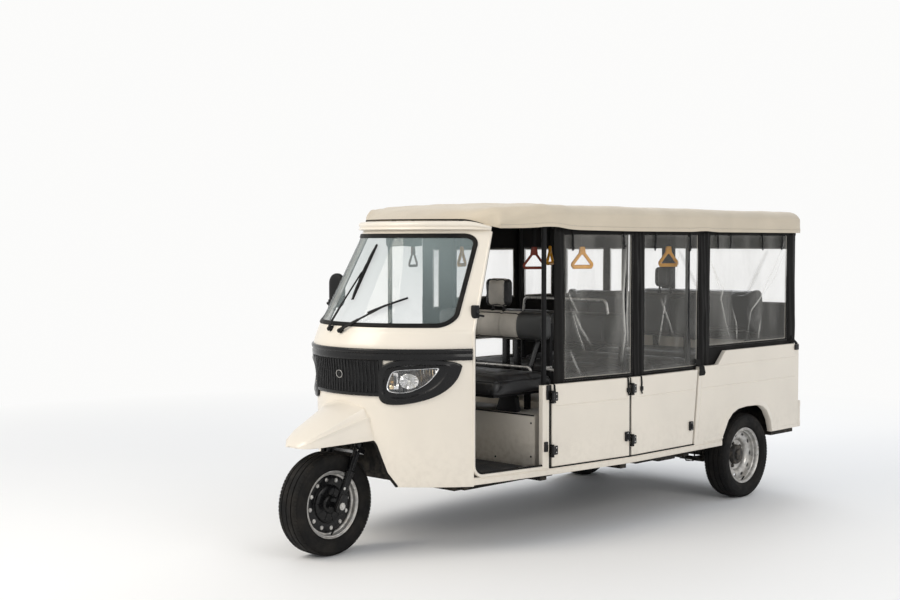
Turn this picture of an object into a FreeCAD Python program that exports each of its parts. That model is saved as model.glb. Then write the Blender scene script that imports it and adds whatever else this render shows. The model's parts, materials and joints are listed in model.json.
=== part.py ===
import FreeCAD, Part
import Sketcher
import math
import os
from FreeCAD import Placement, Rotation, Vector

# Three-wheeled passenger rickshaw with a soft roof, in millimetres
# X points forward, Y to the vehicle's left, Z up; the origin is on the ground
# under the middle of the whole vehicle. Stations are distances behind the front axle.

doc = FreeCAD.newDocument("Rickshaw")
sheet = doc.addObject("Spreadsheet::Sheet", "Sizes")

SIZES = (
    # name, value, meaning
    ("front_axle_x", 1566.5, "front axle ahead of the origin"),
    ("wheelbase", 2785, "front axle to rear axle"),
    ("rear_track", 1190, "between the rear wheels' middles"),
    ("tyre_radius", 254, "outside of the tyre"),
    ("tyre_width", 145, "widest part of the tyre"),
    ("rim_radius", 160, "rim under the bead"),
    ("rim_width", 110, "across the rim's lips"),
    ("rim_lip", 8, "lip above the bead seat"),
    ("hub_radius", 34, "rear hub boss"),
    ("drum_radius", 118, "front wheel's brake drum"),
    ("axle_radius", 14, "front spindle"),
    ("fit_gap", 0.3, "between seated pieces"),
    ("half_body", 685, "half of the body's width behind the second post"),
    ("half_post_b", 622, "half width at the first door's hinge"),
    ("half_post_a", 550, "half width at the windscreen post's foot"),
    ("half_top_a", 460, "half width at the windscreen post's top"),
    ("post_a", 485, "station of the windscreen post's foot"),
    ("post_a_top", 710, "station of the windscreen post's top"),
    ("post_b", 990, "station of the first door's hinge"),
    ("post_c", 1590, "station between the two doors"),
    ("post_d", 2190, "station of the second door's latch"),
    ("post_e", 3318, "station of the rear posts"),
    ("tail_end", 3360, "station of the rear panel's outside"),
    ("tail_step", 27, "lower rear panel stands out"),
    ("tail_step_top", 545, "top of the lower rear panel"),
    ("sill_low", 347, "underside of the sill"),
    ("sill_high", 384, "top of the sill"),
    ("quarter_low", 377, "underside behind the rear wheel"),
    ("door_top", 813, "top of the doors"),
    ("quarter_notch", 828, "top of the quarter panel beside the door"),
    ("quarter_top", 906, "top of the quarter panel"),
    ("notch_start", 2440, "station where the quarter's top starts to rise"),
    ("notch_end", 2520, "station where it has risen"),
    ("arch_top", 560, "top of the rear wheel's arch"),
    ("arch_reach", 238, "half of the arch's opening at its top"),
    ("arch_foot", 292, "half of the arch's opening at the sill"),
    ("arch_round", 90, "corner of the arch"),
    ("panel", 26, "doors, quarters and sills, whole thickness"),
    ("shell", 10, "cowl and windscreen frame"),
    ("hem", 1602, "lower edge of the roof cloth"),
    ("hem_peak", 28, "cloth stands higher at the first post"),
    ("shoulder", 1690, "where the roof cloth turns over"),
    ("crown", 1752, "top of the roof cloth"),
    ("cloth", 8, "roof cloth with its lining"),
    ("canopy_front", 560, "station of the roof cloth's front edge"),
    ("cowl_low", 342, "lower edge of the cowl"),
    ("cowl_high", 1108, "top of the cowl, foot of the windscreen frame"),
    ("frame_high", 1606, "top of the windscreen frame"),
    ("cap_high", 1652, "top of the roof cap's lip"),
    ("cap_reach", 34, "roof cap stands out over the windscreen"),
    ("glass", 5, "windscreen"),
    ("rail_height", 60, "chassis rail"),
    ("rail_width", 50, "chassis rail"),
    ("rail_middle", 355, "chassis rail's middle from the centre line"),
    ("rail_fore", 600, "station of the chassis rails' front end"),
    ("rail_aft", 3300, "station of the chassis rails' rear end"),
    ("jack_station", 1300, "station of the jacking pads"),
    ("jack_pad", 8, "thickness of the jacking pads"),
    ("floor_plate", 22, "floor with its mat"),
    ("rake", 25, "steering axis leans back, in degrees"),
    ("bar_height", 1050, "handlebar's clamp above the ground"),
    ("tube", 26, "posts and roof rails, diameter"),
    ("cushion_top", 860, "top of the seat cushions"),
    ("cushion", 95, "thickness of the seat cushions"),
    ("back_thick", 90, "thickness of the seat backs"),
    ("hinge_out", 14, "door hinge pin outside the door's skin"),
    ("door_gap", 8, "gap below and behind a door"),
    ("hinge_gap", 9, "door's edge behind its hinge line"),
    ("pin_radius", 4, "door hinge pin"),
    ("pin_play", 0.05, "between a hinge pin and its knuckle"),
    ("curtain_gap", 7, "curtain inside the doors and quarters"),
)

for row, (alias, value, meaning) in enumerate(SIZES, start=1):
    sheet.set("A%d" % row, alias)
    sheet.set("B%d" % row, str(value))
    sheet.set("C%d" % row, meaning)
    sheet.setAlias("B%d" % row, alias)
doc.recompute()


class Rule:
    """A length that carries its spreadsheet formula beside its value."""

    def __init__(self, text, value):
        self.text = text
        self.value = float(value)

    def __float__(self):
        return self.value

    def __add__(self, other):
        return joined(self, "+", other, self.value + float(other))

    def __radd__(self, other):
        return joined(other, "+", self, float(other) + self.value)

    def __sub__(self, other):
        return joined(self, "-", other, self.value - float(other))

    def __rsub__(self, other):
        return joined(other, "-", self, float(other) - self.value)

    def __mul__(self, other):
        return joined(self, "*", other, self.value * float(other))

    def __rmul__(self, other):
        return joined(other, "*", self, float(other) * self.value)

    def __truediv__(self, other):
        return joined(self, "/", other, self.value / float(other))

    def __neg__(self):
        return Rule("(0 - %s)" % self.text, -self.value)


def text_of(item):
    return item.text if isinstance(item, Rule) else "%s" % item


def joined(first, sign, second, value):
    return Rule("(%s %s %s)" % (text_of(first), sign, text_of(second)), value)


def named(alias):
    return Rule("Sizes." + alias, sheet.get(alias))


(front_axle_x, wheelbase, rear_track, tyre_radius, tyre_width, rim_radius, rim_width, rim_lip,
 hub_radius, drum_radius, axle_radius, fit_gap, half_body, half_post_b, half_post_a,
 half_top_a, post_a, post_a_top, post_b, post_c, post_d, post_e, tail_end, tail_step,
 tail_step_top, sill_low, sill_high, quarter_low, door_top, quarter_notch, quarter_top,
 notch_start, notch_end, arch_top, arch_reach, arch_foot, arch_round, panel, shell, hem,
 hem_peak, shoulder, crown, cloth, canopy_front, cowl_low, cowl_high, frame_high, cap_high,
 cap_reach, glass, rail_height, rail_width, rail_middle, rail_fore, rail_aft, jack_station,
 jack_pad, floor_plate, rake, bar_height, tube,
 cushion_top, cushion, back_thick, hinge_out, door_gap, hinge_gap, pin_radius,
 pin_play,
 curtain_gap) = [named(s[0]) for s in SIZES]

rear_axle_x = front_axle_x - wheelbase
nodes = []


def behind(station):
    """Place of a station along X."""
    return front_axle_x - station


def place(item, point):
    """Binds an item's position to three rules."""
    for axis, rule in zip("xyz", point):
        item.setExpression("Placement.Base." + axis, text_of(rule))


def block(name, low, extent):
    """Box from its low corner and its three sizes."""
    item = doc.addObject("Part::Box", name)
    for prop, rule in zip(("Length", "Width", "Height"), extent):
        item.setExpression(prop, text_of(rule))
    place(item, low)
    return item


TURNS = {"x": Rotation(Vector(0, 1, 0), 90), "y": Rotation(Vector(1, 0, 0), -90), "z": Rotation()}


def rod(name, start, axis, radius, length):
    """Round bar from a start point along one axis."""
    item = doc.addObject("Part::Cylinder", name)
    item.Placement = Placement(Vector(), TURNS[axis])
    item.setExpression("Radius", text_of(radius))
    item.setExpression("Height", text_of(length))
    place(item, start)
    return item


def fuse(name, items):
    item = doc.addObject("Part::MultiFuse", name)
    item.Shapes = items
    return item


def cut(name, base, tool):
    item = doc.addObject("Part::Cut", name)
    item.Base = base
    item.Tool = tool
    return item


def group(name, items):
    """Like pieces of one body that don't touch."""
    item = doc.addObject("Part::Compound", name)
    item.Links = items
    return item


def formed(name, shape):
    """Piece whose shape comes from its own faces."""
    item = doc.addObject("Part::Feature", name)
    item.Shape = shape
    item.Placement = shape.Placement
    return item


def node(item, label):
    item.Label = label
    nodes.append(item)
    return item


def mirrored(shape):
    """The same piece on the right side."""
    return shape.mirror(Vector(), Vector(0, 1, 0))


def vec(*parts):
    return Vector(*[float(p) for p in parts])


# Sketched pieces

def origin_plane(body, role):
    return [f for f in body.Origin.OriginFeatures if f.Role == role][0]


def outline(body, role, name, corners):
    """Closed outline whose corners are tied to their rules."""
    sketch = body.newObject("Sketcher::SketchObject", name)
    sketch.AttachmentSupport = (origin_plane(body, role), [""])
    sketch.MapMode = "FlatFace"
    points = [Vector(float(a), float(b), 0) for a, b in corners]
    last = len(points) - 1
    for i, point in enumerate(points):
        sketch.addGeometry(Part.LineSegment(point, points[0 if i == last else i + 1]), False)
    for i in range(len(points)):
        sketch.addConstraint(Sketcher.Constraint("Coincident", i, 2, 0 if i == last else i + 1, 1))
    for i, corner in enumerate(corners):
        for kind, rule in zip(("DistanceX", "DistanceY"), corner):
            if text_of(rule) == "0":
                other = "PointOnObject"
                axis = -2 if kind == "DistanceX" else -1
                sketch.addConstraint(Sketcher.Constraint(other, i, 1, axis))
                continue
            n = sketch.addConstraint(Sketcher.Constraint(kind, -1, 1, i, 1, float(rule)))
            sketch.setExpression("Constraints[%d]" % n, text_of(rule))
    return sketch


def pad(body, sketch, name, length, reverse=False):
    feature = body.newObject("PartDesign::Pad", name)
    feature.Profile = sketch
    feature.setExpression("Length", text_of(length))
    feature.Reversed = reverse
    sketch.Visibility = False
    return feature


def side_plate(name, corners, low_y, thickness):
    """Upright plate along the vehicle, drawn in X and Z, from low_y towards the left."""
    body = doc.addObject("PartDesign::Body", name)
    sketch = outline(body, "XZ_Plane", name + "_outline", corners)
    pad(body, sketch, name + "_pad", thickness, reverse=True)
    place(body, (0, low_y, 0))
    return body


def flat_plate(name, corners, low_z, thickness):
    """Level plate, drawn in X and Y."""
    body = doc.addObject("PartDesign::Body", name)
    sketch = outline(body, "XY_Plane", name + "_outline", corners)
    pad(body, sketch, name + "_pad", thickness)
    place(body, (0, 0, low_z))
    return body


# Formed pieces

def prism(points, push):
    """Solid of a closed outline pushed along a vector."""
    wire = Part.makePolygon(points + [points[0]])
    return Part.Face(wire).extrude(push)


def rounded(points, radius):
    """Closed wire through the points with every corner rounded."""
    edges = []
    count = len(points)
    arcs = []
    for i in range(count):
        here = points[i]
        before = points[i - 1] - here
        after = points[(i + 1) % count] - here
        half = before.getAngle(after) / 2
        round_here = radius[i] if isinstance(radius, (list, tuple)) else radius
        reach = round_here / math.tan(half)
        start = here + before.normalize() * reach
        end = here + after.normalize() * reach
        toward = (before + after).normalize()
        middle = here + toward * (round_here / math.sin(half) - round_here)
        arcs.append((start, middle, end))
    for i in range(count):
        start, middle, end = arcs[i]
        edges.append(Part.Arc(start, middle, end).toShape())
        following = arcs[(i + 1) % count][0]
        if (following - end).Length > 1e-6:
            edges.append(Part.LineSegment(end, following).toShape())
    return Part.Wire(edges)


def rounded_prism(points, radius, push):
    return Part.Face(rounded(points, radius)).extrude(push)


BALL = 0.6


def tube_path(points, diameter, capped=False):
    """Round tube through points, with ball corners a little prouder than the tube."""
    radius = float(diameter) / 2
    solids = []
    for first, second in zip(points, points[1:]):
        run = second - first
        solids.append(Part.makeCylinder(radius, run.Length, first, run))
    corners = points if capped else points[1:-1]
    for corner in corners:
        solids.append(Part.makeSphere(radius + BALL, corner))
    return fused(solids)


def fused(solids):
    result = solids[0]
    if len(solids) > 1:
        result = result.fuse(solids[1:])
    return result.removeSplitter()


def loft(wires):
    return Part.makeLoft(wires, True, True)


# Nose of the cab: every level is a front arc and two side arcs, tangent to each other

FRONT_TURN = math.radians(40)
NOSE = (
    # height, nose ahead of the front axle, front arc's radius, share from post foot to post top
    (cowl_low, -120, 500, 0),
    (Rule("880", 880), -105, 500, 0),
    (Rule("1030", 1030), -90, 520, 0),
    (cowl_high, -122, 505, 0),
    (frame_high, -412, 420, 1),
    (cap_high, -424, 420, 1),
)


def nose_level(index):
    height, ahead, radius, share = NOSE[index]
    back = float(post_a) + (float(post_a_top) - float(post_a)) * share
    half = float(half_post_a) + (float(half_top_a) - float(half_post_a)) * share
    return float(height), ahead, radius, back, half


def nose_between(height):
    """Level at any height, between the two listed ones."""
    for index in range(len(NOSE) - 1):
        low = nose_level(index)
        high = nose_level(index + 1)
        if height <= high[0] + 1e-9:
            break
    t = (height - low[0]) / (high[0] - low[0])
    return [a + (b - a) * t for a, b in zip(low, high)]


def nose_wire(height, inset=0, tail=0):
    """Closed outline of the nose at one height, open side closed straight at the post."""
    z, ahead, radius, back, half = nose_between(height)
    front = float(front_axle_x) + ahead
    joint = Vector(front - radius * (1 - math.cos(FRONT_TURN)), radius * math.sin(FRONT_TURN), z)
    foot = Vector(float(front_axle_x) - back, half, z)
    chord = foot - joint
    lean = math.atan2(-chord.x, chord.y)
    side = chord.Length / (2 * math.sin(lean - FRONT_TURN))
    end_turn = 2 * lean - FRONT_TURN
    front_centre = Vector(front - radius, 0, z)
    side_centre = Vector(joint.x - side * math.cos(FRONT_TURN), joint.y - side * math.sin(FRONT_TURN), z)

    def on(centre, r, turn, sign):
        return Vector(centre.x + r * math.cos(turn), sign * (centre.y + r * math.sin(turn)), z)

    edges = []
    r1 = radius - inset
    r2 = side - inset
    right = [on(side_centre, r2, t, -1) for t in (end_turn, lean, FRONT_TURN)]
    left = [on(side_centre, r2, t, 1) for t in (FRONT_TURN, lean, end_turn)]
    edges.append(Part.Arc(*right).toShape())
    edges.append(Part.Arc(right[2], Vector(front_centre.x + r1, 0, z), left[0]).toShape())
    edges.append(Part.Arc(*left).toShape())
    corners = [left[2], left[2] - Vector(tail, 0, 0), right[0] - Vector(tail, 0, 0), right[0]]
    for a, b in zip(corners, corners[1:]):
        if (a - b).Length > 1e-6:
            edges.append(Part.LineSegment(a, b).toShape())
    return Part.Wire(edges)


def nose_solid(low, high, inset=0, tail=0):
    """Solid nose between two heights."""
    heights = [low] + [float(r[0]) for r in NOSE if low + 1 < float(r[0]) < high - 1] + [high]
    solids = [loft([nose_wire(a, inset, tail), nose_wire(b, inset, tail)])
              for a, b in zip(heights, heights[1:])]
    return fused(solids)


def nose_skin(low, high, outside, inside):
    """Skin of the nose between two insets, open at the back."""
    return nose_solid(low, high, outside).cut(nose_solid(low - 5, high + 5, inside, 300))


def front_view(points, radius=0):
    """Prism along X of an outline given in Y and Z."""
    start = float(front_axle_x) - 900
    corners = [Vector(start, y, z) for y, z in points]
    push = Vector(1100, 0, 0)
    if radius:
        return rounded_prism(corners, radius, push)
    return prism(corners, push)


def both_sides(half_points):
    """Half outline from the lower middle to the upper middle, mirrored into a whole one."""
    right = [(-y, z) for y, z in half_points[::-1] if y > 0]
    return list(half_points) + right


# Steering axis: it leans back and passes through the front wheel's centre

lean = math.radians(float(rake))
axis_up = Vector(-math.sin(lean), 0, math.cos(lean))
axis_side = Vector(0, 1, 0)
wheel_centre = vec(front_axle_x, 0, tyre_radius)


def on_axis(distance):
    """Point of the steering axis at a distance up from the front wheel's centre."""
    return wheel_centre + axis_up * distance


CROWN_LOW = 278
HEAD_LOW = 356
HEAD_HIGH = 556
HEAD_RADIUS = 29
STEM_RADIUS = 22
STEM_CLEAR = 42
bar_reach = (float(bar_height) - float(tyre_radius)) / math.cos(lean)

# Chassis

rail_low = sill_low - rail_height
rail_start = behind(rail_aft)
rail_length = rail_aft - rail_fore
chassis = []
for side, sign in (("left", 1), ("right", -1)):
    low_y = rail_middle * sign - rail_width / 2
    chassis.append(block("rail_" + side, (rail_start, low_y, rail_low),
                         (rail_length, rail_width, rail_height)))
CROSS_STATIONS = (600, 1000, 1600, 2200, 3300)
for station in CROSS_STATIONS:
    x = behind(Rule("%d" % station, station))
    chassis.append(block("cross_member_%d" % station, (x, -rail_middle, rail_low),
                         (rail_width, rail_middle * 2, rail_height)))
OUTRIGGERS = ((1000, half_post_b), (1600, half_body), (2200, half_body))
for station, half in OUTRIGGERS:
    x = behind(Rule("%d" % station, station))
    reach = half - panel - 12
    chassis.append(block("outrigger_%d" % station, (x, -reach, sill_low - rail_height / 2),
                         (rail_width, reach * 2, rail_height / 2)))

for side, sign in (("left", 1), ("right", -1)):
    chassis.append(block("jack_pad_" + side, (behind(jack_station), rail_middle * sign - rail_width / 2 + 5,
                                              rail_low - jack_pad), (rail_width, rail_width - 10, jack_pad)))

head_tube = Part.makeCylinder(HEAD_RADIUS, HEAD_HIGH - HEAD_LOW, on_axis(HEAD_LOW), axis_up)
BRACE = 40
brace_paths = []
for sign in (1, -1):
    top = on_axis((HEAD_LOW + HEAD_HIGH) / 2) + Vector(-12, 18 * sign, 0)
    knee = Vector(float(front_axle_x) - 500, 130 * sign, 600)
    foot = Vector(float(front_axle_x) - 575, 300 * sign, float(sill_low) - 20)
    brace_paths.append([top, knee, foot])
head_solid = fused([head_tube] + [tube_path(path, BRACE) for path in brace_paths])
head_bore = Part.makeCylinder(STEM_RADIUS + float(fit_gap), HEAD_HIGH - HEAD_LOW + 40,
                              on_axis(HEAD_LOW - 20), axis_up)
head = formed("head_tube", head_solid.cut(head_bore))
node(fuse("chassis_frame", chassis + [head]), "chassis_frame")

# Floor: it follows the body's plan and leaves room for the rear wheels

tub_half = rear_track / 2 - tyre_width / 2 - 25
arch_fore = rear_axle_x + arch_foot
arch_aft = rear_axle_x - arch_foot
floor_half = half_body - panel
floor_b = half_post_b - panel
floor_a = half_post_a - panel
floor_tail = behind(tail_end) + panel
floor_corners = [
    (behind(post_a) + 40, -floor_a + 20), (behind(post_a), -floor_a), (behind(post_b), -floor_b),
    (behind(post_c), -floor_half), (arch_fore, -floor_half), (arch_fore, -tub_half),
    (arch_aft, -tub_half), (arch_aft, -floor_half), (floor_tail, -floor_half),
    (floor_tail, floor_half), (arch_aft, floor_half), (arch_aft, tub_half),
    (arch_fore, tub_half), (arch_fore, floor_half), (behind(post_c), floor_half),
    (behind(post_b), floor_b), (behind(post_a), floor_a), (behind(post_a) + 40, floor_a - 20),
]
floor = flat_plate("floor_plate_body", floor_corners, sill_low, floor_plate)
tubs = []
tub_top = arch_top + 25
TUB_WALL = 12
for side, sign in (("left", 1), ("right", -1)):
    low_y = tub_half - TUB_WALL if sign > 0 else -tub_half
    tubs.append(block("tub_wall_" + side, (arch_aft - TUB_WALL, low_y, sill_low),
                      (arch_foot * 2 + 2 * TUB_WALL, TUB_WALL, tub_top - sill_low)))
    top_y = tub_half if sign > 0 else -floor_half
    tubs.append(block("tub_top_" + side, (arch_aft - TUB_WALL, top_y, tub_top - TUB_WALL),
                      (arch_foot * 2 + 2 * TUB_WALL, floor_half - tub_half, TUB_WALL)))
    for end, x in (("fore", arch_fore), ("aft", arch_aft - TUB_WALL)):
        tubs.append(block("tub_%s_%s" % (end, side), (x, top_y, sill_low),
                          (TUB_WALL, floor_half - tub_half, tub_top - sill_low)))
brace_room = formed("brace_room", fused([tube_path(path, BRACE + 2 * float(fit_gap)) for path in brace_paths]))
floor_whole = fuse("floor_whole", [floor] + tubs)
node(cut("floor_pan", floor_whole, brace_room), "floor_pan")

# Cowl, with the front wheel's house cut out of it

LINER = 6
HOUSE_DEEP = 440
HOUSE = ((0, 330), (290, 330), (286, 350), (246, 410), (200, 545), (186, 566), (0, 566))
house_cut = front_view(both_sides([p for p in HOUSE if p[0] > 0]))
house_limit = Part.makeBox(700, 800, 600, vec(front_axle_x - HOUSE_DEEP, -400, 0))
house_cut = house_cut.common(house_limit)
stem_room = Part.makeCylinder(STEM_CLEAR, 200, on_axis(HEAD_LOW - 60), axis_up)
cowl = nose_skin(float(cowl_low), float(cowl_high), 0, float(shell)).cut(house_cut).cut(stem_room)
node(formed("front_cowl", cowl), "front_cowl")

# Wheel house: a tub that closes the cowl round the wheel

house_outer = [(y - 0.4, z - 0.4) for y, z in HOUSE if y > 0]
house_inner = [(y - LINER, z - LINER) for y, z in HOUSE if y > 0]
tub = front_view(both_sides(house_outer)).common(house_limit)
void = front_view(both_sides(house_inner))
void = void.common(Part.makeBox(700, 800, 600, vec(front_axle_x - HOUSE_DEEP + LINER, -400, 0)))
liner = tub.cut(void).common(nose_solid(float(cowl_low), 700, float(fit_gap)))
stem_hole = Part.makeCylinder(60, 400, on_axis(200), axis_up)
node(formed("wheel_house", liner.cut(stem_hole)), "wheel_house")

# Mudguard: a beak that grows out of the cowl above the wheel

GUARD = (
    # ahead of the axle, half width low, low edge, half width at the crease, crease height,
    # half width at the shoulder, shoulder height, ridge height
    (248, 48, 552, 44, 557, 30, 560, 563),
    (205, 104, 550, 96, 574, 60, 606, 615),
    (48, 138, 558, 124, 640, 84, 738, 764),
    (-190, 200, 570, 176, 700, 142, 744, 790),
)
GUARD_WALL = 7


def guard_wire(row, wall):
    ahead, low_half, low, crease_half, crease, top_half, top, ridge = row
    x = float(front_axle_x) + ahead
    drop = 60 if wall else 0
    points = [Vector(x, -(low_half - wall), low - drop), Vector(x, -(crease_half - wall), crease - wall / 2),
              Vector(x, -(top_half - wall), top - wall), Vector(x, 0, ridge - wall),
              Vector(x, top_half - wall, top - wall), Vector(x, crease_half - wall, crease - wall / 2),
              Vector(x, low_half - wall, low - drop)]
    edges = [Part.LineSegment(points[0], points[1]).toShape(),
             Part.LineSegment(points[1], points[2]).toShape(),
             Part.Arc(points[2], points[3], points[4]).toShape(),
             Part.LineSegment(points[4], points[5]).toShape(),
             Part.LineSegment(points[5], points[6]).toShape(),
             Part.LineSegment(points[6], points[0]).toShape()]
    return Part.Wire(edges)


guard_outer = loft([guard_wire(row, 0) for row in GUARD])
inner_rows = [(GUARD[0][0] - 10,) + GUARD[0][1:]] + list(GUARD[1:-1]) + [(-200,) + GUARD[-1][1:]]
guard_inner = loft([guard_wire(row, GUARD_WALL) for row in inner_rows])
guard = guard_outer.cut(guard_inner)
guard = guard.cut(nose_solid(float(cowl_low), float(cowl_high), -float(fit_gap), 300))
node(formed("front_mudguard", guard), "front_mudguard")

# Grille surround with its lamp bezels, slats and lamps

SURROUND = 12
BELT_LOW = 966
BELT_HIGH = 1024
BEZEL = ((236, 806), (250, 768), (300, 748), (345, 750), (400, 770), (450, 803), (485, 845),
         (512, 900), (524, BELT_LOW), (236, BELT_LOW))
GRILLE_HALF = 232
GRILLE_LOW = 806
LAMP = ((250, 820), (262, 880), (282, 918), (350, 932), (448, 940), (420, 880), (372, 822), (330, 806))
LAMP_EDGE = 3
skin = nose_skin(740, BELT_HIGH, -SURROUND, -float(fit_gap))
belt = front_view([(-600, BELT_LOW), (600, BELT_LOW), (600, BELT_HIGH), (-600, BELT_HIGH)])
grille_frame = front_view([(-GRILLE_HALF - 8, GRILLE_LOW - 14), (GRILLE_HALF + 8, GRILLE_LOW - 14),
                           (GRILLE_HALF + 8, BELT_LOW), (-GRILLE_HALF - 8, BELT_LOW)])
bezel_left = front_view(BEZEL)
bezel_right = front_view([(-y, z) for y, z in BEZEL])
black_front = fused([skin.common(p) for p in (belt, grille_frame, bezel_left, bezel_right)])
window = front_view([(-GRILLE_HALF, GRILLE_LOW), (GRILLE_HALF, GRILLE_LOW),
                     (GRILLE_HALF, BELT_LOW - 6), (-GRILLE_HALF, BELT_LOW - 6)])
lamp_hole = front_view(LAMP)
lamp_hole_right = front_view([(-y, z) for y, z in LAMP])
lamp_face = nose_skin(780, 960, -SURROUND + 3, -1)
slot_face = nose_skin(GRILLE_LOW, BELT_LOW - 6, -4, -float(fit_gap))
SLATS = 23
SLAT_WIDE = 9
pitch = 2 * GRILLE_HALF / SLATS
slats = [slot_face.common(window)]
deep_skin = nose_skin(GRILLE_LOW, BELT_LOW - 6, -SURROUND + 1, -2)
for i in range(SLATS):
    y = -GRILLE_HALF + pitch * (i + 0.5) - SLAT_WIDE / 2
    strip = front_view([(y, GRILLE_LOW), (y + SLAT_WIDE, GRILLE_LOW),
                        (y + SLAT_WIDE, BELT_LOW - 6), (y, BELT_LOW - 6)])
    slats.append(deep_skin.common(strip))
grille = fused([black_front.cut(window)] + slats)
grille = grille.cut(lamp_hole).cut(lamp_hole_right)
node(formed("grille_surround", grille), "grille_surround")

lamps = []
for points in (LAMP, [(-y, z) for y, z in LAMP]):
    middle_y = sum(p[0] for p in points) / len(points)
    middle_z = sum(p[1] for p in points) / len(points)
    small = [(middle_y + (y - middle_y) * 0.99, middle_z + (z - middle_z) * 0.99) for y, z in points]
    lamps.append(lamp_face.common(front_view(small)))
node(formed("headlamps", Part.makeCompound(lamps)), "headlamps")

# Windscreen frame, glass, seal and the cap over them

PANE = ((490, 1128), (434, 1586))
PANE_ROUND = 62
SEAL = 24


def pane(grow):
    (low_half, low), (high_half, high) = PANE
    points = [(-low_half - grow, low - grow), (low_half + grow, low - grow),
              (high_half + grow, high + grow), (-high_half - grow, high + grow)]
    return front_view(points, PANE_ROUND + grow)


frame_skin = nose_skin(float(cowl_high), float(frame_high), 0, float(shell) + 8)
node(formed("windscreen_frame", frame_skin.cut(pane(-SEAL / 2 + 2))), "windscreen_frame")
seal_skin = nose_skin(1100, 1603, -7, -float(fit_gap))
seal = seal_skin.common(pane(0)).cut(pane(-SEAL))
node(formed("windscreen_seal", seal), "windscreen_seal")
glass_skin = nose_skin(1100, 1603, 2, 2 + float(glass))
node(formed("windscreen_glass", glass_skin.common(pane(-SEAL / 2 + 2 - float(fit_gap)))), "windscreen_glass")

cap_low = float(frame_high)
cap_outer = loft([nose_wire(cap_low, -6), nose_wire(cap_low + 14, -float(cap_reach)),
                  nose_wire(float(cap_high) - 8, -float(cap_reach) + 4),
                  nose_wire(float(cap_high), -8)])
cap_inner = loft([nose_wire(cap_low - 1, 12, 60), nose_wire(float(cap_high) - 12, 12, 60)])
node(formed("roof_cap", cap_outer.cut(cap_inner)), "roof_cap")

# Dashboard shelf inside the cowl

dash = nose_solid(930, 1010, float(shell) + float(fit_gap))
dash_limit = Part.makeBox(150, 1200, 200, vec(front_axle_x - 290, -600, 900))
binnacle = rounded_prism([vec(front_axle_x - 290, y, z) for y, z in
                          ((-110, 1000), (110, 1000), (90, 1062), (-90, 1062))], 18, Vector(70, 0, 0))
dash_solid = fused([dash.common(dash_limit), binnacle])
node(formed("dashboard", dash_solid.cut(Part.makeCylinder(52, 900, on_axis(200), axis_up))), "dashboard")

# Mirror on the right post and the bare bracket on the left one

MIRROR_AT = (-598, -590, 1278)
mirror_middle = vec(front_axle_x + MIRROR_AT[0], MIRROR_AT[1], MIRROR_AT[2])
mirror_head = rounded_prism([mirror_middle + Vector(-14, y, z) for y, z in
                             ((-62, -95), (62, -95), (62, 95), (-62, 95))], 30, Vector(28, 0, 0))
foot = vec(front_axle_x - 514, -532, 1200)
mirror_arm = tube_path([foot, foot + Vector(0, -40, 14), mirror_middle + Vector(0, 20, -60)], 12)
mirror_foot = Part.makeBox(34, 36, 66, foot + Vector(-17, -16, -30))
right_mirror = fused([mirror_head, mirror_arm, mirror_foot])
left_foot = Part.makeBox(34, 36, 66, vec(front_axle_x - 531, 512, 1170))
solid_nose = nose_solid(float(cowl_low), float(frame_high), -float(fit_gap), 20)
mirror_parts = [right_mirror.cut(solid_nose), left_foot.cut(solid_nose)]
node(formed("mirrors", Part.makeCompound(mirror_parts)), "mirrors")

# Wipers: arm and blade over the glass

WIPERS = (
    # pivot y, pivot z, blade's low end y, z, blade's high end y, z
    (-122, 1116, -100, 1165, -28, 1530),
    (-34, 1112, 30, 1140, 268, 1275),
)


def screen_x(y, z, stand):
    """Outside of the nose at one height and side."""
    wire = nose_wire(z, -stand)
    line = Part.makeLine(Vector(0, y, z), Vector(float(front_axle_x) + 200, y, z))
    return max(v.Point.x for v in line.common(Part.Face(wire)).Vertexes)


wiper_parts = []
for pivot_y, pivot_z, low_y, low_z, high_y, high_z in WIPERS:
    pivot = Vector(screen_x(pivot_y, pivot_z, 8), pivot_y, pivot_z)
    knuckle = Part.makeSphere(13, pivot)
    low_end = Vector(screen_x(low_y, low_z, 14), low_y, low_z)
    high_end = Vector(screen_x(high_y, high_z, 14), high_y, high_z)
    middle = (low_end + high_end) * 0.5 + Vector(8, 0, 0)
    wiper_parts.append(fused([knuckle, tube_path([pivot, middle], 9), tube_path([low_end, high_end], 12)]))
wipers = Part.makeCompound([w.cut(nose_solid(1000, 1600, -float(fit_gap))).cut(seal) for w in wiper_parts])
node(formed("wipers", wipers), "wipers")

# Sills: straight from the cab's post to the rear arch, bent once where the body widens

sill_parts = []
sill_plan = [(behind(post_a), half_post_a), (behind(post_b), half_post_b), (behind(post_c), half_body), (rear_axle_x + arch_foot, half_body)]
outer = [vec(x, y, sill_low) for x, y in sill_plan]
inner = [vec(x, y - panel + fit_gap, sill_low) for x, y in sill_plan[::-1]]
sill_shape = prism(outer + inner, vec(0, 0, sill_high - sill_low))
node(formed("side_sills", Part.makeCompound([sill_shape, mirrored(sill_shape)])), "side_sills")

# Rear quarters, with the wheel arch

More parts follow.
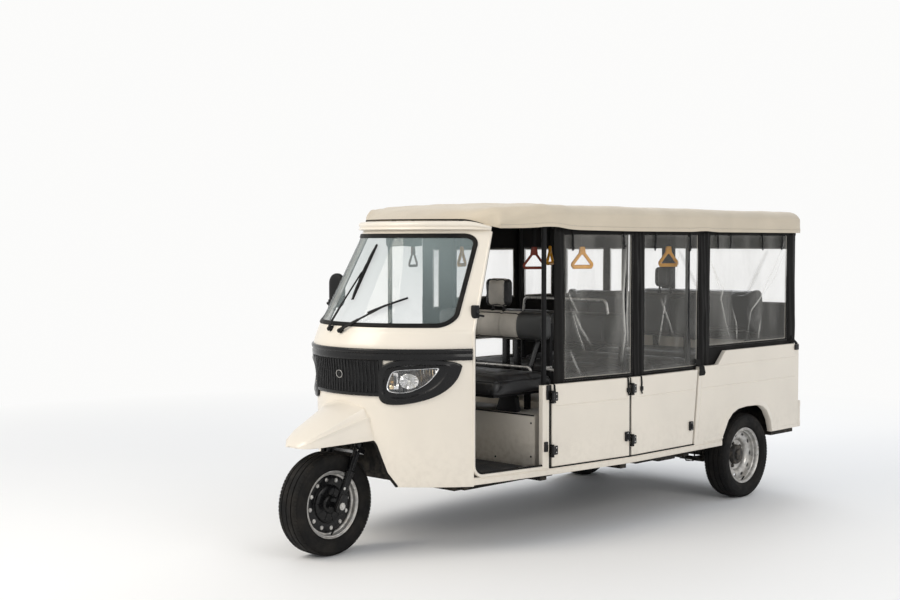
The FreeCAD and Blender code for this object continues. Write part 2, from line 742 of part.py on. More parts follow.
quarter_front = behind(post_d) - door_gap
QUARTER = [
    (quarter_front, sill_high), (quarter_front - 50, quarter_notch), (behind(notch_start), quarter_notch),
    (behind(notch_end), quarter_top), (behind(tail_end), quarter_top), (behind(tail_end), quarter_low),
    (rear_axle_x - arch_foot, quarter_low), (rear_axle_x, quarter_low), (rear_axle_x + arch_foot, sill_high),
]
quarter = side_plate("quarter_plate", QUARTER, half_body - panel, panel)
arch_points = [vec(rear_axle_x + arch_foot + 14, 0, 300), vec(rear_axle_x + arch_reach - 20, 0, arch_top),
               vec(rear_axle_x - arch_reach, 0, arch_top), vec(rear_axle_x - arch_foot, 0, 300)]
arch_prism = rounded_prism(arch_points, [1, float(arch_round), float(arch_round), 1], vec(0, 1400, 0))
doc.recompute()
FLARE_WIDE = 34
FLARE_OUT = 10
flare_points = [vec(rear_axle_x + arch_foot + 14 + FLARE_WIDE, half_body, 300),
                vec(rear_axle_x + arch_reach - 20 + FLARE_WIDE / 2, half_body, arch_top + FLARE_WIDE),
                vec(rear_axle_x - arch_reach - FLARE_WIDE / 2, half_body, arch_top + FLARE_WIDE),
                vec(rear_axle_x - arch_foot - FLARE_WIDE, half_body, 300)]
flare = rounded_prism(flare_points, [1, float(arch_round) + FLARE_WIDE, float(arch_round) + FLARE_WIDE, 1],
                      vec(0, FLARE_OUT, 0))
flare = flare.cut(Part.makeBox(2000, 400, 200, vec(rear_axle_x - 1000, 500, float(sill_high) - 200)))
quarter_shape = fused([quarter.Shape, flare]).cut(arch_prism)
node(formed("rear_quarters", Part.makeCompound([quarter_shape, mirrored(quarter_shape)])), "rear_quarters")

# Rear panel with its lower step, the lamps on it and the two holes for a plate

PLATE_SPACING = 200
PLATE_HEIGHT = 460
PLATE_HOLE = 3.5

tail_half = half_body - panel - fit_gap
upper_tail = block("upper_tail", (behind(tail_end), -tail_half, quarter_low),
                   (panel, tail_half * 2, quarter_top - quarter_low))
lower_tail = block("lower_tail", (behind(tail_end) - tail_step, -half_body, quarter_low),
                   (tail_step - fit_gap, half_body * 2, tail_step_top - quarter_low))
bridge = block("tail_bridge", (behind(tail_end) - 2, -tail_half + 20, quarter_low + 10),
               (4, tail_half * 2 - 40, tail_step_top - quarter_low - 20))
tail_solid = fuse("tail_solid", [upper_tail, lower_tail, bridge])
plate_holes = [rod("plate_hole_" + side, (behind(tail_end) - 60, PLATE_SPACING / 2 * sign, PLATE_HEIGHT),
                   "x", PLATE_HOLE, 120) for side, sign in (("left", 1), ("right", -1))]
node(cut("tail_panel", tail_solid, fuse("plate_holes", plate_holes)), "tail_panel")

LAMP_HIGH = 150
LAMP_WIDE = 90
tail_lamps = []
for side, low_y in (("left", half_body - 60 - LAMP_WIDE), ("right", 60 - half_body)):
    tail_lamps.append(block("tail_lamp_" + side, (behind(tail_end) - 24 - fit_gap, low_y, tail_step_top + 60),
                            (24, LAMP_WIDE, LAMP_HIGH)))
node(group("tail_lamps", tail_lamps), "tail_lamps")

# Roof frame: posts, side rails and cross bows

CURTAIN = 4
BOW = 20
GRIP_Y = 450
strap_rail = float(crown) - 46
roof_line = float(hem) + 40
POSTS = (
    # name, station, half width outside, bow's drop under the cloth's highest line
    ("b", post_b, half_post_b, 0.7),
    ("c", post_c, half_body, 0.7),
    ("d", post_d + 4, half_body, 2.4),
    ("e", post_e, half_body, 14),
)
frame_solids = []
INSET = float(panel) + float(curtain_gap) + CURTAIN + float(fit_gap) + float(tube) / 2
for sign in (1, -1):
    eaves = [Vector(float(front_axle_x - post_a_top) - 20, sign * (float(half_top_a) - 34), roof_line - 10)]
    for name, station, half, drop in POSTS:
        x = float(behind(station))
        y = sign * (float(half) - INSET)
        frame_solids.append(tube_path([Vector(x, y, float(sill_low + floor_plate)),
                                       Vector(x, y, roof_line)], tube))
        eaves.append(Vector(x, y, roof_line))
    frame_solids.append(tube_path(eaves, tube, capped=True))
bows = []
for name, station, half, drop in POSTS:
    x = float(behind(station))
    y = float(half) - INSET
    top = float(crown) - float(cloth) - BOW / 2 - float(fit_gap) - drop
    bow = [Vector(x, -y, roof_line), Vector(x, -y * 0.8, top - 12), Vector(x, 0, top),
           Vector(x, y * 0.8, top - 12), Vector(x, y, roof_line)]
    bows.append(tube_path(bow, BOW))
for sign in (1, -1):
    bows.append(tube_path([Vector(float(behind(post_b)), sign * GRIP_Y, strap_rail),
                           Vector(float(behind(post_e)), sign * GRIP_Y, strap_rail)], BOW))
node(formed("roof_frame", fused(frame_solids + bows)), "roof_frame")

# Roof cloth: an inverted trough over the bows

CANOPY = (
    # station, half width, hem, shoulder height, crown height
    (canopy_front, half_top_a - 30, float(cap_high) + 4, 1676, 1702),
    (post_a_top + 30, half_top_a + 22, float(hem) + 14, 1690, 1735),
    (post_b - 10, half_post_b + 8, float(hem) + float(hem_peak), 1694, float(crown)),
    (post_c, half_body + 2, float(hem), float(shoulder), float(crown)),
    (tail_end - 30, half_body + 2, float(hem), float(shoulder), float(crown) - 4),
    (tail_end + 6, half_body - 6, float(hem), float(shoulder) - 8, float(crown) - 44),
)


def canopy_wire(row, wall):
    station, half, low, turn, top = row
    x = float(behind(station))
    half = float(half) - wall
    bottom = low - (60 if wall else 0)
    turn = turn - wall * 0.5
    top = top - wall
    eave = top - (top - turn) * 0.25
    points = [Vector(x, -half, bottom), Vector(x, -half, turn), Vector(x, -half * 0.965, (turn + eave) / 2 + 6),
              Vector(x, -half * 0.88, eave), Vector(x, 0, top), Vector(x, half * 0.88, eave),
              Vector(x, half * 0.965, (turn + eave) / 2 + 6), Vector(x, half, turn), Vector(x, half, bottom)]
    edges = [Part.LineSegment(points[0], points[1]).toShape(),
             Part.Arc(points[1], points[2], points[3]).toShape(),
             Part.Arc(points[3], points[4], points[5]).toShape(),
             Part.Arc(points[5], points[6], points[7]).toShape(),
             Part.LineSegment(points[7], points[8]).toShape(),
             Part.LineSegment(points[8], points[0]).toShape()]
    return Part.Wire(edges)


wall = float(cloth)
canopy_outer = loft([canopy_wire(row, 0) for row in CANOPY])
inner_rows = [(CANOPY[0][0] - 20,) + CANOPY[0][1:]] + list(CANOPY[1:-1])
inner_rows += [(tail_end - wall,) + CANOPY[-1][1:]]
canopy_inner = loft([canopy_wire(row, wall) for row in inner_rows])
canopy = canopy_outer.cut(canopy_inner)
CAP_ROOM = float(fit_gap) + 0.4
cap_room = [loft([nose_wire(a, -sa - CAP_ROOM, 4), nose_wire(b, -sb - CAP_ROOM, 4)]) for a, b, sa, sb in (
    (cap_low - 40, cap_low + 14, float(cap_reach), float(cap_reach)),
    (cap_low + 14, float(cap_high) - 8, float(cap_reach), float(cap_reach) - 4),
    (float(cap_high) - 8, float(cap_high) + CAP_ROOM, float(cap_reach) - 4, 8))]
for room in cap_room:
    canopy = canopy.cut(room)
node(formed("canopy", canopy), "canopy")

# Side curtains: dark borders with clear panes, hung inside the doors and quarters

PANES_LEFT = (
    # front station, rear station, low, high
    (1075, 1530, 832, 1560),
    (1650, 2120, 832, 1560),
    (2270, 3270, 940, 1560),
)
PANES_RIGHT = (
    (1075, 1530, 1205, 1560),
    (1075, 1530, 832, 950),
    (1650, 2120, 1205, 1560),
    (1650, 2120, 832, 950),
    (2270, 3050, 1205, 1560),
    (3110, 3270, 1205, 1560),
)
curtain_low = float(door_top) - 20


def curtain_span(x0, y0, x1, y1, low, high):
    """Upright sheet between two plan points."""
    return prism([Vector(x0, y0, low), Vector(x1, y1, low), Vector(x1, y1 - CURTAIN, low),
                  Vector(x0, y0 - CURTAIN, low)], Vector(0, 0, high - low))


def plan_y(station):
    """Curtain's outside at one station."""
    inside = float(panel) + float(curtain_gap)
    if station >= float(post_c):
        return float(half_body) - inside
    t = (station - float(post_b)) / (float(post_c) - float(post_b))
    return float(half_post_b) + (float(half_body) - float(half_post_b)) * t - inside


curtain_front = float(post_b) - 22
curtain_back = float(post_e)
stations = [curtain_front, float(post_c), curtain_back]
sheet_parts = []
for a, b in zip(stations, stations[1:]):
    sheet_parts.append(curtain_span(float(front_axle_x) - a, plan_y(a), float(front_axle_x) - b, plan_y(b),
                                    curtain_low, roof_line))
whole_curtain = fused(sheet_parts)
inset = float(fit_gap)


def with_panes(panes):
    """The curtain with its openings, and the clear sheets that fill them."""
    border = whole_curtain
    sheets = []
    for first, last, low, high in panes:
        opening = Part.makeBox(last - first, 200, high - low, vec(front_axle_x - last, half_body - 200, low))
        border = border.cut(opening)
        filler = Part.makeBox(last - first - 2 * inset, 200, high - low - 2 * inset,
                              vec(front_axle_x - last + inset, half_body - 200, low + inset))
        sheets.append(whole_curtain.common(filler))
    return border, sheets


border_left, clear_left = with_panes(PANES_LEFT)
border_right, clear_right = with_panes(PANES_RIGHT)
node(formed("curtain_left", border_left), "curtain_left")
node(formed("curtain_right", mirrored(border_right)), "curtain_right")

# Rear curtain with its window

back_half = float(half_body) - float(panel) - 12
back_x = float(behind(post_e)) - float(tube) / 2 - float(fit_gap) - CURTAIN
rear_sheet = Part.makeBox(CURTAIN, back_half * 2, roof_line - float(quarter_top) - 4,
                          Vector(back_x, -back_half, float(quarter_top) + 4))
REAR_PANE = (420, 1060, 1500)
rear_hole = Part.makeBox(100, REAR_PANE[0] * 2, REAR_PANE[2] - REAR_PANE[1],
                         Vector(back_x - 50, -REAR_PANE[0], REAR_PANE[1]))
rear_pane = Part.makeBox(CURTAIN, REAR_PANE[0] * 2 - 2 * inset, REAR_PANE[2] - REAR_PANE[1] - 2 * inset,
                         Vector(back_x, -REAR_PANE[0] + inset, REAR_PANE[1] + inset))
node(formed("curtain_rear", rear_sheet.cut(rear_hole)), "curtain_rear")
panes = clear_left + [mirrored(c) for c in clear_right] + [rear_pane]
node(formed("curtain_panes", Part.makeCompound(panes)), "curtain_panes")

# Seats: a table of rows

SEATS = (
    # name, cushion front, back's front face, low, back low, back high, back's half width, half width
    ("driver", 720, 1185, 655, 1030, 1166, 400, 480),
    ("first", 1400, 1820, 640, 950, 1140, 500, 500),
    ("second", 2040, 2470, 640, 960, 1280, 500, 500),
    ("third", 2720, 3180, 640, 960, 1250, 480, 480),
)
bases = []
cushions = []
backs = []
frames = []
floor_top = sill_low + floor_plate
for name, fore, back, base_top, back_low, back_high, back_half_width, half in SEATS:
    fore_x = behind(Rule("%d" % fore, fore))
    back_x = behind(Rule("%d" % back, back))
    deep = back - fore
    if name == "driver":
        base_front = Rule("950", 950)
        base_back = Rule("1180", 1180)
        base_half = half_post_b - panel - 50
        under = Rule("655", 655)
    else:
        base_front = Rule("%d" % (fore + 90), fore + 90)
        base_back = Rule("%d" % (back + 30), back + 30)
        base_half = tub_half - 16
        under = Rule("640", 640)
    bases.append(block("base_" + name, (behind(base_back), -base_half, floor_top),
                       (base_back - base_front, base_half * 2, under - floor_top)))
    cushion_low = cushion_top - cushion
    corners = [vec(x, y, cushion_low) for x, y in
               ((fore_x, -half), (fore_x, half), (back_x + 4, half), (back_x + 4, -half))]
    cushions.append(rounded_prism(corners, 40, vec(0, 0, cushion)))
    back_corners = [Vector(float(back_x), y, z) for y, z in
                    ((-back_half_width, back_low), (back_half_width, back_low),
                     (back_half_width, back_high), (-back_half_width, back_high))]
    backs.append(rounded_prism(back_corners, 35, vec(-back_thick, 0, 0)))
    tray = Part.makeBox(deep - 30, 2 * half - 60, 14, vec(back_x + 10, -half + 30, cushion_low - 14.3))
    leg_solids = [tray]
    for y in (-half + 110, half - 136):
        leg_solids.append(Part.makeBox(26, 26, float(cushion_low) - 14 - float(under),
                                       vec(back_x + 60, y, float(under) + 0.3)))
        leg_solids.append(Part.makeBox(26, 26, float(cushion_low) - 14 - float(under),
                                       vec(behind(base_front) - 56, y, float(under) + 0.3)))
        upright = Part.makeBox(24, 36, back_high - 60 - (float(cushion_low) - 14.3),
                               vec(back_x - float(back_thick) - 24.3, y - 5, float(cushion_low) - 14.3))
        link = Part.makeBox(float(back_thick) + 60, 36, 14,
                            vec(back_x - float(back_thick) - 24.3, y - 5, float(cushion_low) - 14.3))
        leg_solids += [upright, link]
    frames.append(fused(leg_solids))
node(group("seat_bases", bases), "seat_bases")
node(formed("seat_cushions", Part.makeCompound(cushions)), "seat_cushions")
HEADRESTS = ((1205, 40, 1205, 1335, 85), (2490, 250, 1305, 1392, 90))
head_solids = []
for station, y, low, high, half in HEADRESTS:
    corners = [vec(behind(station), y + dy, z) for dy, z in
               ((-half, low), (half, low), (half, high), (-half, high))]
    pad_solid = rounded_prism(corners, 24, Vector(-60, 0, 0))
    stalks = [Part.makeCylinder(7, 60, vec(behind(station) - 30, y + dy, low - 50), Vector(0, 0, 1))
              for dy in (-40, 40)]
    head_solids.append(fused([pad_solid] + stalks))
merged_backs = [fused([backs[0], head_solids[0]]), backs[1], fused([backs[2], head_solids[1]]), backs[3]]
node(formed("seat_backs", Part.makeCompound(merged_backs)), "seat_backs")
node(formed("seat_frames", Part.makeCompound(frames)), "seat_frames")

# Hand grips: triangles on straps from the roof rails

GRIPS = (1055, 1458, 2268)
GRIP_TOP = 1512
GRIP_LOW = 1400
GRIP_HALF = 82
grip_solids = []
strap_top = strap_rail - BOW / 2 - float(fit_gap)
for station in GRIPS:
    for sign in (1, -1):
        x = float(front_axle_x) - station
        y = GRIP_Y * sign
        corners = [Vector(x - GRIP_HALF, y - 6, GRIP_LOW), Vector(x + GRIP_HALF, y - 6, GRIP_LOW),
                   Vector(x, y - 6, GRIP_TOP)]
        small = [Vector(x - GRIP_HALF + 30, y - 6, GRIP_LOW + 16), Vector(x + GRIP_HALF - 30, y - 6, GRIP_LOW + 16),
                 Vector(x, y - 6, GRIP_TOP - 30)]
        ring = rounded_prism(corners, 7, Vector(0, 12, 0)).cut(prism(small, Vector(0, 12, 0)))
        strap = Part.makeBox(20, 4, strap_top - GRIP_TOP + 24, Vector(x - 10, y - 2, GRIP_TOP - 24))
        grip_solids.append(fused([ring, strap]))
node(formed("hand_grips", Part.makeCompound(grip_solids)), "hand_grips")

# Rear axle with its gear case and motor, and the leaf springs

BEAM_RADIUS = 32
LEAF_HALF = 400
LEAF_WIDE = 50
LEAF_THICK = 18
hub_face = rear_track / 2 - tyre_width / 2 - 10
beam = rod("axle_beam", (rear_axle_x, -hub_face, tyre_radius), "y", Rule("%d" % BEAM_RADIUS, BEAM_RADIUS), hub_face * 2)
stub = rod("axle_stub", (rear_axle_x, -rear_track / 2 - 20, tyre_radius), "y", axle_radius + 4, rear_track + 40)
case = block("gear_case", (rear_axle_x - 90, -85, tyre_radius - 90), (180, 170, 180))
motor = block("motor", (rear_axle_x + 80, -95, tyre_radius - 75), (260, 190, 150))
node(fuse("rear_axle", [beam, stub, case, motor]), "rear_axle")
springs = []
leaf_low = tyre_radius - BEAM_RADIUS - LEAF_THICK - fit_gap
for side, sign in (("left", 1), ("right", -1)):
    y = rail_middle * sign - LEAF_WIDE / 2
    leaf = block("leaf_" + side, (rear_axle_x - LEAF_HALF, y, leaf_low),
                 (2 * LEAF_HALF, LEAF_WIDE, LEAF_THICK))
    perches = [block("spring_end_%s_%s" % (side, end), (rear_axle_x + x, y + 10, leaf_low),
                     (30, LEAF_WIDE - 20, rail_low - fit_gap - leaf_low))
               for end, x in (("aft", -LEAF_HALF), ("fore", LEAF_HALF - 30))]
    springs.append(fuse("spring_" + side, [leaf] + perches))
node(group("leaf_springs", springs), "leaf_springs")

# Front fork and handlebar

LEG_Y = 96
LEG_RADIUS = 17
leg_foot = wheel_centre + axis_up * -10
fork_solids = [Part.makeCylinder(STEM_RADIUS, bar_reach - CROWN_LOW, on_axis(CROWN_LOW), axis_up)]
crown_box = Part.makeBox(64, 2 * LEG_Y + 50, 22, Vector(-32, -LEG_Y - 25, 0))
crown_box.Placement = Placement(on_axis(CROWN_LOW), Rotation(Vector(0, 1, 0), -float(rake)))
fork_solids.append(crown_box)
for sign in (1, -1):
    low = leg_foot + Vector(0, LEG_Y * sign, 0)
    fork_solids.append(Part.makeCylinder(LEG_RADIUS, CROWN_LOW + 20, low, axis_up))
spindle = Part.makeCylinder(float(axle_radius), 2 * LEG_Y + 30, wheel_centre + Vector(0, -LEG_Y - 15, 0), axis_side)
fork_solids.append(spindle)
node(formed("front_fork", fused(fork_solids)), "front_fork")

bar_at = on_axis(bar_reach)
bar_forward = Vector(math.cos(lean), 0, math.sin(lean))
bar_solids = [Part.makeCylinder(34, 36, on_axis(bar_reach + 0.3), axis_up)]
for sign in (1, -1):
    root_point = bar_at + axis_up * 18
    bend = root_point + Vector(0, 120 * sign, 0) + axis_up * 26 - bar_forward * 12
    end = root_point + Vector(0, 285 * sign, 0) + axis_up * 26 - bar_forward * 85
    bar_solids.append(tube_path([root_point, bend, end], 24))
    grip_start = bend + (end - bend) * 0.35
    bar_solids.append(Part.makeCylinder(17, (end - grip_start).Length, grip_start, end - grip_start))
node(formed("handlebar", fused(bar_solids)), "handlebar")


# Wheels: tyre and rim are turned about the wheel's own axis

def turned(name, corners, centre_y, x, z):
    """Body turned about the wheel's axis; corners are along the axis and out from it."""
    body = doc.addObject("PartDesign::Body", name)
    sketch = outline(body, "XZ_Plane", name + "_section", corners)
    turn = body.newObject("PartDesign::Revolution", name + "_turn")
    turn.Profile = sketch
    turn.ReferenceAxis = (sketch, ["H_Axis"])
    turn.Angle = 360
    body.Placement = Placement(Vector(), Rotation(Vector(0, 0, 1), 90))
    place(body, (x, centre_y, z))
    return body


half_tyre = tyre_width / 2
half_rim = rim_width / 2
TYRE = [
    (-half_rim + 6, rim_radius + 1), (-half_rim + 6, rim_radius + rim_lip + 2),
    (-half_tyre + 8, rim_radius + 24), (-half_tyre, tyre_radius - 50),
    (-half_tyre + 8, tyre_radius - 18), (-half_tyre + 26, tyre_radius - 4), (Rule("-20", -20), tyre_radius),
    (Rule("20", 20), tyre_radius), (half_tyre - 26, tyre_radius - 4), (half_tyre - 8, tyre_radius - 18),
    (half_tyre, tyre_radius - 50), (half_tyre - 8, rim_radius + 24),
    (half_rim - 6, rim_radius + rim_lip + 2), (half_rim - 6, rim_radius + 1),
]
BEAD = fit_gap


def rim_corners(disc_at, disc_thick):
    """Rim with its disc at a place along the axis."""
    return [
        (-half_rim, rim_radius - 10), (-half_rim, rim_radius + rim_lip), (-half_rim + 5, rim_radius + rim_lip),
        (-half_rim + 5, rim_radius + 1 - BEAD), (half_rim - 5, rim_radius + 1 - BEAD),
        (half_rim - 5, rim_radius + rim_lip), (half_rim, rim_radius + rim_lip), (half_rim, rim_radius - 10),
        (disc_at + disc_thick, rim_radius - 12), (disc_at + disc_thick, axle_radius + 5),
        (disc_at, axle_radius + 5), (disc_at, rim_radius - 12),
    ]


VENTS = 10
wheels = (
    # name, x, y, outer side
    ("rear_left", rear_axle_x, rear_track / 2, 1),
    ("rear_right", rear_axle_x, -rear_track / 2, -1),
)
front_tyre = turned("front_tyre", TYRE, 0, front_axle_x, tyre_radius)
node(front_tyre, "front_tyre")
front_rim_ring = turned("front_rim_ring", rim_corners(-6, 12), 0, front_axle_x, tyre_radius)
drum = rod("front_drum", (front_axle_x, -44, tyre_radius), "y", drum_radius, 88)
bore = rod("front_bore", (front_axle_x, -60, tyre_radius), "y", axle_radius + fit_gap, 120)
solid_rim = fuse("front_rim_solid", [front_rim_ring, drum])
node(cut("front_rim", solid_rim, bore), "front_rim")
for name, x, y, outer_side in wheels:
    node(turned(name + "_tyre", TYRE, y, x, tyre_radius), name + "_tyre")
    disc = Rule("14", 14) if outer_side < 0 else Rule("-24", -24)
    ring = turned(name + "_rim_ring", rim_corners(disc, 10), y, x, tyre_radius)
    hub_low = y - 30
    hub = rod(name + "_hub", (x, hub_low, tyre_radius), "y", hub_radius, 60)
    bore = rod(name + "_bore", (x, y - 70, tyre_radius), "y", axle_radius + 4 + fit_gap, 140)
    holes = []
    for i in range(VENTS):
        turn = 2 * math.pi * i / VENTS
        hx = x + (rim_radius - 42) * math.sin(turn)
        hz = tyre_radius + (rim_radius - 42) * math.cos(turn)
        holes.append(rod("%s_vent_%d" % (name, i), (hx, y - 60, hz), "y", 11, 120))
    solid = fuse(name + "_rim_solid", [ring, hub])
    tool = fuse(name + "_rim_holes", [bore] + holes)
    node(cut(name + "_rim", solid, tool), name + "_rim")

# Doors: each hangs on two outside hinges at its front edge and latches at its rear edge

DOORS = (
    # name, front station, rear station, half width front, half width rear, slant of the rear edge
    ("front", post_b, post_c, half_post_b, half_body, 0),
    ("rear", post_c, post_d, half_body, half_body, 50),
)
HINGE_HEIGHTS = (450, 728)
HINGE_TALL = 46
LATCH_HEIGHT = 470
KNUCKLE = 8
FIXED_TALL = 9
FIXED_GAP = 0.5
bracket_shapes = []
doc.recompute()
door_low = sill_high + door_gap / 2
for name, fore, aft, half_fore, half_aft, slant in DOORS:
    width = math.hypot(float(aft - fore), float(half_aft - half_fore))
    turn = math.degrees(math.atan2(float(half_aft - half_fore), float(aft - fore)))
    long_edge = Rule("sqrt((%s)^2 + (%s)^2)" % ((aft - fore).text, (half_aft - half_fore).text), width)
    corners = [(-hinge_gap, door_low), (-long_edge + hinge_gap, door_low),
               (-long_edge + hinge_gap - slant, door_top), (-hinge_gap, door_top)]
    plate = side_plate("door_plate_" + name, corners, -panel, panel)
    doc.recompute()
    flat = plate.Shape.copy()
    fittings = []
    brackets = []
    for height in HINGE_HEIGHTS:
        pin_at = Vector(0, float(hinge_out), height)
        knuckle = Part.makeCylinder(KNUCKLE, HINGE_TALL, pin_at)
        leaf = Part.makeBox(36, 5, HINGE_TALL, Vector(-float(hinge_gap) - 36, float(fit_gap), height))
        arm = Part.makeBox(16, float(hinge_out) - 4, HINGE_TALL, Vector(-float(hinge_gap) - 9, float(fit_gap), height))
        pin_hole = Part.makeCylinder(float(pin_radius + pin_play), HINGE_TALL + 2, pin_at - Vector(0, 0, 1))
        fittings.append(fused([knuckle, leaf, arm]).cut(pin_hole))
        reach = float(hinge_out) + float(panel) + float(curtain_gap) + CURTAIN
        for low in (height - FIXED_GAP - FIXED_TALL, height + HINGE_TALL + FIXED_GAP):
            ring = Part.makeCylinder(KNUCKLE, FIXED_TALL, Vector(0, float(hinge_out), low))
            stay = Part.makeBox(5, reach, FIXED_TALL, Vector(-2.5, float(hinge_out) - reach, low))
            brackets.append(fused([ring, stay]))
        brackets.append(Part.makeCylinder(float(pin_radius), HINGE_TALL + 2, pin_at - Vector(0, 0, 1)))
    latch = Part.makeBox(34, 16, 52, Vector(-width + 20, 0.3, LATCH_HEIGHT))
    fittings.append(latch)
    for sign, side in ((1, "left"), (-1, "right")):
        spot = Placement(vec(behind(fore), half_fore, 0), Rotation(Vector(0, 0, 1), -turn))
        pieces = []
        for shape in [flat] + fittings + [fused(brackets)]:
            moved = shape.copy()
            moved.Placement = spot.multiply(moved.Placement)
            pieces.append(moved if sign > 0 else mirrored(moved))
        node(formed("door_%s_%s" % (side, name), pieces[0]), "door_%s_%s" % (side, name))
        label = "door_%s_%s_fittings" % (side, name)
        node(formed(label, Part.makeCompound(pieces[1:-1])), label)
        bracket_shapes += pieces[-1].Solids
node(formed("hinge_brackets", Part.makeCompound(bracket_shapes)), "hinge_brackets")

# Jambs: the body-coloured pillars in front of the first doors, standing on the sills

JAMB_WIDE = 44
jamb_plan = []
for station in (post_b - hinge_gap - JAMB_WIDE, post_b - hinge_gap):
    share = (station - post_a) / (post_b - post_a)
    jamb_plan.append((behind(station), half_post_a + (half_post_b - half_post_a) * share))
jamb_outer = [vec(x, y, sill_high) for x, y in jamb_plan]
jamb_inner = [vec(x, y - panel, sill_high) for x, y in jamb_plan[::-1]]
jamb = prism(jamb_outer + jamb_inner, vec(0, 0, door_top - sill_high))
node(formed("door_jambs", Part.makeCompound([jamb, mirrored(jamb)])), "door_jambs")

# Every piece is sound before anything is written

doc.recompute()
for item in doc.Objects:
    states = [s for s in item.State if s in ("Invalid", "Error")]
    if states:
        raise RuntimeError("%s is %s" % (item.Label, states))
for item in nodes:
    shape = item.Shape
    if shape.isNull() or not shape.isValid() or not shape.Solids:
        raise RuntimeError("%s has no sound shape" % item.Label)

os.makedirs("parts", exist_ok=True)
for item in nodes:
    item.Shape.exportStep("parts/%s.step" % item.Label)
    box = item.Shape.BoundBox
    print("%-28s solids %3d  x %8.1f %8.1f  y %8.1f %8.1f  z %8.1f %8.1f" % (
        item.Label, len(item.Shape.Solids), box.XMin, box.XMax, box.YMin, box.YMax, box.ZMin, box.ZMax))
print(len(nodes), "pieces")
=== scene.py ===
import json
import math

import bpy
import bmesh
import numpy as np
from mathutils import Matrix, Vector, noise
from mathutils.bvhtree import BVHTree

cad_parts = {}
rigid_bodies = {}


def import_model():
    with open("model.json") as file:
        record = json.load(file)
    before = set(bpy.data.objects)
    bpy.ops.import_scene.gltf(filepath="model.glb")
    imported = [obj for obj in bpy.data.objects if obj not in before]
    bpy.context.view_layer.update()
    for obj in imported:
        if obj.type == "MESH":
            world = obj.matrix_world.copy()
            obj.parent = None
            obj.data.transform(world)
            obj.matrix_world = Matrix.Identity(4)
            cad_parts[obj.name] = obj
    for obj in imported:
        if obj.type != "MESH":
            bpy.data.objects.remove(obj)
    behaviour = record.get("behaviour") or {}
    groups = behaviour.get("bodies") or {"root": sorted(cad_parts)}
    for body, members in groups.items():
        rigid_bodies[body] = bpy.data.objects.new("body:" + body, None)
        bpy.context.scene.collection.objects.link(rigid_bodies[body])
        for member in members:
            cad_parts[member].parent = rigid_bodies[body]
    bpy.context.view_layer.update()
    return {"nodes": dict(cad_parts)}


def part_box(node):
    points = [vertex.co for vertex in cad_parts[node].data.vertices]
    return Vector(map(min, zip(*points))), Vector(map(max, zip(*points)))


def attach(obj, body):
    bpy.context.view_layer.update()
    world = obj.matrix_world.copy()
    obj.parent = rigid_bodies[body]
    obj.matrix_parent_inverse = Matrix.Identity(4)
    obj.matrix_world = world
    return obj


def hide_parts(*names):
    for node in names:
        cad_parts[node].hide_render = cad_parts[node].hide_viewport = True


# Passenger rickshaw: painted cab and doors, canvas roof, clear side curtains, bench seats.
# Metres; X forward, Y to the left, Z up. Stations are metres behind the front axle.

for leftover in list(bpy.data.objects):
    bpy.data.objects.remove(leftover)
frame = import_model()
# Place of the front axle along X
AXLE = 1.5665


def at(station):
    return AXLE - station


def spot(station, y, z):
    return Vector((at(station), y, z))


# ---------- finishes ----------

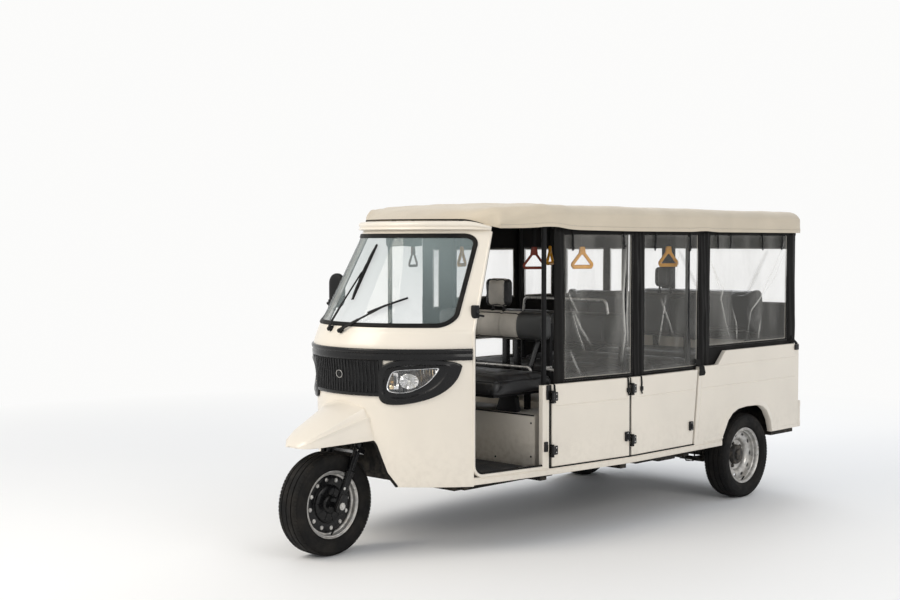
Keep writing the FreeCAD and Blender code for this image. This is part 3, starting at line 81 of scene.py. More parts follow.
class Recipe:
    """One material and short ways to add to it."""

    def __init__(self, name, colour, **sockets):
        self.mat = bpy.data.materials.new(name)
        self.mat.use_nodes = True
        self.tree = self.mat.node_tree
        self.shader = self.tree.nodes["Principled BSDF"]
        self.colour = colour
        self.shader.inputs["Base Color"].default_value = (*colour, 1)
        for socket, value in sockets.items():
            self.shader.inputs[socket.replace("_", " ")].default_value = value
        self.mat.diffuse_color = (*colour, 1)
        self.coord = self.tree.nodes.new("ShaderNodeTexCoord").outputs["Object"]
        self.normal = None

    def add(self, kind, links=(), **values):
        node = self.tree.nodes.new(kind)
        for key, value in values.items():
            if key in node.inputs:
                node.inputs[key].default_value = value
            else:
                setattr(node, key, value)
        for socket, source in links:
            self.tree.links.new(source, node.inputs[socket])
        return node

    def stretched(self, scale=(1, 1, 1), turn=(0, 0, 0)):
        node = self.add("ShaderNodeMapping", [("Vector", self.coord)])
        node.inputs["Scale"].default_value = scale
        node.inputs["Rotation"].default_value = turn
        return node.outputs[0]

    def grain(self, scale, detail=3, source=None):
        node = self.add("ShaderNodeTexNoise", [("Vector", source or self.coord)], Scale=scale, Detail=detail)
        return node.outputs["Fac"]

    def cells(self, scale):
        node = self.add("ShaderNodeTexVoronoi", [("Vector", self.coord)], Scale=scale)
        return node.outputs["Distance"]

    def bands(self, scale, direction, source=None):
        node = self.add("ShaderNodeTexWave", [("Vector", source or self.coord)], Scale=scale,
                        bands_direction=direction)
        return node.outputs["Fac"]

    def along(self, axis):
        node = self.add("ShaderNodeSeparateXYZ", [(0, self.coord)])
        return node.outputs[axis]

    def span(self, source, low, high, to_low=0.0, to_high=1.0):
        node = self.add("ShaderNodeMapRange", [(0, source)])
        for i, value in enumerate((low, high, to_low, to_high), start=1):
            node.inputs[i].default_value = value
        return node.outputs[0]

    def math(self, operation, a, b):
        node = self.add("ShaderNodeMath", operation=operation)
        for i, item in enumerate((a, b)):
            if isinstance(item, (int, float)):
                node.inputs[i].default_value = item
            else:
                self.tree.links.new(item, node.inputs[i])
        return node.outputs[0]

    def blend(self, share, first, second):
        node = self.add("ShaderNodeMix", data_type="RGBA")
        self.tree.links.new(share, node.inputs[0])
        for i, item in ((6, first), (7, second)):
            if isinstance(item, tuple):
                node.inputs[i].default_value = (*item, 1)
            else:
                self.tree.links.new(item, node.inputs[i])
        return node.outputs[2]

    def paint(self, source):
        self.tree.links.new(source, self.shader.inputs["Base Color"])

    def rough(self, source, low, high):
        self.tree.links.new(self.span(source, 0.3, 0.7, low, high), self.shader.inputs["Roughness"])

    def relief(self, height, strength, distance):
        node = self.add("ShaderNodeBump", [("Height", height)], Strength=strength, Distance=distance)
        if self.normal:
            self.tree.links.new(self.normal, node.inputs["Normal"])
        self.normal = node.outputs[0]
        self.tree.links.new(self.normal, self.shader.inputs["Normal"])

    def see_through(self, source):
        self.tree.links.new(source, self.shader.inputs["Alpha"])


def scaled(colour, by):
    return tuple(min(1.0, c * by) for c in colour)


DUST = (0.36, 0.30, 0.23)


def paint_finish(name, colour, gloss=0.3, coat=0.5, dust=0.16):
    r = Recipe(name, colour, Roughness=gloss, Coat_Weight=coat, Coat_Roughness=0.07)
    tone = r.grain(2.3, 4)
    r_colour = r.blend(r.span(tone, 0.35, 0.65), scaled(colour, 0.955), scaled(colour, 1.03))
    low = r.span(r.along("Z"), 0.62, 0.30)
    spots = r.span(r.grain(34, 6), 0.42, 0.68)
    share = r.math("MULTIPLY", r.math("MULTIPLY", low, spots), dust * 3)
    r.paint(r.blend(share, r_colour, DUST))
    r.rough(r.grain(6, 3), gloss - 0.03, gloss + 0.05)
    r.relief(r.grain(48, 1), 0.02, 0.0004)
    return r.mat


def metal_finish(name, colour, metallic, rough, scale=60, dust=0.3, shine=0.5):
    r = Recipe(name, colour, Metallic=metallic, Roughness=rough, Specular_IOR_Level=shine)
    tone = r.span(r.grain(scale, 6), 0.4, 0.7)
    worn = r.blend(tone, scaled(colour, 0.8), scaled(colour, 1.25))
    low = r.span(r.along("Z"), 0.7, 0.1)
    share = r.math("MULTIPLY", r.math("MULTIPLY", low, r.span(r.grain(25, 6), 0.4, 0.7)), dust)
    r.paint(r.blend(share, worn, DUST))
    r.rough(r.grain(scale * 0.7, 5), rough - 0.08, rough + 0.12)
    r.relief(r.grain(scale * 5, 3), 0.12, 0.0006)
    return r.mat


def plastic_finish(name, colour, rough, grain=420, coat=0.0):
    r = Recipe(name, colour, Roughness=rough, Coat_Weight=coat, Coat_Roughness=0.12, Specular_IOR_Level=0.15)
    tone = r.span(r.grain(11, 5), 0.35, 0.65)
    r.paint(r.blend(tone, scaled(colour, 0.85), scaled(colour, 1.2)))
    r.rough(r.grain(30, 5), rough - 0.05, rough + 0.1)
    r.relief(r.cells(grain), 0.14, 0.0004)
    return r.mat


def rubber_finish(name, colour, rough=0.75, dust=0.5):
    r = Recipe(name, colour, Roughness=rough, Specular_IOR_Level=0.13)
    low = r.span(r.grain(13, 6), 0.42, 0.7)
    share = r.math("MULTIPLY", low, dust)
    r.paint(r.blend(share, colour, scaled(DUST, 0.45)))
    r.rough(r.grain(40, 5), rough - 0.1, rough + 0.1)
    r.relief(r.grain(380, 4), 0.2, 0.0007)
    return r.mat


def canvas_finish(name, colour, thread=520, sheen=0.25, rough=0.82, stain=0.08, shine=0.2):
    r = Recipe(name, colour, Roughness=rough, Sheen_Weight=sheen, Sheen_Roughness=0.5, Specular_IOR_Level=shine)
    warp = r.bands(thread, "X")
    weft = r.bands(thread, "Z", r.stretched((1, 1, 1), (0.6, 0, 0)))
    cloth = r.math("MULTIPLY", warp, weft)
    tone = r.span(r.grain(4, 6), 0.3, 0.7)
    base = r.blend(tone, scaled(colour, 1 - stain), scaled(colour, 1 + stain * 0.6))
    r.paint(r.blend(r.span(cloth, 0, 1, 0, 0.16), base, scaled(colour, 0.62)))
    r.relief(cloth, 0.35, 0.0005)
    r.relief(r.grain(9, 5), 0.35, 0.004)
    return r.mat


def hide_finish(name, colour, rough=0.42):
    r = Recipe(name, colour, Roughness=rough, Coat_Weight=0.06, Coat_Roughness=0.35, Specular_IOR_Level=0.35)
    tone = r.span(r.grain(6, 6), 0.35, 0.7)
    r.paint(r.blend(tone, scaled(colour, 0.82), scaled(colour, 1.22)))
    r.rough(r.grain(24, 5), rough - 0.07, rough + 0.12)
    r.relief(r.cells(300), 0.12, 0.0004)
    r.relief(r.grain(14, 4), 0.3, 0.004)
    return r.mat


def vinyl_finish(name):
    """Soft clear sheet: more opaque and pale along its creases as a painted highlight of the folds, and in random
    smears that stand for scuffs.
    """
    r = Recipe(name, (0.80, 0.78, 0.72), Roughness=0.14, Specular_IOR_Level=0.8, Coat_Weight=0.6, Coat_Roughness=0.05)
    # The crease attribute is a mask of painted highlight: where it is high the sheet shows its own pale colour, like
    # light on a fold.
    crease = r.add("ShaderNodeAttribute", attribute_name="crease").outputs["Fac"]
    smear = r.span(r.grain(5, 5, r.stretched((1, 1, 0.25))), 0.5, 0.8, 0, 0.16)
    sheen_and_scuffs = r.math("ADD", r.math("MULTIPLY", crease, 0.5), smear)
    r.see_through(r.math("ADD", sheen_and_scuffs, 0.09))
    r.rough(r.grain(22, 4), 0.1, 0.24)
    r.relief(r.grain(7, 3), 0.35, 0.006)
    return r.mat


def glass_finish(name, colour, see=0.2):
    r = Recipe(name, colour, Roughness=0.03, Specular_IOR_Level=0.6, Coat_Weight=0.3, Coat_Roughness=0.02)
    high = r.span(r.along("Z"), 1.15, 1.56, 0, 0.16)
    film = r.span(r.grain(6, 5), 0.45, 0.8, 0, 0.08)
    r.see_through(r.math("ADD", r.math("ADD", high, film), see))
    r.relief(r.grain(2.5, 2), 0.05, 0.002)
    return r.mat


def lens_finish(name, colour, alpha, ribs=0.0):
    r = Recipe(name, colour, Roughness=0.06, Specular_IOR_Level=0.8, Coat_Weight=1.0, Coat_Roughness=0.03)
    r.see_through(r.span(r.grain(30, 2), 0, 1, alpha - 0.04, alpha + 0.04))
    r.paint(r.blend(r.grain(25, 2), scaled(colour, 0.9), scaled(colour, 1.1)))
    if ribs:
        r.relief(r.bands(ribs, "Z"), 0.5, 0.002)
        r.relief(r.bands(ribs, "Y"), 0.5, 0.002)
    return r.mat


def mat_finish(name, colour):
    r = Recipe(name, colour, Roughness=0.7)
    share = r.span(r.grain(10, 6), 0.45, 0.75, 0, 0.4)
    r.paint(r.blend(share, colour, scaled(DUST, 0.4)))
    r.relief(r.bands(42, "Y"), 0.8, 0.003)
    r.relief(r.grain(300, 4), 0.2, 0.0007)
    return r.mat


CREAM = (0.79, 0.725, 0.625)
M = {
    "cream": paint_finish("cream_paint", CREAM, 0.32, 0.32, 0.05),
    "cream_inner": paint_finish("cream_paint_inside", scaled(CREAM, 0.86), 0.42, 0.1, 0.2),
    "frame_black": metal_finish("black_frame_paint", (0.008, 0.008, 0.0085), 0.0, 0.42, 60, 0.12, 0.14),
    "gloss_black": plastic_finish("gloss_black_trim", (0.006, 0.006, 0.0065), 0.25, 700, 0.25),
    "satin_black": plastic_finish("satin_black_trim", (0.010, 0.010, 0.0105), 0.45),
    "seal": rubber_finish("seal_rubber", (0.006, 0.006, 0.006), 0.55, 0.06),
    "glass": glass_finish("windscreen_glass", (0.34, 0.42, 0.42), 0.15),
    "dash": plastic_finish("grained_dash", (0.028, 0.028, 0.03), 0.6, 500),
    "red": lens_finish("red_lens", (0.55, 0.015, 0.012), 0.93, 60),
    "amber": lens_finish("amber_lens", (0.85, 0.30, 0.03), 0.9, 60),
    "white_lens": lens_finish("clear_tail_lens", (0.8, 0.78, 0.75), 0.85, 60),
    "lamp_cover": lens_finish("headlamp_cover", (0.60, 0.62, 0.63), 0.07),
    "mirror": metal_finish("bright_reflector", (0.86, 0.86, 0.87), 1.0, 0.12, 30, 0.0),
    "warm_mirror": metal_finish("warm_reflector", (0.80, 0.62, 0.38), 1.0, 0.16, 30, 0.0),
    "bowl": metal_finish("lamp_bowl", (0.22, 0.21, 0.20), 0.9, 0.2, 45, 0.0),
    "bulb": lens_finish("lamp_bulb", (0.95, 0.93, 0.86), 0.8),
    "roof": canvas_finish("cream_roof_cloth", (0.66, 0.575, 0.45)),
    "pale_edge": canvas_finish("pale_pane_edge", (0.30, 0.275, 0.23), 900, 0.1, 0.6, 0.2),
    "curtain": canvas_finish("black_curtain_cloth", (0.0085, 0.008, 0.0075), 600, 0.03, 0.6, 0.3, 0.1),
    "webbing": canvas_finish("black_webbing", (0.007, 0.007, 0.007), 900, 0.05, 0.75, 0.2, 0.1),
    "vinyl": vinyl_finish("clear_vinyl"),
    "seat_black": hide_finish("black_seat_vinyl", (0.010, 0.010, 0.011), 0.40),
    # Light grey seat vinyl made paler than its own colour: the extra brightness is painted sunlight.
    "seat_pale_sunlit": hide_finish("light_grey_seat_vinyl", (0.52, 0.485, 0.43)),
    "seat_dark": hide_finish("dark_grey_seat_vinyl", (0.050, 0.051, 0.051)),
    "thread": canvas_finish("grey_thread", (0.22, 0.21, 0.2), 1500, 0.2),
    "grip_yellow": plastic_finish("yellow_grip", (0.80, 0.36, 0.025), 0.4, 300, 0.2),
    # Grip at the driver's doorway, which hangs in shade: its dark red-brown is painted shade.
    "grip_red": plastic_finish("red_brown_grip", (0.15, 0.028, 0.016), 0.45, 300, 0.1),
    "cast": metal_finish("cast_housing", (0.030, 0.030, 0.031), 0.4, 0.55, 80, 0.35, 0.3),
    "spring": metal_finish("dull_spring_steel", (0.06, 0.058, 0.055), 0.6, 0.5, 50, 0.6),
    "tyre": rubber_finish("tyre_rubber", (0.0095, 0.0093, 0.0092), 0.72, 0.07),
    "silver": metal_finish("silver_wheel_paint", (0.50, 0.49, 0.47), 0.55, 0.34, 40, 0.35),
    "blank_plate": metal_finish("blank_plate_metal", (0.66, 0.65, 0.62), 0.35, 0.42, 14, 0.02),
    "bright": metal_finish("zinc_bolts", (0.62, 0.61, 0.59), 0.9, 0.28, 90, 0.1),
    "tube_grey": metal_finish("light_seat_tube", (0.55, 0.54, 0.52), 0.7, 0.3, 70, 0.05),
    "mat": mat_finish("ribbed_floor_mat", (0.02, 0.02, 0.02)),
    "underseal": metal_finish("dark_underside", (0.012, 0.0115, 0.011), 0.0, 0.75, 50, 0.25, 0.2),
}


# ---------- making and finishing meshes ----------

def smooth(mesh, angle=34):
    mesh.polygons.foreach_set("use_smooth", [True] * len(mesh.polygons))
    mesh.set_sharp_from_angle(angle=math.radians(angle))
    mesh.update()


def piece(name, points, faces, material, angle=34):
    """Object at the origin with its place in its mesh."""
    mesh = bpy.data.meshes.new(name)
    mesh.from_pydata([tuple(p) for p in points], [], faces)
    for finish in material if isinstance(material, (list, tuple)) else [material]:
        mesh.materials.append(M[finish])
    obj = bpy.data.objects.new(name, mesh)
    bpy.context.scene.collection.objects.link(obj)
    smooth(mesh, angle)
    return obj


def outward(obj, inside=False):
    """Merges doubles and points the faces out."""
    bm = bmesh.new()
    bm.from_mesh(obj.data)
    bmesh.ops.remove_doubles(bm, verts=bm.verts, dist=1e-6)
    bmesh.ops.recalc_face_normals(bm, faces=bm.faces)
    if inside:
        bmesh.ops.reverse_faces(bm, faces=bm.faces)
    bm.to_mesh(obj.data)
    bm.free()
    return obj


def settled(obj, angle=34):
    """The modifiers' result as a plain mesh."""
    graph = bpy.context.evaluated_depsgraph_get()
    mesh = bpy.data.meshes.new_from_object(obj.evaluated_get(graph), preserve_all_data_layers=True, depsgraph=graph)
    old = obj.data
    obj.modifiers.clear()
    obj.data = mesh
    mesh.name = obj.name
    if old.users == 0:
        bpy.data.meshes.remove(old)
    smooth(mesh, angle)
    return obj


def thick(obj, depth, offset=-1.0, even=True):
    m = obj.modifiers.new("wall", "SOLIDIFY")
    m.thickness = depth
    m.offset = offset
    m.use_even_offset = even
    return obj


def eased(obj, width, segments=2, angle=40):
    m = obj.modifiers.new("edge", "BEVEL")
    m.width = width
    m.segments = segments
    m.limit_method = "ANGLE"
    m.angle_limit = math.radians(angle)
    m.use_clamp_overlap = True
    m.harden_normals = False
    return obj


def finer(obj, levels=1):
    m = obj.modifiers.new("finer", "SUBSURF")
    m.levels = levels
    m.render_levels = levels
    return obj


def carved(obj, *tools):
    """The object with each tool's shape taken out of it; the tools are used up."""
    for tool in tools:
        m = obj.modifiers.new("cut", "BOOLEAN")
        m.operation = "DIFFERENCE"
        m.solver = "EXACT"
        m.object = tool
        settled(obj)
        drop(tool)
    return obj


def drop(obj):
    mesh = obj.data
    bpy.data.objects.remove(obj)
    if mesh.users == 0:
        bpy.data.meshes.remove(mesh)


def joined(name, objs):
    """Several pieces as one, with their finishes kept."""
    bm = bmesh.new()
    finishes = []
    for obj in objs:
        start = len(bm.faces)
        bm.from_mesh(obj.data)
        bm.faces.ensure_lookup_table()
        index = []
        for mat in obj.data.materials:
            if mat not in finishes:
                finishes.append(mat)
            index.append(finishes.index(mat))
        for face in bm.faces[start:]:
            face.material_index = index[face.material_index] if index else 0
    mesh = bpy.data.meshes.new(name)
    bm.to_mesh(mesh)
    bm.free()
    for mat in finishes:
        mesh.materials.append(mat)
    for obj in objs:
        drop(obj)
    whole = bpy.data.objects.new(name, mesh)
    bpy.context.scene.collection.objects.link(whole)
    mesh.update()
    return whole


def mirror_of(obj, name):
    """The same piece on the other side of the vehicle."""
    mesh = obj.data.copy()
    twin = bpy.data.objects.new(name, mesh)
    bpy.context.scene.collection.objects.link(twin)
    mesh.transform(Matrix.Scale(-1, 4, (0, 1, 0)))
    mesh.flip_normals()
    mesh.update()
    return twin


def fit(obj, body="root", nodes=()):
    """Rides on its body and stands in for its CAD nodes, which it hides."""
    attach(obj, body)
    if nodes:
        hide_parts(*nodes)
    return obj


def finished(name, parts, angle, nodes=(), body="root"):
    """Several parts as one piece, smoothed up to an angle and fitted to its body."""
    whole = joined(name, parts)
    smooth(whole.data, angle)
    return fit(whole, body, nodes)


def on_both_sides(obj, twin_name):
    """Fits a left piece and its mirrored twin."""
    fit(obj, "root")
    fit(mirror_of(obj, twin_name), "root")


def finished_pair(name, twin_name, parts, angle, nodes):
    """Several parts as one left piece, with its mirrored twin."""
    left = finished(name, parts, angle, nodes)
    fit(mirror_of(left, twin_name), "root", nodes)


def grid(name, rows, material, wrap=False, close=False, angle=34):
    """Surface through rows of points; wrap joins each row's ends, close fills the first and last row."""
    n = len(rows[0])
    points = [p for row in rows for p in row]
    faces = []
    for i in range(len(rows) - 1):
        for j in range(n if wrap else n - 1):
            k = (j + 1) % n
            faces.append((i * n + j, i * n + k, (i + 1) * n + k, (i + 1) * n + j))
    if close:
        faces.append(tuple(range(n))[::-1])
        faces.append(tuple((len(rows) - 1) * n + j for j in range(n)))
    return piece(name, points, faces, material, angle)


def lengths_along(points):
    run = [0.0]
    for a, b in zip(points, points[1:]):
        run.append(run[-1] + (b - a).length)
    return run


def evenly(cuts, step):
    """The cuts, with even steps between them."""
    out = []
    for a, b in zip(cuts, cuts[1:]):
        n = max(1, round((b - a) / step))
        out += [a + (b - a) * k / n for k in range(n)]
    return out + [cuts[-1]]


def turned_to(obj, way):
    """Flips an open sheet whose first face looks away from the way given."""
    if obj.data.polygons[0].normal.dot(Vector(way)) < 0:
        obj.data.flip_normals()
    return obj


def loft(name, rows, material, angle=34):
    """Closed body through rings of points, with both ends filled."""
    return outward(grid(name, rows, material, wrap=True, close=True, angle=angle))


def curved(points, radius, steps=6, closed=False):
    """A line whose corners are arcs of one radius."""
    pts = [Vector(p) for p in points]
    n = len(pts)
    out = []
    for i in range(n):
        if not closed and i in (0, n - 1):
            out.append(pts[i])
            continue
        here, before, after = pts[i], pts[i - 1] - pts[i], pts[(i + 1) % n] - pts[i]
        half = before.angle(after) / 2
        reach = min(radius / math.tan(half), before.length * 0.49, after.length * 0.49)
        r = reach * math.tan(half)
        a = here + before.normalized() * reach
        b = here + after.normalized() * reach
        centre = here + (before.normalized() + after.normalized()).normalized() * (r / math.sin(half))
        for s in range(steps + 1):
            t = s / steps
            mid = a.lerp(b, t) - centre
            out.append(centre + mid.normalized() * r if mid.length > 1e-9 else a.lerp(b, t))
    return out


def swept(name, line, section, material, closed=False, up=None, angle=40):
    """A section, given across and up, swept along a line."""
    line = [Vector(p) for p in line]
    n = len(line)
    rows = []
    side = None
    for i, p in enumerate(line):
        if closed:
            ahead = (line[(i + 1) % n] - line[i - 1]).normalized()
        else:
            ahead = (line[min(i + 1, n - 1)] - line[max(i - 1, 0)]).normalized()
        if up is not None:
            lift = Vector(up[i] if isinstance(up, list) else up)
            side = ahead.cross(lift).normalized()
        elif side is None:
            side = ahead.orthogonal().normalized()
        else:
            side = (side - ahead * side.dot(ahead)).normalized()
        lift = side.cross(ahead).normalized()
        rows.append([p + side * a + lift * b for a, b in section])
    if closed:
        rows.append(rows[0])
        return outward(grid(name, rows, material, wrap=True, angle=angle))
    return loft(name, rows, material, angle)


def ring(radius, sides=10, flat=1.0):
    return [(radius * math.cos(2 * math.pi * i / sides), radius * flat * math.sin(2 * math.pi * i / sides))
            for i in range(sides)]


def tube(name, points, radius, material, bend=0.03, sides=12):
    return swept(name, curved(points, bend), ring(radius, sides), material)


def strap(name, points, wide, thickness, material, up, bend=0.01):
    w, t = wide / 2, thickness / 2
    section = [(-w, -t * 0.6), (-w * 0.9, -t), (w * 0.9, -t), (w, -t * 0.6),
               (w, t * 0.6), (w * 0.9, t), (-w * 0.9, t), (-w, t * 0.6)]
    return swept(name, curved(points, bend, 4), section, material, up=up)


def turned(name, profile, centre, material, steps=96, axis="Y", closed=True, angle=30):
    """Profile of (along, out) pairs turned about an axis through the centre."""
    c = Vector(centre)
    rows = []
    for i in range(steps):
        t = 2 * math.pi * i / steps
        row = []
        for along, out in profile:
            a, b = out * math.sin(t), out * math.cos(t)
            row.append(c + Vector({"Y": (a, along, b), "X": (along, a, b), "Z": (a, b, along)}[axis]))
        rows.append(row)
    rows.append(rows[0])
    return outward(grid(name, rows, material, wrap=closed, angle=angle))


def slab(name, outline, depth, place, material, ease=0.003, segments=2):
    """Plate of a flat outline pushed by depth; place turns (u, v, w) into a point."""
    n = len(outline)
    points = [place(u, v, 0) for u, v in outline] + [place(u, v, depth) for u, v in outline]
    faces = [tuple(range(n)), tuple(range(2 * n - 1, n - 1, -1))]
    faces += [(i, (i + 1) % n, n + (i + 1) % n, n + i) for i in range(n)]
    obj = outward(piece(name, points, faces, material))
    return settled(eased(obj, ease, segments)) if ease else obj


def brick(name, low, high, material, ease=0.003, segments=2):
    outline = [(low[0], low[1]), (high[0], low[1]), (high[0], high[1]), (low[0], high[1])]
    return slab(name, outline, high[2] - low[2], lambda u, v, w: (u, v, low[2] + w), material, ease, segments)


def plane_x(x, way=1):
    """Place function for a plate across the vehicle, its depth forward (1) or backward (-1)."""
    return lambda u, v, w: Vector((x + way * w, u, v))


def rounded_outline(corners, radius, steps=5):
    return [(p.x, p.y) for p in curved([(u, v, 0) for u, v in corners], radius, steps, closed=True)]


def round_box(u0, v0, u1, v1, radius, steps):
    """Outline of a rectangle with round corners, from its low corner to its high one."""
    return rounded_outline([(u0, v0), (u1, v0), (u1, v1), (u0, v1)], radius, steps)


# ---------- repeated small parts ----------

def node_tree(name, inputs):
    """Geometry Nodes tree with named inputs, and its start and end."""
    tree = bpy.data.node_groups.new(name, "GeometryNodeTree")
    for label, kind in [("Geometry", "Geometry")] + inputs + [("Finish", "Material")]:
        tree.interface.new_socket(label, in_out="INPUT", socket_type="NodeSocket" + kind)
    tree.interface.new_socket("Geometry", in_out="OUTPUT", socket_type="NodeSocketGeometry")
    return tree, tree.nodes.new("NodeGroupInput"), tree.nodes.new("NodeGroupOutput")


def made_real(tree, start, end, geometry):
    """Ends a tree: instances made real, finish set."""
    real = tree.nodes.new("GeometryNodeRealizeInstances")
    finish = tree.nodes.new("GeometryNodeSetMaterial")
    tree.links.new(geometry, real.inputs["Geometry"])
    tree.links.new(real.outputs["Geometry"], finish.inputs["Geometry"])
    tree.links.new(start.outputs["Finish"], finish.inputs["Material"])
    tree.links.new(finish.outputs["Geometry"], end.inputs["Geometry"])
    return tree


def run_tree(name, points, edges, tree, values, turns=None, angle=34):
    """A tree's result on loose points or lines, as a plain mesh."""
    mesh = bpy.data.meshes.new(name)
    mesh.from_pydata([tuple(p) for p in points], edges, [])
    if turns:
        mesh.attributes.new("turn", "FLOAT_VECTOR", "POINT").data.foreach_set("vector", [c for t in turns for c in t])
    obj = bpy.data.objects.new(name, mesh)
    bpy.context.scene.collection.objects.link(obj)
    m = obj.modifiers.new("tree", "NODES")
    m.node_group = tree
    for item in tree.interface.items_tree:
        if item.in_out == "INPUT" and item.name in values:
            m[item.identifier] = values[item.name]
    settled(obj, angle)
    turn = obj.data.attributes.get("turn")
    if turn:
        obj.data.attributes.remove(turn)
    return obj


def copies_tree():
    """Sets one small part on every point, turned to the point's own direction."""
    tree, start, end = node_tree("set_parts_on_points", [("Part", "Object"), ("Size", "Float")])
    n, k = tree.nodes, tree.links
    part = n.new("GeometryNodeObjectInfo")
    k.new(start.outputs["Part"], part.inputs["Object"])
    turn = n.new("GeometryNodeInputNamedAttribute")
    turn.data_type = "FLOAT_VECTOR"
    turn.inputs["Name"].default_value = "turn"
    spots = n.new("GeometryNodeInstanceOnPoints")
    k.new(start.outputs["Geometry"], spots.inputs["Points"])
    k.new(part.outputs["Geometry"], spots.inputs["Instance"])
    k.new(turn.outputs["Attribute"], spots.inputs["Rotation"])
    k.new(start.outputs["Size"], spots.inputs["Scale"])
    return made_real(tree, start, end, spots.outputs["Instances"])


COPIES = copies_tree()


def repeated(name, part, spots, material):
    """One part on every (point, turn) pair, as one mesh."""
    points, turns = zip(*spots)
    obj = run_tree(name, points, [], COPIES, {"Part": part, "Size": 1.0, "Finish": M[material]}, turns)
    drop(part)
    return obj


def stand_on(obj, point, out, flat=1.0):
    """Sets a part made along its own Z on a point, along the way out; flat squeezes it sideways."""
    obj.data.transform(Matrix.Translation(point) @ out.to_track_quat("Z", "Y").to_matrix().to_4x4()
                       @ Matrix.Diagonal((1.0, flat, 1.0, 1.0)))


def facing(direction, spin=0.0):
    """Euler turn that points a part's own Z along a direction."""
    turn = Vector(direction).to_track_quat("Z", "Y").to_matrix() @ Matrix.Rotation(spin, 3, "Z")
    return tuple(turn.to_euler())


def hex_bolt(radius=0.006, height=0.004, washer=1.5):
    """Bolt head on a washer, standing on its own Z."""
    head = turned("head", [(0, 0), (0, radius), (height * 0.8, radius), (height, radius * 0.8), (height, 0)],
                  (0, 0, 0), "bright", 6, "Z", False)
    plate = turned("washer", [(0, 0), (0, radius * washer), (height * 0.25, radius * washer), (height * 0.25, 0)],
                   (0, 0, 0), "bright", 16, "Z", False)
    return joined("bolt", [head, plate])


def dome(radius=0.005, height=0.003, sides=12):
    """Round fastener head."""
    rim = [(0, 0), (0, radius), (height * 0.5, radius * 0.92), (height * 0.85, radius * 0.6), (height, 0)]
    return turned("dome", rim, (0, 0, 0), "bright", sides, "Z", False)


# ---------- the cab's nose ----------

FRONT_TURN = math.radians(40)
# Windscreen post's foot and top, as station and half width
POST_FOOT, POST_TOP = (0.485, 0.550), (0.710, 0.460)
NOSE = (
    # height, nose ahead of the axle, front radius, share from the post's foot to its top
    (0.342, -0.120, 0.500, 0.0),
    (0.880, -0.105, 0.500, 0.0),
    (1.030, -0.090, 0.520, 0.0),
    (1.108, -0.122, 0.505, 0.0),
    (1.606, -0.412, 0.420, 1.0),
    (1.652, -0.424, 0.420, 1.0),
)


def nose_row(z):
    """The nose's numbers at one height, eased where two slopes meet."""
    ease = 0.018
    heights = [r[0] for r in NOSE]
    samples = [z] if z <= heights[0] or z >= heights[-1] else [z + ease * k / 3 for k in range(-3, 4)]
    return [float(np.mean([np.interp(s, heights, [r[k] for r in NOSE]) for s in samples])) for k in (1, 2, 3)]


class NoseLevel:
    """One level of the nose: a front arc and two side arcs that run to the door posts."""

    def __init__(self, z):
        self.z = z
        ahead, self.radius, share = nose_row(z)
        self.front = AXLE + ahead
        self.back = AXLE - (POST_FOOT[0] + (POST_TOP[0] - POST_FOOT[0]) * share)
        self.half = POST_FOOT[1] + (POST_TOP[1] - POST_FOOT[1]) * share
        r = self.radius
        jx, jy = self.front - r * (1 - math.cos(FRONT_TURN)), r * math.sin(FRONT_TURN)
        cx, cy = self.back - jx, self.half - jy
        chord = math.hypot(cx, cy)
        lean = math.atan2(-cx, cy)
        self.side = chord / (2 * math.sin(lean - FRONT_TURN))
        self.end = 2 * lean - FRONT_TURN
        self.sx, self.sy = jx - self.side * math.cos(FRONT_TURN), jy - self.side * math.sin(FRONT_TURN)
        self.arc = r * FRONT_TURN
        self.length = self.arc + self.side * (self.end - FRONT_TURN)

    def point(self, share, stand=0.0):
        """Point at a share of the way from the middle (0) to the left post (1), or the right one (-1)."""
        s = abs(share) * self.length
        sign = 1 if share >= 0 else -1
        if s <= self.arc:
            t, cx, cy, r = s / self.radius, self.front - self.radius, 0.0, self.radius
        else:
            t, cx, cy, r = FRONT_TURN + (s - self.arc) / self.side, self.sx, self.sy, self.side
        return Vector((cx + (r + stand) * math.cos(t), sign * (cy + (r + stand) * math.sin(t)), self.z))

    def share_at(self, y):
        """Share whose point has this sideways place."""
        low, high = 0.0, 1.0
        for _ in range(30):
            mid = (low + high) / 2
            if self.point(mid).y < abs(y):
                low = mid
            else:
                high = mid
        return low if y >= 0 else -low


LEVELS = {}


def level(z):
    key = round(z, 4)
    if key not in LEVELS:
        LEVELS[key] = NoseLevel(z)
    return LEVELS[key]


def on_nose(y, z, stand=0.0):
    """Point of the nose's outside at one side place and height."""
    here = level(z)
    return here.point(here.share_at(y), stand)


def nose_out(y, z):
    """Outward direction of the nose there."""
    a, b, c = on_nose(y, z), on_nose(y + 0.004, z), on_nose(y, z + 0.004)
    d = (b - a).cross(c - a).normalized()
    return d if d.x > 0 else -d


def heights_between(low, high, step):
    n = max(2, round((high - low) / step) + 1)
    return [low + (high - low) * i / (n - 1) for i in range(n)]


def nose_sheet(name, low, high, outside, inside, material, across=97, step=0.016):
    """Closed shell of the nose between two heights and two stands."""
    shares = np.linspace(-1, 1, across)
    zs = heights_between(low, high, step)
    outer = [[level(z).point(s, outside) for s in shares] for z in zs]
    inner = [[level(z).point(s, inside) for s in shares] for z in zs]
    rows = [o + i[::-1] for o, i in zip(outer, inner)]
    return outward(grid(name, rows, material, wrap=True, close=False), False), rows


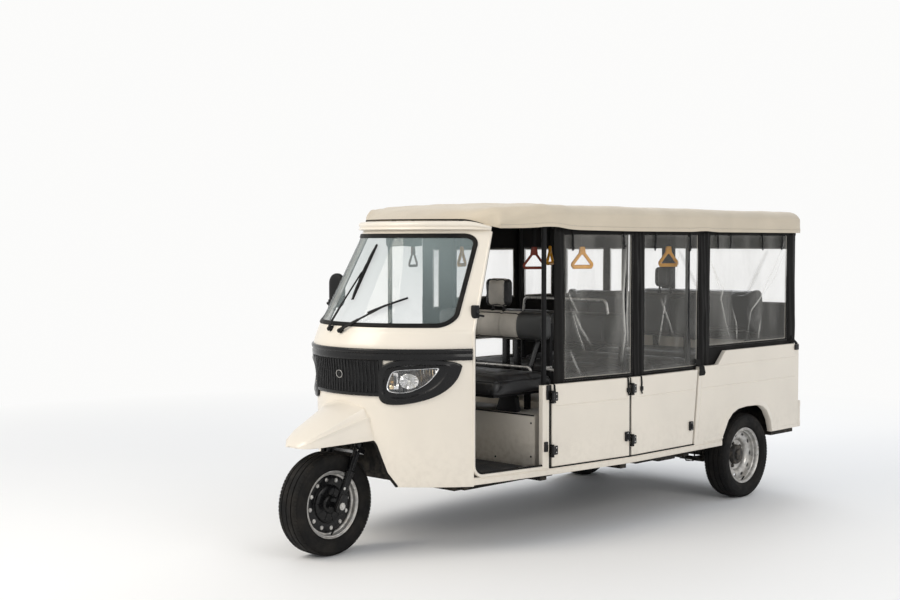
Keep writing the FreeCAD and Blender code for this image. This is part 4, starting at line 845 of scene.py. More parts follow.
def nose_shell(name, low, high, outside, inside, material, across=97):
    """The nose's skin with its thickness closed along the bottom and the top."""
    obj, rows = nose_sheet(name, low, high, outside, inside, material, across, 0.016)
    bm = bmesh.new()
    bm.from_mesh(obj.data)
    found = {tuple(round(c, 5) for c in v.co): v for e in bm.edges if e.is_boundary for v in e.verts}
    for row in (rows[0], rows[-1]):
        ordered = [found[tuple(round(c, 5) for c in p)] for p in row]
        for j in range(len(row) // 2 - 1):
            bm.faces.new((ordered[j], ordered[j + 1], ordered[-2 - j], ordered[-1 - j]))
    bmesh.ops.recalc_face_normals(bm, faces=bm.faces)
    bm.to_mesh(obj.data)
    bm.free()
    smooth(obj.data)
    return obj


def front_tool(outline, near=-0.9, far=0.2):
    """Prism along X of an outline in Y and Z."""
    return slab("tool", outline, far - near, plane_x(AXLE + near), "cream", 0)


def both(half):
    """Half of an outline and its mirrored other half."""
    return list(half) + [(-y, z) for y, z in half[::-1]]


# Cowl: painted shell, open over the wheel, with a rolled edge
HOUSE = ((0.290, 0.325), (0.286, 0.350), (0.246, 0.410), (0.200, 0.545), (0.186, 0.566))
BEZEL = ((0.216, 0.812), (0.220, 0.772), (0.246, 0.750), (0.305, 0.748), (0.375, 0.762), (0.430, 0.786),
         (0.465, 0.814), (0.492, 0.850), (0.512, 0.898), (0.524, 0.972), (0.222, 0.972))
LAMP = ((0.252, 0.822), (0.256, 0.856), (0.276, 0.908), (0.300, 0.920), (0.380, 0.925), (0.438, 0.931), (0.452, 0.932),
        (0.447, 0.916), (0.430, 0.885), (0.405, 0.850), (0.366, 0.821), (0.325, 0.806), (0.275, 0.808))
LAMP_MIDDLE = Vector((0.345, 0.868))


def flowing(outline):
    """An outline with its corners cut back until they flow."""
    pts = [Vector(p) for p in outline]
    for _ in range(3):
        cut = []
        for i, p in enumerate(pts):
            q = pts[(i + 1) % len(pts)]
            cut += [p.lerp(q, 0.25), p.lerp(q, 0.75)]
        pts = cut
    return pts


cowl = nose_shell("cab_cowl", 0.342, 1.108, 0.0, -0.010, "cream", 121)
wheel_gap = front_tool(both(HOUSE), -0.44, 0.2)
openings = []
for sign in (1, -1):
    ring_line = [p + (p - LAMP_MIDDLE).normalized() * 0.003 for p in flowing(LAMP)]
    ring_line = [(sign * p.x, p.y) for p in ring_line]
    openings.append(front_tool(ring_line if sign > 0 else ring_line[::-1], -0.46, 0.1))
cowl = carved(cowl, wheel_gap, *openings)
fit(settled(eased(cowl, 0.0025, 2, 60)), "root", ["front_cowl"])

# Windscreen frame over it, with the pane's opening
PANE_LOW, PANE_HIGH, PANE_ROUND = (0.490, 1.128), (0.434, 1.586), 0.062


def pane_outline(grow):
    corners = [(PANE_LOW[0] + grow, PANE_LOW[1] - grow), (PANE_HIGH[0] + grow, PANE_HIGH[1] + grow),
               (-PANE_HIGH[0] - grow, PANE_HIGH[1] + grow), (-PANE_LOW[0] - grow, PANE_LOW[1] - grow)]
    return rounded_outline(corners, PANE_ROUND + grow, 10)


upper = nose_shell("cab_screen_frame", 1.108, 1.606, 0.0, -0.016, "cream", 121)
upper = carved(upper, front_tool(pane_outline(-0.010)))
fit(settled(eased(upper, 0.003, 2, 60)), "root", ["windscreen_frame"])


def nose_loop(outline, stand):
    """An outline in Y and Z laid on the nose, as a closed line."""
    line = []
    n = len(outline)
    for i in range(n):
        a, b = Vector(outline[i]), Vector(outline[(i + 1) % n])
        parts = max(1, round((b - a).length / 0.02))
        for k in range(parts):
            p = a.lerp(b, k / parts)
            line.append(on_nose(p.x, p.y, stand))
    return line


# Rubber seal: a fat outer lip and a thin inner lip beside the glass
seal_line = nose_loop(pane_outline(-0.009), 0.0)
outs = [nose_out(p.y, p.z) for p in seal_line]
SEAL = [(-0.013, -0.004), (-0.0125, 0.002), (-0.010, 0.0055), (-0.006, 0.0068), (-0.002, 0.0062), (0.0, 0.0046),
        (0.002, 0.0052), (0.006, 0.0052), (0.0095, 0.0036), (0.0115, 0.0), (0.0115, -0.004)]
seal = swept("windscreen_seal_lip", seal_line, [(-a, b) for a, b in SEAL], "seal", True, up=outs, angle=50)
fit(seal, "root", ["windscreen_seal"])

# Curved glass
glass_rows = []
for z in heights_between(1.118, 1.597, 0.016):
    half = np.interp(z, (PANE_LOW[1], PANE_HIGH[1]), (PANE_LOW[0], PANE_HIGH[0])) - 0.010
    low_corner, high_corner = z - (PANE_LOW[1] + 0.008), (PANE_HIGH[1] - 0.008) - z
    for gap in (low_corner, high_corner):
        r = PANE_ROUND - 0.006
        if gap < r:
            half -= r - math.sqrt(max(0.0, r * r - (r - max(gap, 0)) ** 2))
    glass_rows.append([on_nose(y, z, -0.004) for y in np.linspace(-half, half, 61)])
glass = grid("windscreen_pane", glass_rows, "glass")
outward(glass)
settled(thick(glass, 0.005, 0.0))
fit(glass, "root", ["windscreen_glass"])

# Roof cap: visor with a rolled lip and a shadow groove over the windscreen
CAP = ((1.6062, -0.012), (1.6062, 0.004), (1.607, 0.018), (1.610, 0.0265), (1.6145, 0.0285), (1.619, 0.0262),
       (1.6215, 0.0235), (1.625, 0.0255), (1.630, 0.0320), (1.636, 0.0333), (1.643, 0.0310), (1.648, 0.0255),
       (1.6508, 0.0165), (1.6518, 0.004), (1.6518, -0.014))
shares = np.linspace(-1, 1, 121)


def cap_stand(stand, share):
    """The lip dies away towards the posts."""
    ends = max(0.0, (abs(share) - 0.84) / 0.16)
    return stand * (1 - 0.72 * ends ** 2) if stand > 0 else stand


def cap_drop(share):
    """How far the lip's top comes down near its ends."""
    ends = max(0.0, min(1.0, (abs(share) - 0.76) / 0.24))
    return 0.027 * ends ** 2 * (1.6 - 0.6 * ends)


cap_rows = [[level(min(z, 1.652) - cap_drop(s) * (z - 1.6062) / 0.0456).point(s, cap_stand(stand, s)) for s in shares]
            for z, stand in CAP]
cap = outward(grid("roof_cap_visor", cap_rows, "cream", angle=50))
settled(thick(cap, 0.004, -1.0), 50)
fit(cap, "root", ["roof_cap"])


# Belt, grille surround and lamp bezels, one moulding in gloss black
def bezel_moulding(sign):
    """Bezel from its outer edge, over a round shoulder, down to the lamp's recess."""
    outer = flowing(BEZEL)
    inner = flowing(LAMP)

    def spaced(outline, count):
        pts = [Vector(p) for p in outline]
        pts.append(pts[0])
        run = lengths_along(pts)
        marks = np.linspace(0, run[-1], count, endpoint=False)
        return [Vector((float(np.interp(m, run, [p.x for p in pts])), float(np.interp(m, run, [p.y for p in pts]))))
                for m in marks]

    centre = LAMP_MIDDLE
    big, small = spaced(outer, 360), spaced(inner, 360)

    def ray(ring_points, angle):
        return min(ring_points, key=lambda p: abs(math.remainder(
            math.atan2(p.y - centre.y, p.x - centre.x) - angle, 2 * math.pi)))

    angles = np.linspace(-math.pi, math.pi, 112, endpoint=False)
    rim = [ray(big, a) for a in angles]
    bore = [ray(small, a) for a in angles]
    profile = ((0.0, -0.002), (0.0, 0.006), (0.05, 0.0105), (0.14, 0.0122), (0.36, 0.0125), (0.44, 0.0150),
               (0.50, 0.0155), (0.56, 0.0125), (0.64, 0.0052), (0.82, 0.0030), (0.94, 0.0026), (0.985, 0.0020),
               (1.0, -0.001), (1.0, -0.022))
    rows = []
    for t, stand in profile:
        rows.append([on_nose(sign * p.lerp(q, t).x, p.lerp(q, t).y, stand) for p, q in zip(rim, bore)])
    return grid("bezel", rows, "gloss_black", wrap=True, angle=50), bore


def lamp_parts(sign, bore):
    """Bowl, reflectors, bulb and clear cover of one headlamp."""
    parts = []
    centre = LAMP_MIDDLE

    def at_bore(t, stand):
        return [on_nose(sign * centre.lerp(q, t).x, centre.lerp(q, t).y, stand) for q in bore]

    def inside(y, z, stand):
        return on_nose(sign * y, z, stand)
    floor_rows = [at_bore(t, stand) for t, stand in ((1.0, -0.006), (0.97, -0.020), (0.88, -0.036), (0.6, -0.046),
                                                     (0.3, -0.050), (0.02, -0.051))]
    parts.append(grid("bowl", floor_rows, "bowl", wrap=True, angle=24))
    rim_rows = [at_bore(t, stand) for t, stand in ((1.0, -0.002), (0.995, 0.0030), (0.965, 0.0036), (0.940, 0.0010),
                                                   (0.945, -0.004))]
    parts.append(grid("rim", rim_rows, "mirror", wrap=True, angle=30))
    cover_rows = [at_bore(t, stand) for t, stand in ((0.985, 0.0022), (0.965, 0.0050), (0.9, 0.0072), (0.6, 0.0085),
                                                     (0.3, 0.009), (0.02, 0.009))]
    cover = grid("cover", cover_rows, "lamp_cover", wrap=True, angle=50)

    # Tall reflector of the parking lamp, with its divider
    for k, (y0, y1) in enumerate(((0.262, 0.279), (0.281, 0.300))):
        rows = []
        for z in np.linspace(0.824, 0.906, 9):
            dip = -0.018 - 0.020 * math.sin(math.pi * (z - 0.824) / 0.082)
            rows.append([inside(y0, z, -0.010 + dip * 0.4), inside((y0 + y1) / 2, z, dip),
                         inside(y1, z, -0.012 + dip * 0.5)])
        parts.append(thick(grid("tall", rows, "mirror" if k else "warm_mirror", angle=20), 0.001, 0.0))
        settled(parts[-1], 20)
    wall = [[inside(0.304, z, stand) for z in np.linspace(0.812, 0.916, 9)] for stand in (-0.040, -0.004)]
    parts.append(settled(thick(grid("divider", wall, "gloss_black"), 0.003, 0.0)))

    # Main reflector, its facets and its bulb
    hub_y, hub_z, reach = 0.342, 0.864, 0.036
    rings = ((0.16, -0.046), (0.40, -0.040), (0.62, -0.031), (0.82, -0.020), (1.0, -0.007))
    rows = []
    for t, stand in rings:
        row = []
        for k in range(32):
            angle = 2 * math.pi * k / 32
            ripple = 0.0030 * (1 if k % 4 < 2 else -1) * t
            row.append(inside(hub_y + reach * t * math.cos(angle), hub_z + reach * t * math.sin(angle),
                              stand + ripple))
        rows.append(row)
    reflector = grid("reflector", rows, "mirror", wrap=True, angle=8)
    parts.append(settled(thick(reflector, 0.0012, 0.0), 8))
    ball = turned("ball", [(-0.004, 0.0), (-0.004, 0.007), (0.012, 0.0075), (0.019, 0.0055), (0.022, 0.0)],
                  (0, 0, 0), "bulb", 24, "Z", True)
    stand_on(ball, inside(hub_y, hub_z, -0.040), nose_out(sign * hub_y, hub_z))
    parts.append(ball)

    # Stepped facets out to the lamp's tip
    for k in range(7):
        y = 0.379 + 0.0105 * k
        high = 0.924 - 0.0006 * k
        low = max(0.836 + 0.0108 * k, 0.830)
        if high - low < 0.008:
            continue
        rows = []
        for z in np.linspace(low, high, 7):
            rows.append([inside(y, z, -0.030 + 0.0022 * k), inside(y + 0.0085, z, -0.014 + 0.0012 * k)])
        parts.append(settled(thick(grid("facet", rows, "mirror" if k % 2 else "warm_mirror", angle=15), 0.001, 0.0),
                             15))
    return joined("lamp_inside", parts), cover


bezels, lamp_bits = [], []
for sign in (1, -1):
    ring_obj, bore = bezel_moulding(sign)
    outward(ring_obj)
    bezels.append(ring_obj)
    inside, cover = lamp_parts(sign, bore)
    outward(cover)
    settled(thick(cover, 0.002, 0.0))
    lamp_bits += [inside, cover]

belt_shares = np.linspace(-0.985, 0.985, 111)
BELT = ((0.968, -0.003), (0.967, 0.0075), (0.9695, 0.0108), (0.976, 0.0118), (0.990, 0.0112), (0.9975, 0.0070),
        (1.001, 0.0070), (1.004, 0.0106), (1.012, 0.0118), (1.020, 0.0112), (1.0235, 0.0080), (1.024, -0.003))
belt_rows = [[level(z).point(s, stand) for s in belt_shares] for z, stand in BELT]
belt = grid("belt", [list(r) for r in zip(*belt_rows)], "gloss_black", wrap=True, close=True, angle=50)
outward(belt)
sill_rows = []
for z, stand in ((0.790, -0.003), (0.789, 0.007), (0.7925, 0.0112), (0.799, 0.0118), (0.806, 0.0108), (0.808, 0.003)):
    sill_rows.append([on_nose(y, z, stand) for y in np.linspace(-0.246, 0.246, 41)])
lower_lip = loft("lower_lip", [list(r) for r in zip(*sill_rows)], "gloss_black", 50)
stiles = []
for sign in (1, -1):
    rows = []
    for z in heights_between(0.798, 0.972, 0.01):
        y0 = 0.2275
        rows.append([on_nose(sign * y, z, st) for y, st in
                     ((y0, -0.002), (y0, 0.009), (y0 + 0.004, 0.0118), (y0 + 0.012, 0.0120), (y0 + 0.016, 0.0095),
                      (y0 + 0.016, -0.002))])
    stiles.append(loft("stile", rows, "gloss_black", 50))
back_rows = [[on_nose(y, z, 0.0035) for y in np.linspace(-0.236, 0.236, 41)]
             for z in heights_between(0.80, 0.970, 0.02)]
grille_back = outward(grid("grille_back", back_rows, "satin_black"))
grille_back.data.flip_normals()
settled(thick(grille_back, 0.003, -1.0))


def slat_tree():
    """Louvres: a rounded bar along every line."""
    tree, start, end = node_tree("louvre_bars", [("Bar Width", "Float"), ("Bar Depth", "Float")])
    n, k = tree.nodes, tree.links
    line = n.new("GeometryNodeMeshToCurve")
    k.new(start.outputs["Geometry"], line.inputs["Mesh"])
    up = n.new("GeometryNodeSetCurveNormal")
    up.mode = "Z_UP"
    k.new(line.outputs["Curve"], up.inputs["Curve"])
    section = n.new("GeometryNodeCurvePrimitiveCircle")
    section.inputs["Resolution"].default_value = 8
    section.inputs["Radius"].default_value = 1.0
    size = n.new("ShaderNodeCombineXYZ")
    k.new(start.outputs["Bar Width"], size.inputs[0])
    k.new(start.outputs["Bar Depth"], size.inputs[1])
    size.inputs[2].default_value = 1.0
    shaped = n.new("GeometryNodeTransform")
    k.new(section.outputs["Curve"], shaped.inputs["Geometry"])
    k.new(size.outputs[0], shaped.inputs["Scale"])
    bar = n.new("GeometryNodeCurveToMesh")
    bar.inputs["Fill Caps"].default_value = True
    k.new(up.outputs["Curve"], bar.inputs["Curve"])
    k.new(shaped.outputs["Geometry"], bar.inputs["Profile Curve"])
    return made_real(tree, start, end, bar.outputs["Mesh"])


BARS = slat_tree()


def bars(name, lines, wide, deep, material):
    """A bar along each line of points, as one mesh."""
    points, edges = [], []
    for line in lines:
        first = len(points)
        points += line
        edges += [(first + i, first + i + 1) for i in range(len(line) - 1)]
    values = {"Bar Width": wide, "Bar Depth": deep, "Finish": M[material]}
    return run_tree(name, points, edges, BARS, values, angle=50)


SLATS = 23
slat_lines = []
for i in range(SLATS):
    y = -0.222 + 0.444 * i / (SLATS - 1)
    slat_lines.append([on_nose(y, z, 0.0062) for z in heights_between(0.809, 0.965, 0.013)])
slats = bars("slats", slat_lines, 0.0052, 0.0052, "gloss_black")
cross_lines = [[on_nose(y, z, 0.0042) for y in np.linspace(-0.228, 0.228, 33)] for z in (0.848, 0.888, 0.928)]
cross = bars("cross", cross_lines, 0.0018, 0.0022, "satin_black")

# Plain oval boss in the middle of the grille
boss_at, boss_out = on_nose(0, 0.892, 0.004), nose_out(0, 0.892)
boss = turned("boss", [(0, 0), (0, 0.024), (0.005, 0.026), (0.008, 0.024), (0.0085, 0.020), (0.0068, 0.018),
                       (0.0068, 0.011), (0.0095, 0.008), (0.0105, 0)], (0, 0, 0), "satin_black", 40, "Z", False)
stand_on(boss, boss_at, boss_out, 0.86)
BOSS_RING = [(0.0078, 0.0195), (0.0092, 0.0205), (0.0095, 0.0222), (0.0085, 0.0232), (0.0075, 0.0228)]
boss_ring = turned("boss_ring", BOSS_RING, (0, 0, 0), "silver", 40, "Z", True)
stand_on(boss_ring, boss_at, boss_out, 0.86)
finished("grille_moulding", [belt, lower_lip, grille_back, slats, cross, boss, boss_ring] + bezels + stiles,
         45, ["grille_surround"])
finished("headlamp_units", lamp_bits, 40, ["headlamps"])


# ---------- doors, quarters, sills and tail ----------

BODY_HALF, POST_B_HALF = 0.685, 0.622
LEAF_DEEP = 0.026
DOOR_LOW, DOOR_HIGH = 0.388, 0.813
CREASE_LOW, CREASE_HIGH = 0.700, 0.822


def side_plane(fore, half_fore, aft, half_aft):
    """Places a point by its distance behind a post, out from the skin, and height, on the left side."""
    start, end = Vector((at(fore), half_fore)), Vector((at(aft), half_aft))
    run = (end - start).normalized()

    def place(back, out, z):
        return Vector((start.x + run.x * back + run.y * out, start.y + run.y * back - run.x * out, z))
    return place


GROOVE_HALF = 0.0065


def pressed(z, line, half=GROOVE_HALF, deep=0.0032):
    """Depth of a rolled groove at one height."""
    gap = abs(z - line) / half
    return -deep * 0.5 * (1 + math.cos(math.pi * gap)) if gap < 1 else 0.0


def marks_for(low, high, lines, step=0.05):
    marks = set(np.round(heights_between(low, high, step), 5))
    for line in lines:
        marks.update(round(line + GROOVE_HALF * k / 4, 5) for k in range(-5, 6))
    return sorted(m for m in marks if low <= m <= high)


def door_leaf(name, place, width, lean):
    """Pressed door: rolled edges, one groove, a slight crown and a stiffening frame inside."""
    fore = 0.009
    extra = [DOOR_LOW + 0.030, DOOR_LOW + 0.037, DOOR_HIGH - 0.037, DOOR_HIGH - 0.030]
    zs = sorted(set(marks_for(DOOR_LOW, DOOR_HIGH, [CREASE_LOW]) + extra))
    rows = []
    for z in zs:
        aft = width - 0.009 + lean * (z - DOOR_LOW) / (DOOR_HIGH - DOOR_LOW)
        inset = 0.008 if DOOR_LOW + 0.033 < z < DOOR_HIGH - 0.033 else 0.0
        rise = 1 - ((z - 0.6) / 0.213) ** 2
        loop = [(fore, -LEAF_DEEP), (fore, -0.004), (fore + 0.0012, -0.0012), (fore + 0.004, 0.0),
                (fore + 0.010, 0.0)]
        for k in range(9):
            share = k / 8
            back = fore + 0.016 + (aft - fore - 0.032) * share
            crown = 0.0022 * rise * (1 - (2 * share - 1) ** 2)
            loop.append((back, pressed(z, CREASE_LOW) + crown))
        loop += [(aft - 0.010, 0.0), (aft - 0.004, 0.0), (aft - 0.0012, -0.0012), (aft, -0.004), (aft, -LEAF_DEEP),
                 (aft - 0.030, -LEAF_DEEP), (aft - 0.036, inset - LEAF_DEEP), (fore + 0.036, inset - LEAF_DEEP),
                 (fore + 0.030, -LEAF_DEEP)]
        rows.append([place(u, w, z) for u, w in loop])
    leaf = loft(name, rows, "cream", 30)
    return settled(eased(leaf, 0.004, 3, 62), 30)


def hinge_leaf(name, place):
    """One hinge with its rounded leaf, knuckle rings and two screws, at each height."""
    parts = []
    for height in (0.450, 0.728):
        outline = round_box(0.000, height, 0.046, height + 0.046, 0.005, 3)
        parts.append(slab("leaf", outline, 0.0052, lambda u, v, w: place(u, w + 0.0004, v), "gloss_black", 0.0012, 2))
        knuckle = [(0, 0.0045), (0, 0.0072), (0.001, 0.008), (0.045, 0.008), (0.046, 0.0072), (0.046, 0.0045)]
        ring_obj = turned("knuckle", knuckle, (0, 0, 0), "gloss_black", 20, "Z", True)
        ring_obj.data.transform(Matrix.Translation(place(0.0, 0.014, height)))
        parts.append(ring_obj)
        outline = [(0.0, height + 0.001), (0.024, height + 0.001), (0.024, height + 0.045), (0.0, height + 0.045)]
        parts.append(slab("arm", outline, 0.009, lambda u, v, w: place(u + 0.001, w + 0.004, v), "gloss_black",
                          0.002, 2))
        out = place(0, 1, 0) - place(0, 0, 0)
        screws = [(place(0.036, 0.0050, height + k), facing(out)) for k in (0.011, 0.035)]
        parts.append(repeated("screws", dome(0.0036, 0.002, 10), screws, "bright"))
    return joined(name, parts)


def door_latch(name, place, width):
    """Black latch block with its thumb paddle and two screws."""
    low, high = 0.470, 0.522
    a, b = width - 0.050, width - 0.0145
    outline = round_box(a, low, b, high, 0.006, 4)
    parts = [slab("case", outline, 0.0105, lambda u, v, w: place(u, w + 0.0003, v), "gloss_black", 0.003, 3)]
    outline = round_box(a + 0.008, low + 0.010, b - 0.007, high - 0.016, 0.004, 4)
    parts.append(slab("paddle", outline, 0.0045, lambda u, v, w: place(u, w + 0.0105, v), "satin_black", 0.0015, 2))
    out = place(0, 1, 0) - place(0, 0, 0)
    screws = [(place((a + b) / 2, 0.0105, z), facing(out)) for z in (low + 0.005, high - 0.008)]
    parts.append(repeated("screws", dome(0.003, 0.0018, 10), screws, "bright"))
    return joined(name, parts)


def buckled_strap(place, back, high, low):
    """Webbing strap that hangs over a door's top edge and ends in a buckle and a loop."""
    out, wide = 0.003, 0.012
    line = [place(back, -0.020, high), place(back, out - 0.001, high + 0.001), place(back, out, high - 0.012),
            place(back + 0.001, out + 0.002, (high + low) / 2), place(back, out + 0.001, low)]
    out_way = place(0, 1, 0) - place(0, 0, 0)
    webbing = strap("webbing", line, wide, 0.0022, "webbing", out_way, 0.006)
    w, h = wide * 0.95, 0.026
    outline = round_box(back - w, low - h * 0.55, back + w, low + h * 0.45, 0.005, 4)
    case = slab("buckle", outline, 0.008, lambda u, v, w_: place(u, w_ + out - 0.002, v), "gloss_black", 0.0022, 2)
    outline = round_box(back - w * 0.6, low - 0.004, back + w * 0.6, low + 0.004, 0.0015, 3)
    bar = slab("bar", outline, 0.003, lambda u, v, w_: place(u, w_ + out + 0.006, v), "satin_black", 0.0008, 1)
    tail = strap("tail", [place(back, out + 0.001, low - 0.012), place(back + 0.003, out + 0.004, low - 0.030)],
                 wide * 0.8, 0.002, "webbing", out_way)
    return [webbing, case, bar, tail]


FRONT_DOOR = side_plane(0.990, POST_B_HALF, 1.590, BODY_HALF)
REAR_DOOR = side_plane(1.590, BODY_HALF, 2.190, BODY_HALF)
FRONT_WIDTH = math.hypot(0.600, BODY_HALF - POST_B_HALF)

DOORS = (
    # name, plane, width, how far its rear edge leans back, straps' places
    ("front", FRONT_DOOR, FRONT_WIDTH, 0.0, (0.022, 0.578)),
    ("rear", REAR_DOOR, 0.600, 0.050, (0.092,)),
)
for name, place, width, lean, strap_spots in DOORS:
    leaf = door_leaf("door_left_%s_leaf" % name, place, width, lean)
    fittings = joined("door_left_%s_hinges" % name, [hinge_leaf("hinges", place), door_latch("latch", place, width)])
    straps = []
    for back in strap_spots:
        straps += buckled_strap(place, back, DOOR_HIGH, 0.748)
    straps = joined("door_left_%s_straps" % name, straps)
    for obj in (leaf, fittings, straps):
        smooth(obj.data, 35)
    for side in ("left", "right"):
        body = "door_%s_%s" % (side, name)
        if side == "right":
            leaf, fittings, straps = [mirror_of(o, o.name.replace("left", "right")) for o in (leaf, fittings, straps)]
        fit(leaf, body, [body])
        fit(fittings, body, [body + "_fittings"])
        fit(straps, body)

# Quarters: pressed side with the rear wheel's arch, notched beside the rear door
QUARTER_LOW, QUARTER_HIGH, TAIL = 0.377, 0.906, 3.360
REAR_AXLE = 2.785
ARCH = ((-0.308, 0.300), (-0.305, 0.392), (-0.276, 0.449), (-0.247, 0.494), (-0.202, 0.530), (-0.141, 0.552),
        (-0.048, 0.560), (0.070, 0.557), (0.132, 0.543), (0.178, 0.515), (0.222, 0.455), (0.246, 0.392),
        (0.252, 0.300))


def quarter_edge(z):
    """Station of the quarter's slanted front edge."""
    return 2.198 + 0.050 * min(1.0, (z - 0.384) / (0.828 - 0.384))


def faded(station, start, end, run=0.016):
    return max(0.0, min(1.0, (station - start) / run, (end - station) / run))


def quarter_skin(station, edge_gap, z):
    """How far the quarter's skin stands out at one place."""
    out = pressed(z, CREASE_HIGH) * faded(station, 2.446, 3.322)
    out += pressed(z, CREASE_LOW) * faded(edge_gap, 0.040, 2.0) * faded(station, 2.2, 3.318)
    out += pressed(edge_gap, 0.032, 0.005, 0.0026) * faded(z, 0.400, 0.806)
    out -= pressed(z, 0.402, 0.010, 0.0020) * faded(station, 3.085, 3.335)
    return out + 0.002 * faded(station, 2.26, 3.34, 0.5) * faded(z, 0.41, 0.90, 0.25)


front_gaps = [0.0, 0.0012, 0.004, 0.012, 0.027, 0.0295, 0.032, 0.0345, 0.037, 0.044, 0.056]
stations = [2.33, 2.37, 2.41, 2.440, 2.448, 2.456, 2.464] + [2.50 + 0.05 * k for k in range(12)]
stations += [3.085, 3.10, 3.15, 3.20, 3.25, 3.29, 3.304, 3.312, 3.320, 3.328, 3.338, 3.352, 3.356, 3.3588, 3.360]
rows = []
for z in marks_for(QUARTER_LOW, QUARTER_HIGH, [CREASE_HIGH, CREASE_LOW, 0.402], 0.03):
    edge = quarter_edge(z)
    line = [edge + g for g in front_gaps] + [edge + 0.056 + (s - 2.304) * (TAIL - edge - 0.056) / (TAIL - 2.304)
                                            if s < 2.44 else s for s in stations]
    loop = []
    for i, s in enumerate(line):
        ends = {0: -0.004, 1: -0.0012, len(line) - 2: -0.0012, len(line) - 1: -0.004}.get(i, 0.0)
        loop.append(spot(s, BODY_HALF + ends + quarter_skin(s, s - edge, z), z))
    loop += [spot(TAIL, BODY_HALF - LEAF_DEEP, z), spot(edge, BODY_HALF - LEAF_DEEP, z)]
    rows.append(loop)
quarter = loft("quarter_left", rows, "cream", 28)
# The arch's edge from its front foot to its rear foot, as stations and heights
arch_path = [(p.x, p.y) for p in curved([(REAR_AXLE + u, v, 0) for u, v in ARCH], 0.024, 5)]


def across_tool(outline):
    return slab("tool", outline, 0.4, lambda s, z, w: (at(s), 0.5 + w, z), "cream", 0)


notch = [(2.10, 0.828), (2.440, 0.828), (2.520, 0.906), (2.520, 1.1), (2.10, 1.1)]
notch_round = [(p.x, p.y) for p in curved([(u, v, 0) for u, v in notch], 0.012, 4, closed=True)]
quarter = carved(quarter, across_tool(arch_path), across_tool(notch_round))
settled(eased(quarter, 0.0035, 2, 62), 30)

# Arch flare: a lip that rolls out of the panel, and follows the bottom edge behind the wheel
arch_edge = [p for p in arch_path if p[1] > 0.392]
lip_line = curved([Vector((s, z, 0)) for s, z in [(2.300, 0.386), (2.4905, 0.390)] + [arch_edge[0]]], 0.03, 5)
path = [(p.x, p.y) for p in lip_line] + arch_edge[1:] + [(REAR_AXLE + 0.2465, 0.392), (REAR_AXLE + 0.2490, 0.3825),
                                                         (REAR_AXLE + 0.2560, 0.3785)]
path += [(3.12, 0.3785), (3.345, 0.3785)]
cleaned = [path[0]]
for p in path[1:]:
    if math.hypot(p[0] - cleaned[-1][0], p[1] - cleaned[-1][1]) > 0.003:
        cleaned.append(p)
FLARE = [(-0.001, -0.018), (-0.001, 0.0088), (0.0012, 0.0124), (0.0050, 0.0138), (0.010, 0.0132), (0.018, 0.0108),
         (0.026, 0.0070), (0.034, 0.0034), (0.041, 0.0006), (0.042, -0.003)]
rows = []
for i, (s, z) in enumerate(cleaned):
    a, b = cleaned[max(i - 1, 0)], cleaned[min(i + 1, len(cleaned) - 1)]
    run = Vector((b[0] - a[0], b[1] - a[1])).normalized()
    away = Vector((-run.y, run.x))
    if away.y < 0 and abs(away.y) > 0.5:
        away = -away
    if s < REAR_AXLE and away.x > 0 and z > 0.40:
        away = -away
    size = 1.0 if 0.40 < z else 0.62
    rise = min(1.0, max(0.0, (s - 2.300) / 0.12)) if s < 2.48 else min(1.0, max(0.0, (3.345 - s) / 0.05))
    size *= 0.3 + 0.7 * rise
    rows.append([spot(s + away.x * u * size, BODY_HALF + (v * size if v > 0 else v), z + away.y * u * size)
                 for u, v in FLARE])
flare = loft("flare", rows, "cream", 50)
finished_pair("quarter_left_side", "quarter_right_side", [quarter, flare], 32, ["rear_quarters"])

# Sills with a bead along their top edge, and the cab opening's rolled flange above them
PLAN = [POST_FOOT, (0.990, POST_B_HALF), (1.590, BODY_HALF), (2.493, BODY_HALF)]


def plan_half(station):
    """Half width of the body at a station."""
    return float(np.interp(station, *zip(*PLAN)))


SILL = [(-0.0255, 0.347), (-0.004, 0.347), (-0.0012, 0.3482), (0.0, 0.351), (0.0, 0.3735), (-0.0022, 0.3755),
        (-0.0022, 0.3770), (0.0006, 0.3788), (0.0012, 0.3812), (-0.0002, 0.3835), (-0.0030, 0.3842), (-0.0255, 0.3842)]
sill_stations = [0.485, 0.60, 0.75, 0.90, 0.975, 0.990, 1.005, 1.2, 1.4, 1.575, 1.590, 1.605, 1.9, 2.2, 2.45, 2.490]
rows = [[spot(s, plan_half(s) + w, z) for w, z in SILL] for s in sill_stations]
sill = loft("sill_left", rows, "cream", 40)

# Black rubber in the joints around the doors
joints = [slab("joint", [(fore, 0.389), (aft, 0.389), (aft, 0.812), (fore, 0.812)], 0.014,
               lambda s, z, w: spot(s, plan_half(s) - 0.020 + w, z), "seal", 0.001, 1)
          for fore, aft in ((0.9795, 0.9980), (1.5850, 1.5970))]
joints.append(slab("joint", [(quarter_edge(0.389) - 0.0135, 0.389), (quarter_edge(0.389) - 0.0025, 0.389),
                             (quarter_edge(0.806) - 0.0025, 0.806), (quarter_edge(0.806) - 0.0135, 0.806)], 0.010,
                   lambda s, z, w: spot(s, BODY_HALF - 0.024 + w, z), "seal", 0.001, 1))
LIP = [(-0.012, 0.3846), (0.0010, 0.3812), (0.0022, 0.3830), (0.0022, 0.3862), (0.0008, 0.3874), (-0.012, 0.3874)]
LIP_STATIONS = (0.9795, 0.990, 1.2, 1.4, 1.575, 1.590, 1.605, 1.9, 2.196)
rows = [[spot(s, plan_half(s) + w, z) for w, z in LIP] for s in LIP_STATIONS]
joints.append(loft("lip", rows, "seal", 40))
joint_rubber = joined("door_joint_rubber_left", joints)
on_both_sides(joint_rubber, "door_joint_rubber_right")
